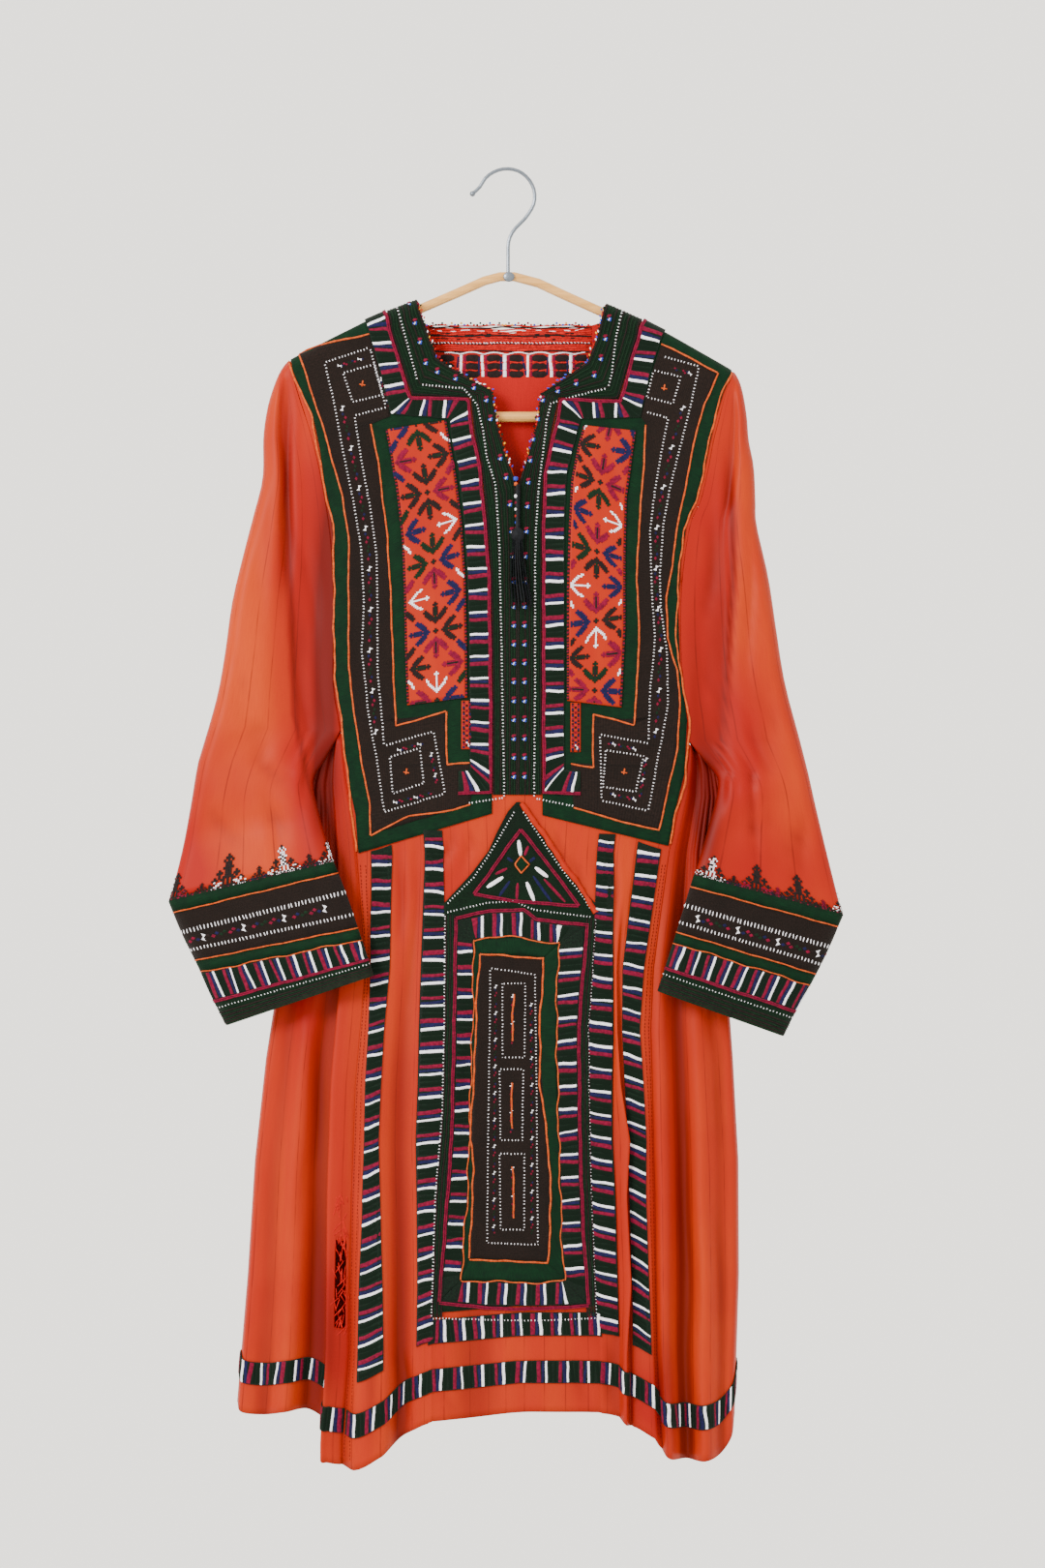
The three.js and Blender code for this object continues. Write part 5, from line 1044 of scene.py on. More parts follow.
# Painted light: places where the lit silk is painted paler.
PAINTED_LIGHT_PATCHES = [
    (-245, -440, 34, 200, 0.3), (235, -430, 22, 200, 0.1), (-260, -600, 50, 60, 0.2),
    (-230, -500, 24, 160, 0.75), (-250, -620, 36, 50, 0.8), (-205, -200, 10, 30, 0.6),
    (-215, -600, 30, 60, 0.7), (230, -430, 14, 130, 0.2), (206, -620, 14, 60, 0.3), (262, -560, 20, 60, 0.1),
    (-106, -700, 6, 100, 0.4), (108, -640, 6, 60, 0.5), (-200, -1060, 20, 60, 0.3),
    (180, -1000, 24, 120, 0.3), (10, -1100, 60, 20, 0.2),
]
SHADOWS = [
    (-167, -410, 9, 100, 0.9), (-164, -500, 8, 80, 0.8), (-160, -330, 6, 60, 0.6), (170, -470, 6, 60, 0.35),
    (-168, -560, 10, 40, 0.7), (182, -560, 12, 50, 0.85), (178, -600, 8, 50, 0.6), (-160, -1060, 7, 50, 0.5),
    (150, -700, 7, 60, 0.35), (-150, -640, 8, 40, 0.4), (-122, -1090, 4, 50, 0.4), (140, -1100, 5, 40, 0.5),
]


def patches(table, p):
    x, z = p[..., 0], p[..., 2]
    total = sum(
        m * np.exp(-(((x - a) / (1.3 * w)) ** 2 + ((z - b) / (1.1 * h)) ** 2)) for a, b, w, h, m in table
    )
    return np.clip(total, 0, 1)


FOLD_REACH, FOLD_DEPTH = 9, 5.0


def hollows(p):
    """How deep each point lies in a fold: its depth behind the mean of its neighbours across."""
    y = p[..., 1]
    pad = np.pad(y, ((0, 0), (FOLD_REACH, FOLD_REACH)), mode="edge")
    mean = np.stack([pad[:, k:k + y.shape[1]] for k in range(2 * FOLD_REACH + 1)]).mean(0)
    return np.clip((y - mean) / FOLD_DEPTH, 0, 1)


def shades(p, forward):
    """How red (shot colour and painted shade), how pale (painted light) and how deep in painted fold shade
    each point is. Forward is -1 on the back.
    """
    # Painted shade in the hollows of folds, and painted shadows from the table.
    folds = 0.75 * hollows(p * [1, forward, 1])
    folds = np.maximum(folds, patches(SHADOWS, p) if forward > 0 else 0)
    return {"red": patches(RED_AND_SHADE_PATCHES, p), "pale": patches(PAINTED_LIGHT_PATCHES, p), "fold": folds}


# The crest of each sleeve's long fold, as (z, x). Its inner side gets painted shade, red and dark, and its
# outer side a painted highlight.
CRESTS = {
    "sleeve_left_silk": [(-230, -207), (-344, -201), (-440, -197.5), (-496, -195.6), (-560, -183),
                         (-606, -167)],
    "sleeve_right_silk": [(-230, 206), (-367, 208.5), (-513, 199.5), (-594, 184.6)],
}


def add_crest(found, p, line):
    z, x = np.array(line[::-1], float).T
    inward = -np.sign(x[0]) * (p[..., 0] - np.interp(p[..., 2], z, x))
    reach = np.clip((p[..., 2] - z[0] + 10) / 30, 0, 1) * np.clip((z[-1] - p[..., 2]) / 60, 0, 1)
    # Painted shade, red, on the crest's inner side.
    found["red"] = np.maximum(found["red"], 0.9 * reach * ease(inward / 4))
    # Painted highlight along the crest's outer side.
    lit = 0.9 * reach * np.exp(-(inward / 18) ** 2)
    found["pale"] = np.where(inward < 0, np.maximum(found["pale"], lit), 0)
    # Painted shade in a dark line just inside the crest.
    found["fold"] = np.maximum(found["fold"], 0.75 * reach * np.exp(-((inward - 3.5) / 3) ** 2))


# Flat width, length and area in metres of each cut piece, what it hangs from or lies on, its slot and the
# node that it replaces. Without an area the piece is a full rectangle.
HANGER = "hanger_arms"
CUTS = {
    "front_skirt": (0.34, 0.80, None, HANGER, "silk", "front"),
    "front_left_chest": (0.16, 0.30, None, HANGER, "silk", None),
    "front_right_chest": (0.16, 0.30, None, HANGER, "silk", None),
    "back_panel": (0.34, 1.0, None, HANGER, "silk", "back"),
    "side_left_gore": (0.30, 0.66, 0.145, HANGER, "silk", "side_left"),
    "side_right_gore": (0.24, 0.66, 0.125, HANGER, "silk", "side_right"),
    "sleeve_left_silk": (0.26, 0.48, None, HANGER, "silk", "sleeve_left"),
    "sleeve_right_silk": (0.24, 0.48, None, HANGER, "silk", "sleeve_right"),
    "cuff_left_base": (0.30, 0.12, None, HANGER, "embroidery", "cuff_left"),
    "cuff_right_base": (0.30, 0.12, None, HANGER, "embroidery", "cuff_right"),
    "yoke_left_ground": (0.19, 0.5, 0.062, "front_left_chest", "embroidery", "yoke_left"),
    "yoke_right_ground": (0.18, 0.48, 0.0575, "front_right_chest", "embroidery", "yoke_right"),
    "neck_band_left": (0.03, 0.47, 0.0141, "front_left_chest", "embroidery", "neck_band"),
    "neck_band_right": (0.028, 0.46, 0.0128, "front_right_chest", "embroidery", None),
    "yoke_ribbon_left_ground": (0.022, 0.49, 0.0107, "front_left_chest", "ribbon", "yoke_ribbon_left"),
    "yoke_ribbon_right_ground": (0.022, 0.48, 0.0105, "front_right_chest", "ribbon", "yoke_ribbon_right"),
    "motif_left_ground": (0.074, 0.26, 0.0145, "front_left_chest", "counted_stitch", "motif_left"),
    "motif_right_ground": (0.062, 0.256, 0.0135, "front_right_chest", "counted_stitch", "motif_right"),
    "ribbon_left_ground": (0.02, 0.48, 0.0096, "front_skirt", "ribbon", "ribbon_left"),
    "ribbon_right_ground": (0.02, 0.46, 0.0092, "front_skirt", "ribbon", "ribbon_right"),
    "pocket_ribbon_left": (0.022, 0.47, 0.0103, "front_skirt", "ribbon", "pocket_ribbon"),
    "pocket_ribbon_right": (0.022, 0.46, 0.0101, "front_skirt", "ribbon", None),
    "pocket_ribbon_foot": (0.024, 0.16, 0.0038, "front_skirt", "ribbon", None),
    "pocket_ground": (0.15, 0.46, 0.0575, "front_skirt", "embroidery", "pocket"),
    "hem_ribbon_front_ground": (0.02, 0.36, 0.0072, "front_skirt", "ribbon", "hem_ribbon_front"),
    "hem_ribbon_left_ground": (0.018, 0.3, 0.0054, "side_left_gore", "ribbon", "hem_ribbon_left"),
    "hem_ribbon_right_ground": (0.018, 0.24, 0.0043, "side_right_gore", "ribbon", "hem_ribbon_right"),
    "hem_ribbon_back_ground": (0.02, 0.3, 0.006, "back_panel", "ribbon", "hem_ribbon_back"),
    "back_neck_band_ground": (0.17, 0.06, 0.0088, "back_panel", "embroidery", "back_neck_band"),
}


def cut(name, p, low, high, outer, inner=None, **options):
    """A cut piece of cloth: a shell on its form."""
    wide, long, area, under, slot, replaced = CUTS[name]
    obj = shell(name, p, low, high, outer, inner, **options)
    if replaced:
        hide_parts(replaced)


def silk_cut(name, p, forward=1, **options):
    found = shades(p, forward)
    if name in CRESTS:
        add_crest(found, p, CRESTS[name])
    cut(name, p, -CLOTH / 2, CLOTH / 2, "silk", "silk_inside", attributes=found, **options)


def band(name, p, material, lift=BAND_LIFT, thick=BAND, outward=FRONT):
    """A sewn-on piece. Returns the strip on its face."""
    cut(name, p, lift, lift + thick, material, outward=outward)
    return Strip(p, outward, lift + thick)


left_places, right_places = places_between(0, CENTRE_LINE, 7), places_between(CENTRE_LINE, LAST_LINE, 7)
front_rows = np.concatenate([UPPER_ROWS, WAIST_ROW + SKIRT_SHARES])
left_half, right_half = front_grid(left_places, front_rows, True), front_grid(right_places, front_rows, False)
slit_row = int(np.argmax(front_rows >= SLIT_END))
silk_cut("front_skirt", np.concatenate([left_half[slit_row:], right_half[slit_row:, 1:]], 1), outward=FRONT)
silk_cut("front_left_chest", left_half[:slit_row + 1], outward=FRONT)
silk_cut("front_right_chest", right_half[:slit_row + 1], outward=FRONT)

back_shares = np.unique(np.concatenate([np.linspace(0, 1, 86), NECK_SHARES]))
back_rows = np.concatenate([UPPER_ROWS, WAIST_ROW + np.linspace(0, 1, 64)])
in_neck = (back_shares[:-1] > NECK_SHARES[0] - 1e-6) & (back_shares[1:] < NECK_SHARES[1] + 1e-6)
back_keep = ~((back_rows[:-1, None] < len(ROLL_ANGLES) - 1e-6) & in_neck[None])
silk_cut("back_panel", back_grid(back_shares, back_rows), -1, outward=BACK, closed_cells=back_keep)

LEFT_OUT, RIGHT_OUT = np.array([-1, -0.2, 0]), np.array([1, -0.2, 0])
RIP_PLACES = (1, 2)
side_rows = np.concatenate([np.linspace(-1, 0, 14)[:-1], SKIRT_SHARES])


def side_keep(places):
    """Which cells of the left gore stay round the rip."""
    inside = (places[:-1] > RIP_PLACES[0] - 1e-6) & (places[1:] < RIP_PLACES[1] + 1e-6)
    middle = (side_rows[:-1] + side_rows[1:]) / 2
    tall = (middle > RIP_HEAD) & (middle < RIP_FOOT)
    return ~(tall[:, None] & inside[None])


places_l, places_r = places_between(0, 13, 8), places_between(0, 10, 9)
silk_cut("side_left_gore", side_grid(SIDE_LEFT, places_l, side_rows, True), outward=LEFT_OUT,
         closed_cells=side_keep(places_l))
silk_cut("side_right_gore", side_grid(SIDE_RIGHT, places_r, side_rows, False), outward=RIGHT_OUT)

sleeve_l, sleeve_r = sleeve_grid(SLEEVE_LEFT, UPPER_LEFT, -1), sleeve_grid(SLEEVE_RIGHT, UPPER_RIGHT, 1)
silk_cut("sleeve_left_silk", sleeve_l, outward=from_middle)
silk_cut("sleeve_right_silk", sleeve_r, outward=from_middle)
CUFF_TOP, CUFF_LEAD = 1.1, 1.2
cuff_l, cuff_r = cuff_grid(CUFF_LEFT), cuff_grid(CUFF_RIGHT)
for name, p in (("cuff_left_base", cuff_l), ("cuff_right_base", cuff_r)):
    step = p[0] - p[1]
    p[0] += CUFF_LEAD * step / np.linalg.norm(step, axis=-1, keepdims=True)
    cut(name, p, -CUFF_TOP, CUFF_TOP, "dark", "silk_inside", ring=True)

# Chest panel, neckband and motif panels: (outer x, outer z, inner x, inner z).
YOKE_LEFT = [
    (-194.5, -183, -106.4, -146), (-184.5, -208, -96.8, -175), (-176, -225, -87.2, -206.8),
    (-170, -254, -60.9, -207.6), (-165.6, -285, -34, -208.5), (-159.6, -311.5, -30.2, -241.5),
    (-156.4, -348, -24, -269.5), (-156.4, -375.5, -19.7, -313), (-156.4, -421, -15.3, -366),
    (-155.6, -460, -14.4, -418), (-148.6, -511, -13.6, -479.5), (-143.4, -556.5, -13.6, -540),
    (-137.3, -586, -13.6, -565), (-134.6, -621, -13.6, -585),
]
YOKE_RIGHT = [
    (201, -192, 119, -152), (196, -204, 110.8, -178), (189.8, -224, 102, -210), (183.7, -250, 74.9, -209.5),
    (177.6, -280, 47.8, -208.5), (170.6, -304.5, 40.8, -241.5), (162.7, -323, 33.8, -277.5),
    (157.4, -357, 32, -322), (154.9, -401, 32, -374.5), (156.6, -451.5, 32, -427), (163, -501, 32, -484),
    (160.4, -549.5, 32, -536.5), (152, -583.6, 32, -568.8), (146, -614.3, 32, -586.5),
]
BAND_LEFT = [
    (-105.6, -149, -79.6, -128), (-96, -176, -72.8, -147), (-86.4, -206, -64.2, -171.5),
    (-60.2, -206.8, -38.5, -188.3), (-33.2, -207.6, -14.3, -200.8), (-29.4, -241, -9, -232),
    (-23.2, -269, -2, -258), (-19, -313, 8.2, -285), (-14.6, -366, CENTRE, -346), (-13.7, -418, CENTRE, -410),
    (-12.9, -479.5, CENTRE, -479.5), (-12.9, -535, CENTRE, -535), (-12.9, -568, CENTRE, -568),
]
BAND_RIGHT = [
    (118.2, -154, 86.7, -132.5), (110, -179, 81.6, -153.4), (101.2, -209, 72.8, -175.4),
    (74.2, -208.6, 51.6, -190.4), (47, -207.6, 31.7, -203.4), (40, -241, 26.5, -234.7), (33, -277, 19, -260),
    (31.3, -322, 11, -285), (31.3, -374.5, CENTRE, -346), (31.3, -427, CENTRE, -410),
    (31.3, -484, CENTRE, -479.5), (31.3, -536.5, CENTRE, -535), (31.3, -568, CENTRE, -568),
]
RIBBON_LEFT = [
    (-126, -147, -107, -146.5), (-117, -178, -97.4, -175), (-110, -206, -90.5, -201.5),
    (-105.9, -223, -88, -207.6), (-85, -224.7, -83.5, -207.8), (-70, -226, -69, -208.1),
    (-56, -227.2, -54.5, -208.6), (-53, -227.5, -35, -209.3), (-51.8, -234, -33, -229),
    (-50, -250, -31, -242), (-44, -275, -24.8, -270), (-39.5, -316, -20.5, -313.5), (-36, -367, -16, -366),
    (-34.5, -420, -15.2, -418), (-34, -480, -14.4, -479.5), (-34, -528, -14.4, -528),
    (-34, -545, -14.4, -566), (-44, -546.5, -44, -567.5),
]
RIBBON_RIGHT = [
    (139, -157, 119.6, -152.5), (131, -182, 111.4, -178.5), (125.5, -206, 105.5, -202),
    (121, -226, 102.6, -211), (101, -226.6, 100, -210.9), (86, -227.1, 85, -210.6),
    (70, -227.4, 68.5, -209.7), (67, -227.5, 48.6, -209.3), (65.4, -234, 46, -229), (61, -250, 41.6, -242),
    (54, -279, 34.6, -278), (52, -323, 32.8, -322.5), (52, -375, 32.8, -375), (52, -427, 32.8, -427),
    (52, -484, 32.8, -484), (52, -528, 32.8, -528), (52, -545, 32.8, -566), (66.5, -546.5, 66.5, -567.5),
]
MOTIF_LEFT = [
    (-110, -237, -55.5, -228.5), (-105, -262, -51.4, -252), (-100.6, -288, -46.4, -279),
    (-95, -337, -41.3, -320), (-93, -385, -37.8, -370), (-92, -435, -36.5, -425), (-90.2, -487, -36, -480),
]
MOTIF_RIGHT = [
    (116.6, -238, 69.5, -233), (112.9, -264, 64, -254), (108.5, -301, 58.4, -282), (107, -345, 56, -325),
    (106.8, -380, 54.4, -378), (106.8, -417, 54.2, -428), (103.3, -489, 54.2, -483),
]


def topped(table, outer_x, inner_x):
    """A table led up over the shoulder seam, laid on the front."""
    outer_z, inner_z = shoulder_height(np.array([outer_x, inner_x], float))
    rows = [
        (mix(outer_x, table[0][0], k), outer_z - SHOULDER_ROLL * k,
         mix(inner_x, table[0][2], k), inner_z - SHOULDER_ROLL * k)
        for k in (0, 0.12, 0.35, 0.65)
    ]
    return laid(rows + table)


band("yoke_left_ground", topped(YOKE_LEFT, -196, -109.9), "green")
band("yoke_right_ground", topped(YOKE_RIGHT, 203.5, 123.4), "green")
neck_l = band("neck_band_left", topped(BAND_LEFT, -108.9, -81.6), "dark")
neck_r = band("neck_band_right", topped(BAND_RIGHT, 122.4, 89.5), "dark")
chest_l = band("yoke_ribbon_left_ground", topped(RIBBON_LEFT, -128.5, -110.5), "black", TRIM_LIFT, TRIM)
chest_r = band("yoke_ribbon_right_ground", topped(RIBBON_RIGHT, 143, 124), "black", TRIM_LIFT, TRIM)
motif_l = band("motif_left_ground", laid(MOTIF_LEFT), "silk_patch", TRIM_LIFT, TRIM)
motif_r = band("motif_right_ground", laid(MOTIF_RIGHT), "silk_patch", TRIM_LIFT, TRIM)


# Skirt: ribbons, pocket and hem, laid in places among the skirt's lines.
def on_skirt(first, last, heads, columns):
    """Rows from a slanted head above the waist down to the foot of the border."""
    s = np.linspace(LINE[first], LINE[last], columns)
    left = first.endswith("left outer")
    rise = np.linspace(*heads, columns)
    head = np.stack([front_grid([a], [WAIST_ROW - r], left)[0, 0] for a, r in zip(s, rise)])
    body = front_grid(s, WAIST_ROW + np.arange(0.0, BORDER_FOOT + 1e-6, BORDER_STEP), True)
    lead = [mix(head, body[0], t) for t in (0.34, 0.67)]
    return np.concatenate([head[None], lead, body])


def on_pocket(p):
    """Moves points of the front out to the pocket's head, which stands off the chest panel."""
    p = p.copy()
    p[..., 1] -= POCKET_STANDOFF * ease((p[..., 2] - HEAD_FOOT) / HEAD_RUN)
    return p


skirt_strips = [
    band(name, on_skirt(first, last, heads, columns), "black")
    for name, first, last, heads, columns in (
        ("ribbon_left_ground", "ribbon left outer", "ribbon left inner", (0.04, 0.25), 7),
        ("ribbon_right_ground", "ribbon right inner", "ribbon right outer", (0.42, 0.16), 7),
        ("pocket_ribbon_left", "border left outer", "pocket left", (0.62, 0.62), 6),
        ("pocket_ribbon_right", "pocket right", "border right outer", (0.62, 0.62), 6),
    )
]
foot_places = np.linspace(LINE["border left inner"] + 0.02, LINE["border right inner"] - 0.02, 50)
foot_points = front_grid(foot_places, WAIST_ROW + np.linspace(BORDER_HEAD, BORDER_FOOT, 7), True)
skirt_strips.append(band("pocket_ribbon_foot", foot_points.transpose(1, 0, 2), "black"))

POCKET_HEAD = [
    (8.6, -574.5, 11.6, -574.5), (0.8, -583, 20, -586), (-8.8, -601, 31, -603), (-16.6, -618.6, 43, -622),
    (-33.3, -640.5, 59, -644),
]
POCKET_TOP, POCKET_STANDOFF, HEAD_FOOT, HEAD_RUN = 0.09, 1.35, -655, 43
pocket_places = np.linspace(LINE["pocket left"], LINE["pocket right"], 37)
pocket_body = front_grid(pocket_places, WAIST_ROW + np.linspace(POCKET_TOP, POCKET_FOOT, 76), True)
first = pocket_body[0]
shares = (first[:, 0] - first[0, 0]) / (first[-1, 0] - first[0, 0])
head_rows = fine(POCKET_HEAD, CLOTH_STEP)
head = on_front(mix(head_rows[:, None, :2], head_rows[:, None, 2:], shares[None, :, None]))
lead = [mix(head[-1], first, t) for t in (0.3, 0.65)]
band("pocket_ground", on_pocket(np.concatenate([head, lead, pocket_body])), "dark")

hem_rows = np.linspace(HEM_RIBBON_HEAD, HEM_RIBBON_FOOT, 6)
hem_strips = {
    side: band(f"hem_ribbon_{side}_ground", grid.transpose(1, 0, 2), "black", outward=outward)
    for side, grid, outward in (
        ("front", front_grid(np.linspace(0.3, LAST_LINE - 0.3, 120), WAIST_ROW + hem_rows, True), FRONT),
        ("left", side_grid(SIDE_LEFT, np.linspace(0.3, 12.9, 110), hem_rows, True), LEFT_OUT),
        ("right", side_grid(SIDE_RIGHT, np.linspace(0.3, 9.9, 90), hem_rows, False), RIGHT_OUT),
        ("back", back_grid(np.linspace(0.008, 0.992, 90), WAIST_ROW + hem_rows), BACK),
    )
}

NECK_BAND_FOOT = -192
neck_shares = np.linspace(*NECK_SHARES, 44)
neck_top = back_grid(neck_shares, [len(ROLL_ANGLES)])[0]
back_neck = []
for t in np.linspace(0, 1, 12):
    x, z = neck_top[:, 0], mix(neck_top[:, 2] - 0.5, NECK_BAND_FOOT, t)
    back_neck.append(np.stack([x, back_depth(x, z, neck_shares), z], 1))
back_neck = np.array(back_neck)
band("back_neck_band_ground", back_neck, "dark", outward=BACK)

wood, steel = wood_material(), steel_material()
for node, material in (
    ("hanger_arms", wood), ("hanger_bar", wood), ("hanger_hook", steel), ("hanger_nut", steel),
    ("tassel", MATERIALS["tassel"]),
):
    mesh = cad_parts[node].data
    mesh.materials.clear()
    mesh.materials.append(material)

# Sewing, from here on in places of the elevation drawing.
YOKE_TOP = BAND_LIFT + BAND
PATCH = 0.5
PATCH_TOP = YOKE_TOP + PATCH
BAR_WIDTH = {"magenta": 3.7, "navy": 3.4, "white": 2.5}
RISING, FALLING = ("magenta", "navy", "white"), ("white", "navy", "magenta")
DOT_GAP, DOT = 3.0, (0.85, 1.6)


def run(points, lift, width=5.0, pocket_side=False):
    """A narrow strip to sew on along a line."""
    p = along(px(points), width)
    return Strip(on_pocket(p) if pocket_side else p, FRONT, lift)


def patch(
    name, rows, material, lift, thick=PATCH, slot="embroidery", pocket_side=False, step=CLOTH_STEP
):
    """A flat piece between two edges, given as rows of (outer x, outer y, inner x, inner y)."""
    t = np.asarray(rows, float)
    p = laid(np.concatenate([px(t[:, :2]), px(t[:, 2:])], 1), step)
    if pocket_side:
        p = on_pocket(p)
    shell(name, p, lift, lift + thick, material)
    return Strip(p, FRONT, lift + thick)


def grouped_bars(sewing, strip, pitch, order, start=3.0, end=None, slant=0.0, margin=0.04, size=1.0, seed=1):
    """Groups of three bars in turn, with a block of dark green satin between the groups."""
    end = strip.length if end is None else end
    place = start
    for k, colour in enumerate(order):
        wide = BAR_WIDTH[colour] * size
        at = np.arange(place + wide / 2, end - wide / 2, pitch)
        tall = 0.7 if colour == "white" else 0.5
        sewing.bars(colour, strip, at, wide, margin, tall=tall, slant=slant, seed=seed + k)
        place += wide + 0.1
    free = pitch - (place - start) - 1.0
    if free > 2:
        for part in (0.25, 0.75):
            at = np.arange(place + 0.5 + free * part, end - free / 4, pitch)
            sewing.bars("block", strip, at, free * 0.46, margin + 0.03, tall=0.35, slant=slant, seed=seed + 7)


def dots(sewing, points, lift, seed, size=DOT, pocket_side=False):
    sewing.line("white", run(points, lift, pocket_side=pocket_side), 0.0, DOT_GAP, *size, tall=0.6, seed=seed)


def square(corners):
    return corners + corners[:1]


DIAMOND = [(-1.7, 0, 0), (0, -1.3, 0), (1.7, 0, 0), (0, 1.3, 0), (0, 0, 0.7)]
PYRAMID_FACES = [(0, 1, 4), (1, 2, 4), (2, 3, 4), (3, 0, 4)]
HOURGLASS = [
    (-2.6, -1.6, 0), (-2.0, 1.5, 0), (0.2, 0.2, 0), (-1.5, 0.1, 0.7), (2.6, 1.6, 0), (2.0, -1.5, 0),
    (-0.2, -0.2, 0), (1.5, -0.1, 0.7),
]
HOURGLASS_FACES = [(0, 1, 3), (1, 2, 3), (2, 0, 3), (4, 5, 7), (5, 6, 7), (6, 4, 7)]


def marks(sewing, strip, pitch, start, turn=0.5, size=1.0):
    """White hourglass marks with coloured diamonds between them along a strip."""
    grow = np.array([size, size, 1.0])
    at = np.arange(start, strip.length - 2, pitch)
    sewing.shapes("white", strip, at, 0.0, np.array(HOURGLASS) * grow, HOURGLASS_FACES, turn)
    for colour, share, side in (
        ("navy", 0.14, 0.8), ("magenta", 0.24, -0.9), ("magenta", 0.34, 0.9), ("green_thread", 0.46, -0.6),
        ("green_thread", 0.56, 0.7), ("navy", 0.66, -0.7), ("magenta", 0.76, 0.8),
        ("brown_thread", 0.88, -0.5),
    ):
        spots = at + pitch * share
        spots = spots[spots < strip.length - 2]
        sewing.shapes(colour, strip, spots, side * size, np.array(DIAMOND) * grow, PYRAMID_FACES)


# Chest panel: brown bands, cords, dotted lines, squares and marks.
BROWN_LEFT = [
    (309, 362, 382, 343), (316, 385, 388, 362), (323, 408, 393, 382), (330, 431, 399, 405),
    (334, 443, 403, 429), (337, 451, 383, 437), (346, 484, 390, 474), (353, 511, 395, 510),
    (360, 553, 400, 553), (360, 622, 404, 622), (360, 690, 406, 680), (366, 735, 409, 748),
    (368, 752, 461, 736), (373, 790, 462, 789), (375, 797, 490, 789), (380, 826, 488, 812),
    (383, 862, 486, 831),
]
BROWN_RIGHT = [
    (742, 384, 684, 354), (733, 408, 676, 378), (726, 428, 669, 404), (719, 449, 663, 430),
    (716, 461, 668, 437), (710, 499, 665, 490), (702, 532, 662, 528), (695, 583, 659, 578),
    (689, 616, 660, 612), (690, 659, 662, 656), (700, 692, 660, 705), (703, 729, 656, 747),
    (702, 752, 614, 740), (697, 790, 613, 790), (695, 797, 590, 788), (690, 820, 591, 812),
    (681, 858, 593, 834),
]
CORDS_LEFT = [
    [(382, 343), (345, 352), (309, 363)],
    [(309, 366), (335, 446), (353, 511), (360, 553), (360, 690), (370, 766), (382, 832), (383, 863)],
    [(383, 863), (423, 843), (469, 837), (486, 831)],
    [(383, 437), (390, 474), (400, 553), (404, 622), (406, 680), (409, 750)],
    [(409, 750), (461, 735)], [(461, 735), (462, 790)], [(462, 790), (490, 788)],
]
CORDS_RIGHT = [
    [(684, 354), (712, 367), (742, 384)],
    [(743, 384), (729, 416), (717, 457), (710, 499), (702, 532), (695, 583), (689, 616), (690, 659),
     (700, 692),
     (703, 729), (700, 774), (681, 858)],
    [(681, 858), (627, 845), (593, 834)],
    [(668, 438), (665, 490), (661, 540), (658, 601), (661, 648), (658, 713), (655, 749)],
    [(655, 749), (613, 738)], [(613, 738), (613, 793)], [(613, 793), (590, 789)],
]
DOTS_LEFT = [
    [(335, 374), (344, 412), (353, 460), (365, 518), (373, 566), (376, 622), (374, 670), (380, 732),
     (389, 783),
     (397, 838)],
    [(366, 429), (373, 474), (382, 522), (389, 573), (390, 629), (390, 690), (397, 770)],
    [(335, 373), (380, 358)], [(382, 358), (398, 418)], [(366, 428), (398, 420)],
    square([(354, 384), (386, 375), (395, 407), (364, 414)]),
    [(398, 770), (447, 756)], [(448, 756), (460, 819)], [(397, 839), (460, 820)],
    square([(403, 782), (434, 773), (438, 809), (406, 820)]),
]
DOTS_RIGHT = [
    [(723, 378), (714, 419), (702, 466), (692, 507), (686, 540), (682, 594), (683, 627), (690, 679),
     (690, 731),
     (683, 768), (670, 838)],
    [(691, 431), (684, 466), (677, 507), (672, 549), (674, 616), (677, 659), (672, 713), (670, 766)],
    [(723, 377), (687, 367)], [(691, 431), (667, 424)],
    square([(676, 381), (704, 388), (696, 416), (669, 409)]),
    [(620, 759), (670, 768)], [(620, 760), (622, 826)], [(622, 827), (670, 838)],
    square([(626, 775), (665, 781), (657, 818), (623, 813)]),
]
MARKS_LEFT = [
    [(352, 415), (361, 455), (373, 515), (381, 570), (383, 626), (382, 680), (389, 762)],
    [(346, 378), (376, 368)], [(392, 386), (404, 424)], [(408, 776), (440, 767)], [(445, 775), (452, 812)],
    [(404, 830), (452, 818)],
]
MARKS_RIGHT = [
    [(708, 415), (696, 455), (685, 507), (679, 545), (678, 605), (683, 659), (681, 722), (677, 765)],
    [(718, 386), (692, 378)], [(660, 775), (626, 767)], [(668, 780), (661, 828)], [(660, 827), (628, 820)],
]
patch("chest_brown_left", BROWN_LEFT, "brown", YOKE_TOP - 0.05)
patch("chest_brown_right", BROWN_RIGHT, "brown", YOKE_TOP - 0.05)
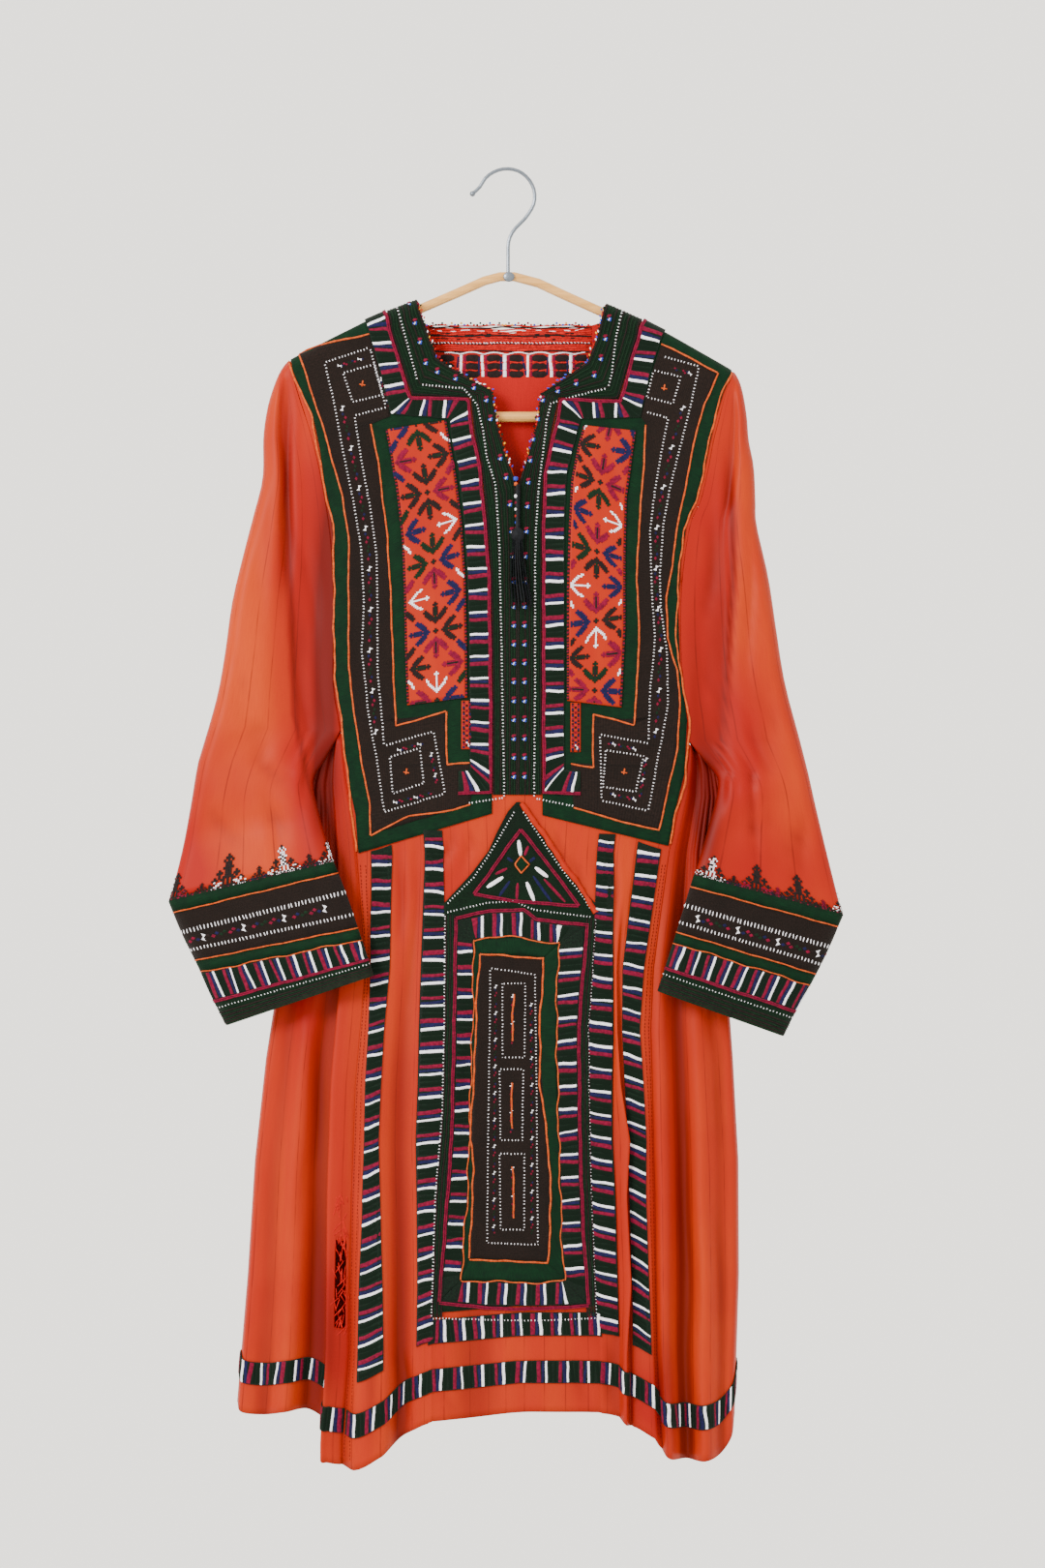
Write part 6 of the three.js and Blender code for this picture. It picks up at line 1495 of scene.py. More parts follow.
for side, cords, dotted, marked, knots in (
    ("left", CORDS_LEFT, DOTS_LEFT, MARKS_LEFT, ((374, 395), (420, 797))),
    ("right", CORDS_RIGHT, DOTS_RIGHT, MARKS_RIGHT, ((687, 399), (645, 797))),
):
    chest = Sewing(f"chest_{side}")
    for k, line in enumerate(cords):
        chest.cord("piping", run(line, YOKE_TOP + 0.25), 0, 0.85, seed=k)
    for k, line in enumerate(dotted):
        dots(chest, line, PATCH_TOP, k)
    for k, line in enumerate(marked):
        pitch, start, size = (37.0, 5.0, 1.0) if k == 0 else (19.0, 4.0, 0.8)
        marks(chest, run(line, PATCH_TOP, 6.0), pitch, start, size=size)
    for x, y in knots:
        chest.cord("piping", run([(x - 3, y), (x + 3, y + 1)], PATCH_TOP), 0, 0.60, step=0.8, wander=0.5)
        chest.cord("piping", run([(x + 1, y - 3), (x, y + 3)], PATCH_TOP), 0, 0.7, step=0.8, wander=0.4)
    chest.finish()

# Ribbons of the chest panel.
for name, strip, order, seed in (("left", chest_l, FALLING, 1), ("right", chest_r, RISING, 2)):
    sewing = Sewing(f"chest_ribbon_{name}")
    grouped_bars(sewing, strip, 19.9, order, start=8.0, slant=0.04, seed=seed)
    for off in (0.6, -0.9):
        sewing.cord("magenta", strip, lambda at: strip.width_at(at) / 2 - 0.3 + off, 0.85, seed=seed + 3)
    sewing.finish()

# Neckband and placket.
FLOWERS_LEFT = [
    (423, 313), (428.4, 331), (433.6, 351), (439.6, 372.7), (451.7, 382), (470.6, 389), (489.5, 398.5),
    (502.5, 411.4), (506.8, 431), (517, 472), (523, 492), (527, 520), (529, 548), (530, 574), (531, 600),
]
FLOWERS_RIGHT = [
    (630, 327), (626, 347.7), (621.3, 368.4), (614.4, 385.6), (595.5, 394.2), (576.5, 402), (561, 411.4),
    (555.8, 431), (551, 452), (548, 474), (546, 497), (545, 522), (544, 548), (543, 574), (543, 600),
]
NECK_DOTS_LEFT = [
    [(410, 316), (421, 355), (431, 391)], [(435, 396), (479, 400)],
    [(479, 400), (493, 417), (499, 443), (503, 472), (512, 500), (516, 558), (519, 700), (521, 823)],
    [(521, 824), (484, 830)],
]
NECK_DOTS_RIGHT = [
    [(643, 319), (637, 347), (632.5, 386), (629, 399)], [(627, 400), (598, 407), (569, 416)],
    [(569, 417), (565, 433), (561, 470), (557, 500), (554, 545), (553, 580), (553, 700), (552, 825)],
    [(553, 825), (594, 833)],
]
BAND_ROWS, GREEN_ROWS = 11, (1, 2, 4, 6, 8, 9)
for name, strip, lines, flowers, column in (
    ("left", neck_l, NECK_DOTS_LEFT, FLOWERS_LEFT, 531),
    ("right", neck_r, NECK_DOTS_RIGHT, FLOWERS_RIGHT, 542),
):
    sewing = Sewing(f"neckband_{name}")
    for k in range(BAND_ROWS):
        share = (k + 0.5) / BAND_ROWS - 0.5
        colour = "green_thread" if k in GREEN_ROWS else "brown_thread"
        across = lambda at: share * strip.width_at(at)
        sewing.cord(colour, strip, across, 0.75, height=-0.15, sides=5, seed=k, wander=0.15)
    for k, line in enumerate(lines):
        dots(sewing, line, PATCH_TOP, k)
    for x, y in flowers + [(column, y) for y in np.arange(626, 815, 19.5)]:
        spot = run([(x, y - 4), (x, y + 4)], PATCH_TOP)
        for colour, down, across, grow in (
            ("magenta", (-2.8, -1.9, -2.3), (-0.9, 0.9, 0.0), (1, 1, 1)),
            ("blue", (0.2, 1.9, 1.1), (-1.2, -0.9, 1.4), (0.6, 0.8, 0.9)),
            ("white", (0.5, 1.6), (-0.2, 0.5), (0.45, 0.55, 1)),
        ):
            at = spot.length / 2 + np.array(down)
            sewing.shapes(colour, spot, at, across, np.array(DIAMOND) * grow, PYRAMID_FACES)
    sewing.finish()

# Counted-stitch panels from the charts below: at each node of a lattice four arrows point inwards.
ARROW = [
    ".......#.......",
    "......###......",
    ".......#.......",
    "......#o#......",
    ".#....#o#....#.",
    "###...#o#...###",
    ".###..#o#..###.",
    ".####.#o#.####.",
    "..####.o.####..",
    "...####o####...",
    "....#######....",
    "......###......",
    ".......#.......",
]
WHITE_ARROW = [
    ".......#.......",
    "......###......",
    ".......#.......",
    ".......#.......",
    ".#.....#.....#.",
    ".##....#....##.",
    "..#....#....#..",
    "..##...#...##..",
    "...##..#..##...",
    "....##.#.##....",
    ".....#####.....",
    "......###......",
    ".......#.......",
]
NODE = [".#.", "#o#", ".#."]
CELL = 1.5
ACROSS, DOWN = 20, 21
ARROW_AWAY = 10
THREAD_CODES = {"m": "magenta", "b": "brown_thread", "n": "navy", "g": "green_thread", "w": "white"}
LEFT_ARROWS = {"left": "mbngwnbmn", "right": "bbngwnbmn"}
RIGHT_ARROWS = {"left": "bmwnnbmnb", "right": "nmwnnbmnb"}
MIDDLE_ARROWS = {"left": "bbgmbmwg", "right": "mgmbmwgm"}
EDGE_ARROWS = {"left": "ngwmbbwn", "right": "bwnmwbmw"}
INNER_THREAD = {
    "brown_thread": "green_thread", "green_thread": "brown_thread", "navy": "navy", "magenta": "brown_thread",
    "white": "white",
}


# Half the width of a counted stitch, smaller for white, and the heights of its base and top.
STITCH_HALF, WHITE_HALF, STITCH_BASE, STITCH_TOP = 0.98, 0.7, 0.35, 0.8


def counted(sewing, colour, strip, at, across, half=STITCH_HALF):
    """Counted stitches, each a low pyramid."""
    base = [(-half, -half), (-half, half), (half, half), (half, -half)]
    pyramid = [(x, y, STITCH_BASE) for x, y in base] + [(0, 0, STITCH_TOP)]
    sewing.shapes(colour, strip, at, across, pyramid, PYRAMID_FACES)


def charted(chart, colour):
    """The cells of a chart about its middle, with the thread of each."""
    tall, wide = len(chart), len(chart[0])
    return [
        (r - tall // 2, c - wide // 2, colour if mark == "#" else INNER_THREAD[colour])
        for r, line in enumerate(chart) for c, mark in enumerate(line) if mark != "."
    ]


def arrow(code):
    colour = THREAD_CODES[code]
    return charted(WHITE_ARROW if colour == "white" else ARROW, colour)


def set_cells(cells, row, col, shape, turn):
    """Sets a shape that points down, turned by quarter turns."""
    for r, c, colour in shape:
        for _ in range(turn):
            r, c = c, -r
        cells[row + r, col + c] = colour


def counted_panel(name, strip, first_node):
    cells = {}
    mirror = -1 if name == "right" else 1
    wide = int(strip.width.min() / CELL / 2)
    tall = int(strip.length / CELL)
    for k in range(-1, 9):
        row = first_node + (k - 1) * DOWN
        at_edge = (k + 1) % 2
        set_cells(cells, row, -ARROW_AWAY, arrow(LEFT_ARROWS[name][k]), 1 if at_edge else 3)
        set_cells(cells, row, ARROW_AWAY, arrow(RIGHT_ARROWS[name][k]), 3 if at_edge else 1)
        for col in ((-ACROSS, ACROSS) if at_edge else (0,)):
            set_cells(cells, row, col, charted(NODE, "brown_thread"), 0)
        if k < 8:
            half = row + DOWN // 2
            set_cells(cells, half, 0, arrow(MIDDLE_ARROWS[name][k]), 0 if at_edge else 2)
            for side, col in enumerate((-ACROSS, ACROSS)):
                code = EDGE_ARROWS[name][(k + 3 * side) % 8]
                set_cells(cells, half, col, arrow(code), 2 if at_edge else 0)
    sewing = Sewing(f"counted_{name}")
    kept = {}
    for (row, col), colour in cells.items():
        if 0 <= row < tall and abs(col) <= wide:
            kept.setdefault(colour, []).append(((row + 0.5) * CELL, mirror * col * CELL))
    for colour, places in kept.items():
        counted(sewing, colour, strip, *np.array(places).T, WHITE_HALF if colour == "white" else STITCH_HALF)
    rows = np.arange(CELL / 2, strip.length, CELL)
    for sign in (-1, 1):
        edge = sign * (strip.width_at(rows) / 2 - CELL * 0.5)
        counted(sewing, "brown_thread", strip, rows[::2], edge[::2])
        counted(sewing, "magenta", strip, rows[1::4], edge[1::4])
    sewing.finish()


counted_panel("left", motif_l, 41)
counted_panel("right", motif_r, 33)
for name, left, right, top, foot in (("left", 477, 488, 724, 774), ("right", 589.5, 600, 726, 777)):
    corners = [(left, top, right, top), (left, foot, right, foot)]
    tail = patch(f"motif_tail_{name}", corners, "silk_patch", YOKE_TOP, 0.9, "counted_stitch")
    sewing = Sewing(f"tail_{name}")
    at = np.arange(1.5, tail.length - 1, CELL)
    for k, colour in enumerate(("brown_thread", "magenta", "brown_thread", "navy")):
        for side in (3.0, -3.0):
            counted(sewing, colour, tail, at[k::4], side * np.sin(at[k::4] * 0.7))
    counted(sewing, "white", tail, tail.length - np.array([3, 4.5, 6]), [1.5, 1.5, 0], 0.62)
    sewing.finish()

# Skirt ribbons.
for strip, (name, pitch, order, slant) in zip(skirt_strips, (
    ("left", 21.5, RISING, 0.02), ("right", 20.5, FALLING, 0.12), ("pocket_left", 20.5, RISING, 0.03),
    ("pocket_right", 20.5, FALLING, 0.1), ("pocket_foot", 17.5, RISING, 0.02),
)):
    sewing = Sewing(f"skirt_ribbon_{name}")
    grouped_bars(sewing, strip, pitch, order, start=6.0, slant=slant, margin=0.03, size=1.05, seed=len(name))
    sewing.finish()
for name, pitch in (("front", 19.3), ("left", 17.5), ("right", 17.5), ("back", 19.0)):
    sewing = Sewing(f"hem_{name}")
    grouped_bars(sewing, hem_strips[name], pitch, RISING, start=2.0, slant=0.02, margin=0.02, seed=len(name))
    sewing.finish()

# Pocket.
POCKET_RIBBON = {
    "left": [(473, 951, 490, 971), (472, 974, 489, 974), (472, 1000, 489, 1000), (471, 1060, 489, 1060),
             (468, 1177, 485, 1177), (464, 1236, 483, 1236), (457, 1318, 476, 1318), (455, 1341, 476, 1321)],
    "right": [(604, 958, 578, 975), (603, 979, 577, 979), (598, 1034, 575, 1034), (596, 1060, 575, 1060),
              (597, 1177, 577, 1177), (600, 1265, 580, 1265), (605, 1317, 583, 1317), (606, 1344, 583, 1321)],
    "top": [(473, 951, 490, 971), (493, 947, 493, 970), (506, 943, 506, 969), (541, 942, 540, 968),
            (554, 952, 554, 972),
            (575, 955, 575, 975), (604, 958, 578, 975)],
    "foot": [(455, 1343, 476, 1321), (479, 1345, 479, 1322), (500, 1347, 500, 1323), (560, 1347, 560, 1323),
             (580, 1346, 580, 1322), (606, 1345, 583, 1321)],
}
POCKET_GREEN = {
    "left": [(490, 971, 496, 986), (489, 1034, 493, 1034), (489, 1089, 492, 1089), (485, 1177, 488, 1177),
             (484, 1236, 489, 1236), (476, 1321, 485, 1300)],
    "right": [(578, 975, 562, 990), (575, 1052, 558, 1052), (575, 1118, 558, 1118), (577, 1177, 566, 1177),
              (580, 1265, 569, 1236), (583, 1321, 566, 1302)],
    "top": [(490, 971, 496, 986), (540, 968, 540, 986), (578, 975, 562, 990)],
    "foot": [(476, 1321, 485, 1300), (530, 1322, 530, 1301), (583, 1321, 566, 1302)],
}
POCKET_MIDDLE = [
    (497, 987, 561, 990), (493, 1034, 559, 1034), (492, 1089, 558, 1089), (487, 1177, 566, 1177),
    (489, 1220, 568, 1220), (486, 1299, 566, 1301),
]
POCKET_MAGENTA = [
    [(471, 949), (469, 1060), (466, 1177), (462, 1236), (453, 1343)],
    [(471, 949), (506, 941), (541, 940), (554, 950), (608, 956)],
    [(607, 957), (600, 1034), (598, 1060), (599, 1177), (602, 1265), (608, 1346)],
    [(453, 1344), (500, 1350), (560, 1350), (608, 1347)],
    [(538, 857), (490, 924)], [(490, 924), (540, 932), (598, 936)], [(538, 857), (570, 897), (598, 936)],
]
POCKET_CORDS = [
    [(496, 986), (493, 1034), (492, 1089), (486, 1177), (490, 1207), (485, 1299)],
    [(496, 986), (562, 990)], [(562, 990), (558, 1052), (558, 1118), (566, 1177), (569, 1236), (566, 1302)],
    [(485, 1300), (530, 1302), (566, 1302)],
    [(531, 1027), (530, 1075)], [(529, 1118), (530, 1165)], [(530, 1204), (532, 1257)],
]
POCKET_DOTS = [
    [(532, 838), (510, 876), (490, 906), (462, 934)], [(540, 838), (575, 890), (610, 938)],
    [(461, 943), (502, 933), (531, 931), (552, 940), (575, 943), (613, 948)],
    [(460, 945), (459, 1060), (457, 1148), (450, 1236), (446, 1359)],
    [(616, 949), (609, 1052), (608, 1060), (610, 1207), (616, 1358)],
    [(446, 1360), (500, 1362), (560, 1362), (616, 1360)],
    square([(507, 1000), (553, 1007), (556, 1284), (504, 1283)]),
    square([(520, 1016), (543, 1016), (542, 1092), (520, 1092)]),
    square([(517, 1104), (541, 1104), (540, 1177), (518, 1177)]),
    square([(517, 1191), (542, 1191), (542, 1269), (518, 1269)]),
]


def pocket_run(points, lift=PATCH_TOP, width=5.0):
    return run(points, lift, width, True)


sewing = Sewing("pocket_sewing")
pocket_strips = {
    k: patch(f"pocket_inner_ribbon_{k}", v, "black", YOKE_TOP - 0.05, pocket_side=True)
    for k, v in POCKET_RIBBON.items()
}
for k, v in POCKET_GREEN.items():
    patch(f"pocket_green_{k}", v, "green", YOKE_TOP - 0.05, pocket_side=True)
patch("pocket_middle", POCKET_MIDDLE, "brown", YOKE_TOP - 0.05, pocket_side=True)
for key, pitch, order, start, slant in (
    ("left", 20.5, RISING, 10, 0.02), ("right", 20.5, FALLING, 12, 0.08), ("top", 17.5, RISING, 6, 0.02),
    ("foot", 17.5, RISING, 8, 0.02),
):
    strip = pocket_strips[key]
    grouped_bars(sewing, strip, pitch, order, start, strip.length - 5, slant, size=0.95, seed=len(key) + 4)
for k, line in enumerate(POCKET_RIBBON.values()):
    sewing.cord("piping", pocket_run([(x, y) for _, _, x, y in line]), 0, 0.60, wander=0.9, seed=k)
for k, line in enumerate(POCKET_MAGENTA):
    for off in (-0.8, 0.8):
        sewing.cord("magenta", pocket_run(line), off, 0.75, seed=k)
for k, line in enumerate(POCKET_CORDS):
    sewing.cord("piping", pocket_run(line), 0, 0.85, seed=k, wander=0.5)
for k, line in enumerate(POCKET_DOTS):
    dots(sewing, line, PATCH_TOP if k > 5 else YOKE_TOP + 0.2, k, (0.8, 1.4), True)
for points, start in (
    ([(513, 1010), (511, 1275)], 8), ([(549, 1015), (550, 1275)], 20), ([(530, 1022), (530, 1085)], 6),
    ([(529, 1110), (529, 1172)], 9), ([(530, 1198), (531, 1262)], 7),
):
    marks(sewing, pocket_run(points), 24.0, start, size=0.7)
POCKET_RAYS = [
    ((536, 868), (538, 884)), ((524, 886), (530, 890)), ((512, 903), (524, 897)), ((503, 917), (520, 906)),
    ((516, 926), (527, 910)), ((534, 930), (535, 912)), ((552, 931), (544, 911)), ((570, 932), (551, 905)),
    ((584, 932), (562, 908)), ((566, 906), (553, 896)), ((553, 886), (547, 890)), ((546, 874), (542, 884)),
]
for k, ray in enumerate(POCKET_RAYS):
    strip = pocket_run(ray, YOKE_TOP + 0.1)
    colour = ("white", "navy", "magenta")[k % 3]
    wide = 3.4 if colour == "white" else 2.6
    sewing.stitches(colour, strip, strip.length / 2, 0.0, strip.length, wide, 0.8)
diamond_patch = [(539, 885, 539, 885.5), (533, 893, 546, 893), (539, 901, 539, 901.5)]
patch("pocket_diamond", diamond_patch, "green", YOKE_TOP, pocket_side=True, step=2.0)
for middle in (532, 547):
    sewing.cord("piping", pocket_run([(539, 884), (middle, 893), (539, 902)]), 0, 0.7)
fold = [(540, 829), (558, 856), (577, 884), (597, 913), (617, 942)]
sewing.cord("silk_patch", pocket_run(fold, YOKE_TOP - 0.6), 0.6, 2.6, sides=10, wander=0.6)
edge = [(543, 829), (561, 856), (581, 884), (600, 912), (620, 941)]
sewing.cord("red_thread", pocket_run(edge, YOKE_TOP - 0.4), 1.6, 0.8, wander=0.5)
for k in range(5):
    off = 2.2 + 1.9 * k
    for line, across in ((POCKET_DOTS[3], 1.0 - off), (POCKET_DOTS[4], off - 2.0)):
        sewing.cord("green_thread" if k % 2 else "brown_thread", pocket_run(line, YOKE_TOP, 24), across, 0.75)
sewing.finish()

# Cuffs: bands round the cuff at shares of its height.
CUFF_BANDS = [
    ("green", "green", 0.0, 0.095), ("brown", "brown", 0.105, 0.455), ("green_low", "green", 0.465, 0.55),
    ("ribbon", "black", 0.555, 0.77), ("edge", "dark", 0.785, 0.995),
]
RIBBON_SHARES = (0.555 + 0.003, 0.77)


def cuff_rows(p, low, high):
    """The cuff's rows between two shares of its height."""
    at = np.linspace(low, high, max(3, int((high - low) * 30))) * (len(p) - 1)
    i = np.clip(np.floor(at).astype(int), 0, len(p) - 2)
    return mix(p[i], p[i + 1], (at - i)[:, None, None])


def round_strip(p, low, high, lift):
    """A strip that runs round the cuff between two shares of its height."""
    rows = cuff_rows(p, low, high).transpose(1, 0, 2)
    return Strip(rows, lambda q: q - q.mean(axis=0, keepdims=True), CUFF_TOP + lift)


for name, p, order, start in (("left", cuff_l, FALLING, 24.0), ("right", cuff_r, RISING, 16.0)):
    for key, material, low, high in CUFF_BANDS:
        rows = cuff_rows(p, low + 0.003, high)
        obj = shell(f"cuff_{name}_{key}", rows, CUFF_TOP - 0.05, CUFF_TOP + 0.45, material, ring=True)
    sewing = Sewing(f"cuff_{name}")
    for share in (0.1, 0.46):
        sewing.cord("piping", round_strip(p, share - 0.02, share + 0.02, 0.45), 0, 0.64)
    for share, long in ((0.235, 4.0), (0.375, 3.0)):
        line = round_strip(p, share - 0.03, share + 0.03, 0.5)
        sewing.line("white", line, 0, 3.3, 0.9, long, turn=-0.12, tall=0.6, seed=4)
    marks(sewing, round_strip(p, 0.27, 0.34, 0.5), 38.0, start, turn=1.2, size=1.3)
    ribbon = round_strip(p, *RIBBON_SHARES, 0.45)
    grouped_bars(sewing, ribbon, 14.8, order, start=4.0, size=0.88, margin=0.02, seed=8, slant=0.03)
    for share in (0.775, 0.787):
        sewing.cord("magenta", round_strip(p, share - 0.02, share + 0.02, 0.55), 0, 0.75)
    sewing.line("white", round_strip(p, 0.80, 0.86, 0.5), 0, 3.1, 0.8, 1.2, tall=0.5, seed=9)
    sewing.cord("piping", round_strip(p, 0.535, 0.575, 0.45), 0, 0.56, wander=0.7)
    for k, share in enumerate(np.linspace(0.87, 0.985, 8)):
        line = round_strip(p, share - 0.01, min(share + 0.01, 1), 0.35)
        sewing.cord("green_thread" if k % 2 else "brown_thread", line, 0, 0.8, wander=0.1)
    sewing.finish()


# Stepped trees on the sleeves above the cuffs, from a given chart.
TREE = [
    "........#........",
    ".......###.......",
    "......#.#.#......",
    ".......###.......",
    ".......###.......",
    "......#####......",
    ".......###..#....",
    "....#..###.###...",
    "...###.###..#....",
    "....#.#####.#.#..",
    "..#..##.#.##.###.",
    ".###..#.#.#...#..",
    "..#.###.#.###.#.#",
    "#..##.#.#.#.##.##",
    ".###.###.###.###.",
    "#################",
]


# Place along the sleeve's end, thread of the tree and of its foot, and size.
TREES_LEFT = [
    (2, "white", "white", 0.9), (20, "brown_thread", "navy", 0.6), (42, "white", "white", 1.1),
    (63, "brown_thread", "navy", 0.6), (90, "brown_thread", "white", 1.25),
    (112, "brown_thread", "green_thread", 0.5), (136, "brown_thread", "magenta", 1.05),
    (158, "brown_thread", "magenta", 0.7),
]
TREES_RIGHT = [
    (14, "white", "white", 1.0), (33, "brown_thread", "navy", 0.5), (52, "brown_thread", "magenta", 1.1),
    (70, "magenta", "navy", 0.5), (88, "brown_thread", "brown_thread", 1.15),
    (108, "magenta", "brown_thread", 0.5), (128, "brown_thread", "white", 1.05),
    (146, "magenta", "brown_thread", 0.6),
]


def trees(name, grid, places):
    strip = Strip(grid[-7:, :OPEN_SHARES].transpose(1, 0, 2), FRONT, CLOTH / 2 + 0.5)
    sewing = Sewing(f"trees_{name}")
    rng = np.random.default_rng(len(name))
    kept = {}
    for spot, main, foot, size in places:
        for r, line in enumerate(TREE):
            for c, mark in enumerate(line):
                if mark != "#":
                    continue
                if 5 < c < 11:
                    colour = main if rng.random() < 0.8 else "brown_thread"
                else:
                    colour = foot if r > 10 and rng.random() < 0.6 else "brown_thread"
                at = spot + (c - 8) * CELL * size
                if 0.5 < at < strip.length - 0.5:
                    up = (len(TREE) - r - 0.5) * CELL * size
                    kept.setdefault((colour, size), []).append((at, up))
    for (colour, size), cells in kept.items():
        at, up = np.array(cells).T
        half = (0.6 if colour == "white" else 0.86) * size
        counted(sewing, colour, strip, at, strip.width_at(at) / 2 - up, half)
    at = np.arange(1.5, strip.length - 1, CELL)
    for k, colour in enumerate(("brown_thread", "green_thread", "magenta", "brown_thread")):
        for row in range(1 + k % 2):
            low = at[k::4]
            counted(sewing, colour, strip, low, strip.width_at(low) / 2 - CELL * (0.5 + row))
    sewing.finish()


trees("left", sleeve_l, TREES_LEFT)
trees("right", sleeve_r, TREES_RIGHT)

# Reverse of the neck stitching, inside the back.
REVERSE_LEFT, REVERSE_RIGHT = 443, 612


def neck_reverse(top, foot):
    """A strip inside the back between two heights, running across."""
    corners = px([(REVERSE_LEFT, top), (REVERSE_RIGHT, foot)])
    xx, zz = np.meshgrid(np.linspace(*corners[:, 0], 60), np.linspace(*corners[:, 1], 6), indexing="ij")
    share = np.interp(xx, neck_top[:, 0], neck_shares)
    y = back_depth(xx.ravel(), zz.ravel(), share.ravel()).reshape(xx.shape)
    return Strip(np.stack([xx, y, zz], -1), FRONT, CLOTH / 2)


sewing = Sewing("neck_reverse")
rng = np.random.default_rng(11)
upper, chain, zone = neck_reverse(331, 348), neck_reverse(348, 360), neck_reverse(362, 386)
for strip, rows in ((upper, 8), (chain, 6)):
    for k in range(rows):
        across = ((k + 0.5) / rows - 0.5) * strip.width[0]
        sewing.cord("brown_thread" if k % 4 == 1 else "red_thread", strip, across, 0.75, wander=0.5, seed=k)
for start in np.arange(3.0, upper.length - 8, 13.0):
    sewing.stitches("white", upper, start + 4, rng.normal(-2.2, 1.0), 9.5, 1.1, 0.7, rng.normal(0, 0.12))
for k in range(46):
    at, across = rng.uniform(4, upper.length - 4), rng.uniform(0, 6.5)
    sewing.stitches("brown_thread", upper, at, across, 5.0, 1.8, 0.8)
sewing.line("white", chain, -3.4, 3.2, 2.5, 1.1, tall=1.1, turn=0.5, seed=4)
sewing.line("red_thread", chain, -2.2, 3.2, 2.6, 1.2, tall=1.0, turn=-0.5, seed=5)
at = (np.array([475.8, 498.2, 521.4, 545.5, 569.6, 590.3]) - REVERSE_LEFT) * SCALE
sewing.bars("white", zone, at, 3.0, 0.02, 0.9, seed=2)
sewing.bars("navy", zone, at - 3.2, 2.4, 0.1, 0.7, seed=3)
sewing.bars("magenta", zone, at + 3.3, 2.6, 0.04, 0.7, seed=4)
blocks = np.concatenate([[at[0] - 13], at + 10.5])
for across in (-7.0, 0.6, 7.4):
    sewing.stitches("brown_thread", zone, blocks, across, 15.0, 6.4, 0.7)
    sewing.stitches("brown_thread", zone, blocks, across, 12.0, 6.8, 0.75)
for across in (-3.3, 4.0):
    sewing.line("red_thread", zone, across, 9.0, 8.4, 1.5, tall=0.9, seed=8)
looped = lambda a: -10.5 - 1.8 * np.abs(np.sin((a - at[0]) * math.pi / 20.7))
sewing.cord("white", zone, looped, 0.55, 14, zone.length - 6, height=0.6)
sewing.finish()

# Rows of stitches on the outside of the back neck band.
sewing = Sewing("back_band_sewing")
for k, colour in (
    (1, "magenta"), (3, "white"), (5, "green_thread"), (6, "brown_thread"), (8, "white"), (10, "magenta"),
):
    strip = Strip(back_neck[k - 1:k + 2].transpose(1, 0, 2), BACK, YOKE_TOP)
    if colour == "white":
        sewing.line(colour, strip, 0, DOT_GAP, *DOT, tall=0.6, seed=k)
    else:
        sewing.cord(colour, strip, 0, 0.7, seed=k)
sewing.finish()

# Small beads looped along the neck edges.
BEAD, BEAD_GAP = 1.25, 2.9
bead_points = [(0, 0, BEAD)] + [
    (BEAD * 0.87 * math.cos(a), BEAD * 0.87 * math.sin(a), h) for h in (BEAD * 0.5, -BEAD * 0.5)
    for a in np.linspace(0, 2 * math.pi, 6, endpoint=False)
] + [(0, 0, -BEAD)]
bead_faces = []
for k in range(6):
    n = (k + 1) % 6
    bead_faces += [(0, 1 + k, 1 + n, 1 + n), (1 + k, 7 + k, 7 + n, 1 + n), (13, 7 + n, 7 + k, 7 + k)]
BEAD_COLOURS = (
    "green_thread", "red_thread", "yellow", "blue", "brown_thread", "red_thread", "white", "green_thread",
    "magenta", "blue",
)


def beads(sewing, strip, at, across, seed):
    rng = np.random.default_rng(seed)
    for k, place in enumerate(at):
        colour = BEAD_COLOURS[rng.integers(len(BEAD_COLOURS))]
        side = across(place)
        out = np.sign(side) * (0.3 + 1.6 * (k % 3 == 1))
        sewing.shapes(colour, strip, [place], [side + out], bead_points, bead_faces)


sewing = Sewing("neck_beads")
for seed, strip in ((3, neck_l), (4, neck_r)):
    beads(sewing, strip, np.arange(8, 205, BEAD_GAP), lambda at: strip.width_at(at) / 2 + 0.2, seed)
beads(sewing, upper, np.arange(0, upper.length, BEAD_GAP), lambda at: -upper.width[0] / 2 + 0.5, 5)
tassel_strip = run([(533, 492), (534, 556)], 5.0)
for at, colour, size in (
    (2, "blue", 2.2), (7, "piping", 1.8), (12, "brown_thread", 1.6), (18, "white", 1.7), (24, "magenta", 1.5),
    (30, "white", 1.5), (36, "red_thread", 1.6), (42, "blue", 1.5), (47, "magenta", 1.6),
):
    sewing.shapes(colour, tassel_strip, [at], [0.0], np.array(bead_points) * size, bead_faces)
sewing.finish()

# Seams: two rows of small stitches beside each front seam, the raw edge along the yoke and the frayed rip.
sewing = Sewing("seam_stitches")
seam_rows = WAIST_ROW + np.linspace(0.02, 0.985, 90)
for s in (0.22, 0.62, LAST_LINE - 0.25, LAST_LINE - 0.6):
    seam = Strip(front_grid(np.array([s - 0.12, s, s + 0.12]), seam_rows, True), FRONT, CLOTH / 2)
    sewing.line("seam_thread", seam, 0, 3.2, 2.5, 0.8, tall=0.35, seed=int(s * 10))
for edge in (
    [(297, 372), (322, 430), (334, 499), (344, 541), (345, 601), (345, 653), (346, 698), (354, 756),
     (360, 808),
     (368, 880)],
    [(757, 384), (745, 410), (736, 443), (728, 484), (720, 518), (707, 547), (702, 594), (699, 648),
     (701, 681),
     (713, 742), (712, 768), (708, 811), (699, 839), (693, 872)],
):
    sewing.cord("piping", run(edge, YOKE_TOP - 0.8), 0.2, 1.1, wander=0.5, seed=4)
rip_cloth = side_grid(SIDE_LEFT, np.linspace(0.7, 2.3, 9), np.linspace(0.56, 0.82, 40), True)
rip = Strip(rip_cloth, FRONT, CLOTH / 2)
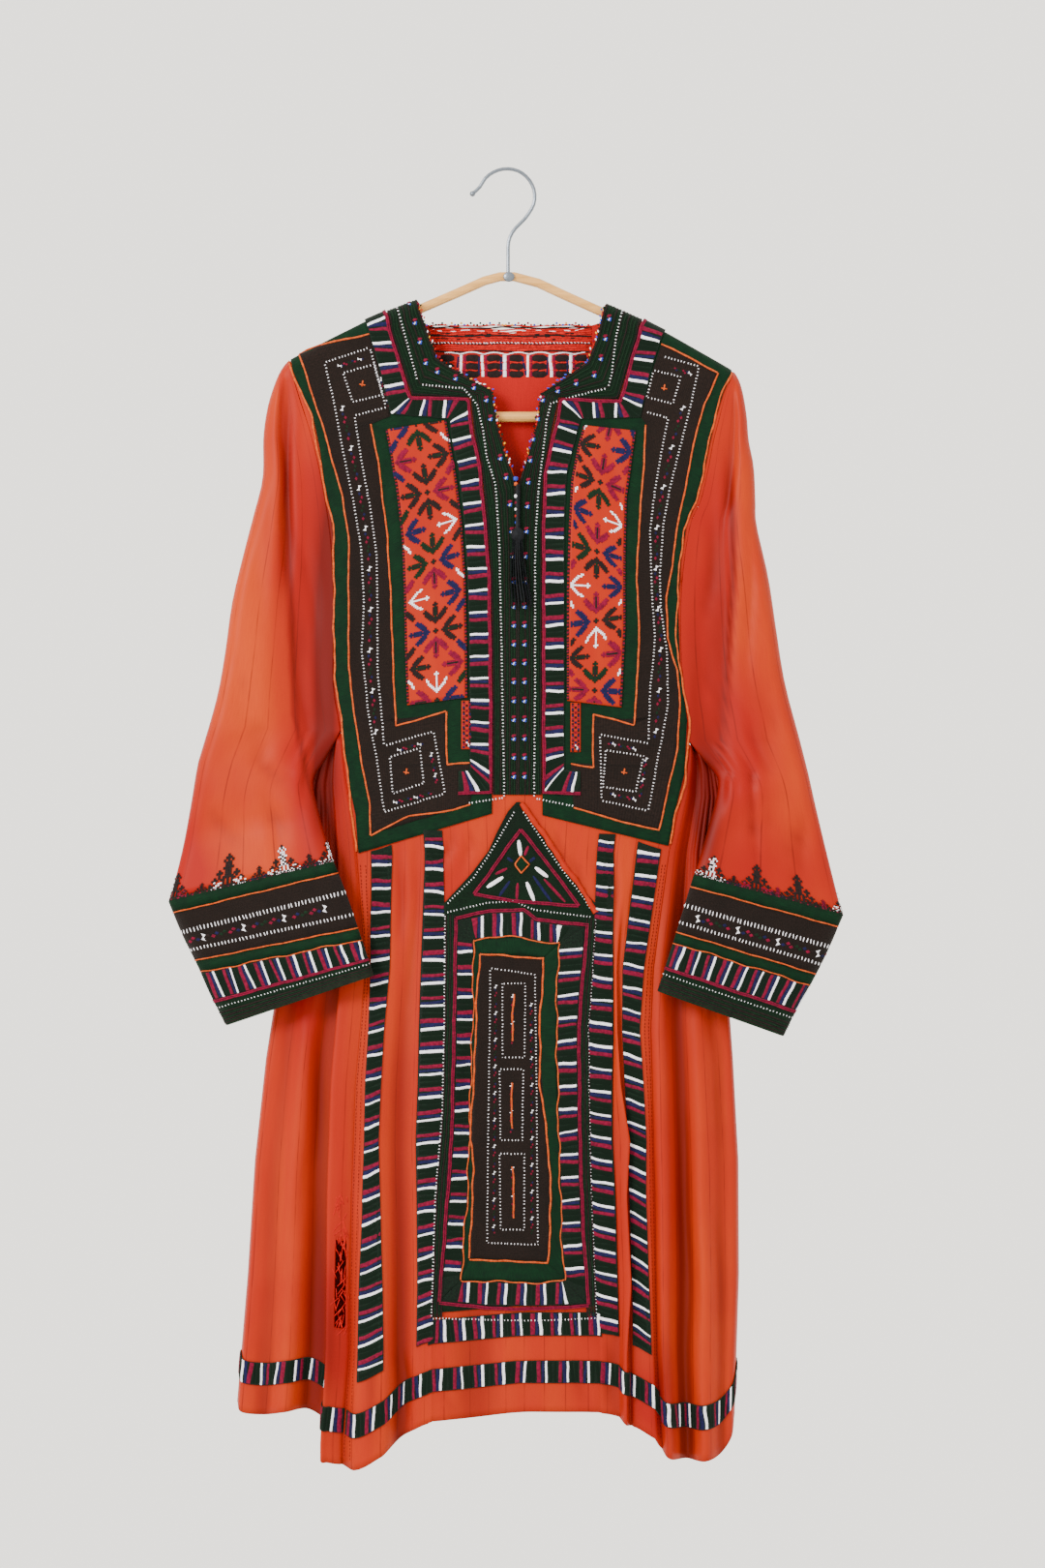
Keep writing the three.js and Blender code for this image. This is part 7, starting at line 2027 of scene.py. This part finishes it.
rng = np.random.default_rng(21)
for _ in range(70):
    at, across, long = rng.uniform(4, rip.length - 20), rng.normal(0, rip.width[0] * 0.22), rng.uniform(5, 14)
    sewing.stitches("red_thread", rip, at, across, long, 0.7, 0.6, rng.normal(0, 0.5))
sewing.finish()


# Light, floor and camera.
def area_light(name, place, target, size, power, colour):
    data = bpy.data.lights.new(name, "AREA")
    data.shape = "RECTANGLE"
    data.size, data.size_y = size
    data.energy = power
    data.color = colour
    obj = bpy.data.objects.new(name, data)
    obj.location = place
    obj.rotation_euler = (Vector(target) - Vector(place)).to_track_quat("-Z", "Y").to_euler()
    bpy.context.scene.collection.objects.link(obj)


world = bpy.data.worlds.new("studio")
world.use_nodes = True
background = world.node_tree.nodes["Background"]
background.inputs["Color"].default_value = rgb("#eae6de")
background.inputs["Strength"].default_value = 2.75
bpy.context.scene.world = world
AIM = (0.0, 0.0, -0.6)
area_light("key", (-1.7, -2.3, 0.7), AIM, (0.9, 0.9), 130, (1.0, 0.97, 0.93))
area_light("fill", (2.2, -1.8, -0.2), AIM, (1.8, 1.8), 4, (0.95, 0.97, 1.0))
area_light("top", (0.2, -0.3, 1.5), AIM, (1.4, 1.4), 10, (1.0, 0.98, 0.95))

FLOOR_LEVEL, FLOOR_SIDES = -1.62, 64
floor_data = bpy.data.meshes.new("floor")
turns = np.linspace(0, 2 * np.pi, FLOOR_SIDES, endpoint=False)
corners = [(math.cos(a), math.sin(a), FLOOR_LEVEL) for a in turns]
floor_data.from_pydata(corners, [], [tuple(range(FLOOR_SIDES))])
floor = bpy.data.objects.new("floor", floor_data)
paint = Shade("pale_floor", roughness=0.9)
paint.colour(paint.blend(paint.noise(paint.object_place(), 3.0), rgb("#e6e3dc"), rgb("#dedbd3")))
floor_data.materials.append(paint.material)
bpy.context.scene.collection.objects.link(floor)

camera_data = bpy.data.cameras.new("camera")
camera_data.lens = 85
camera_data.sensor_width = 36
camera = bpy.data.objects.new("camera", camera_data)
camera.location = (0.014, -3.37, -0.55825)
camera.rotation_euler = (math.radians(90), 0, 0)
bpy.context.scene.collection.objects.link(camera)
bpy.context.scene.camera = camera
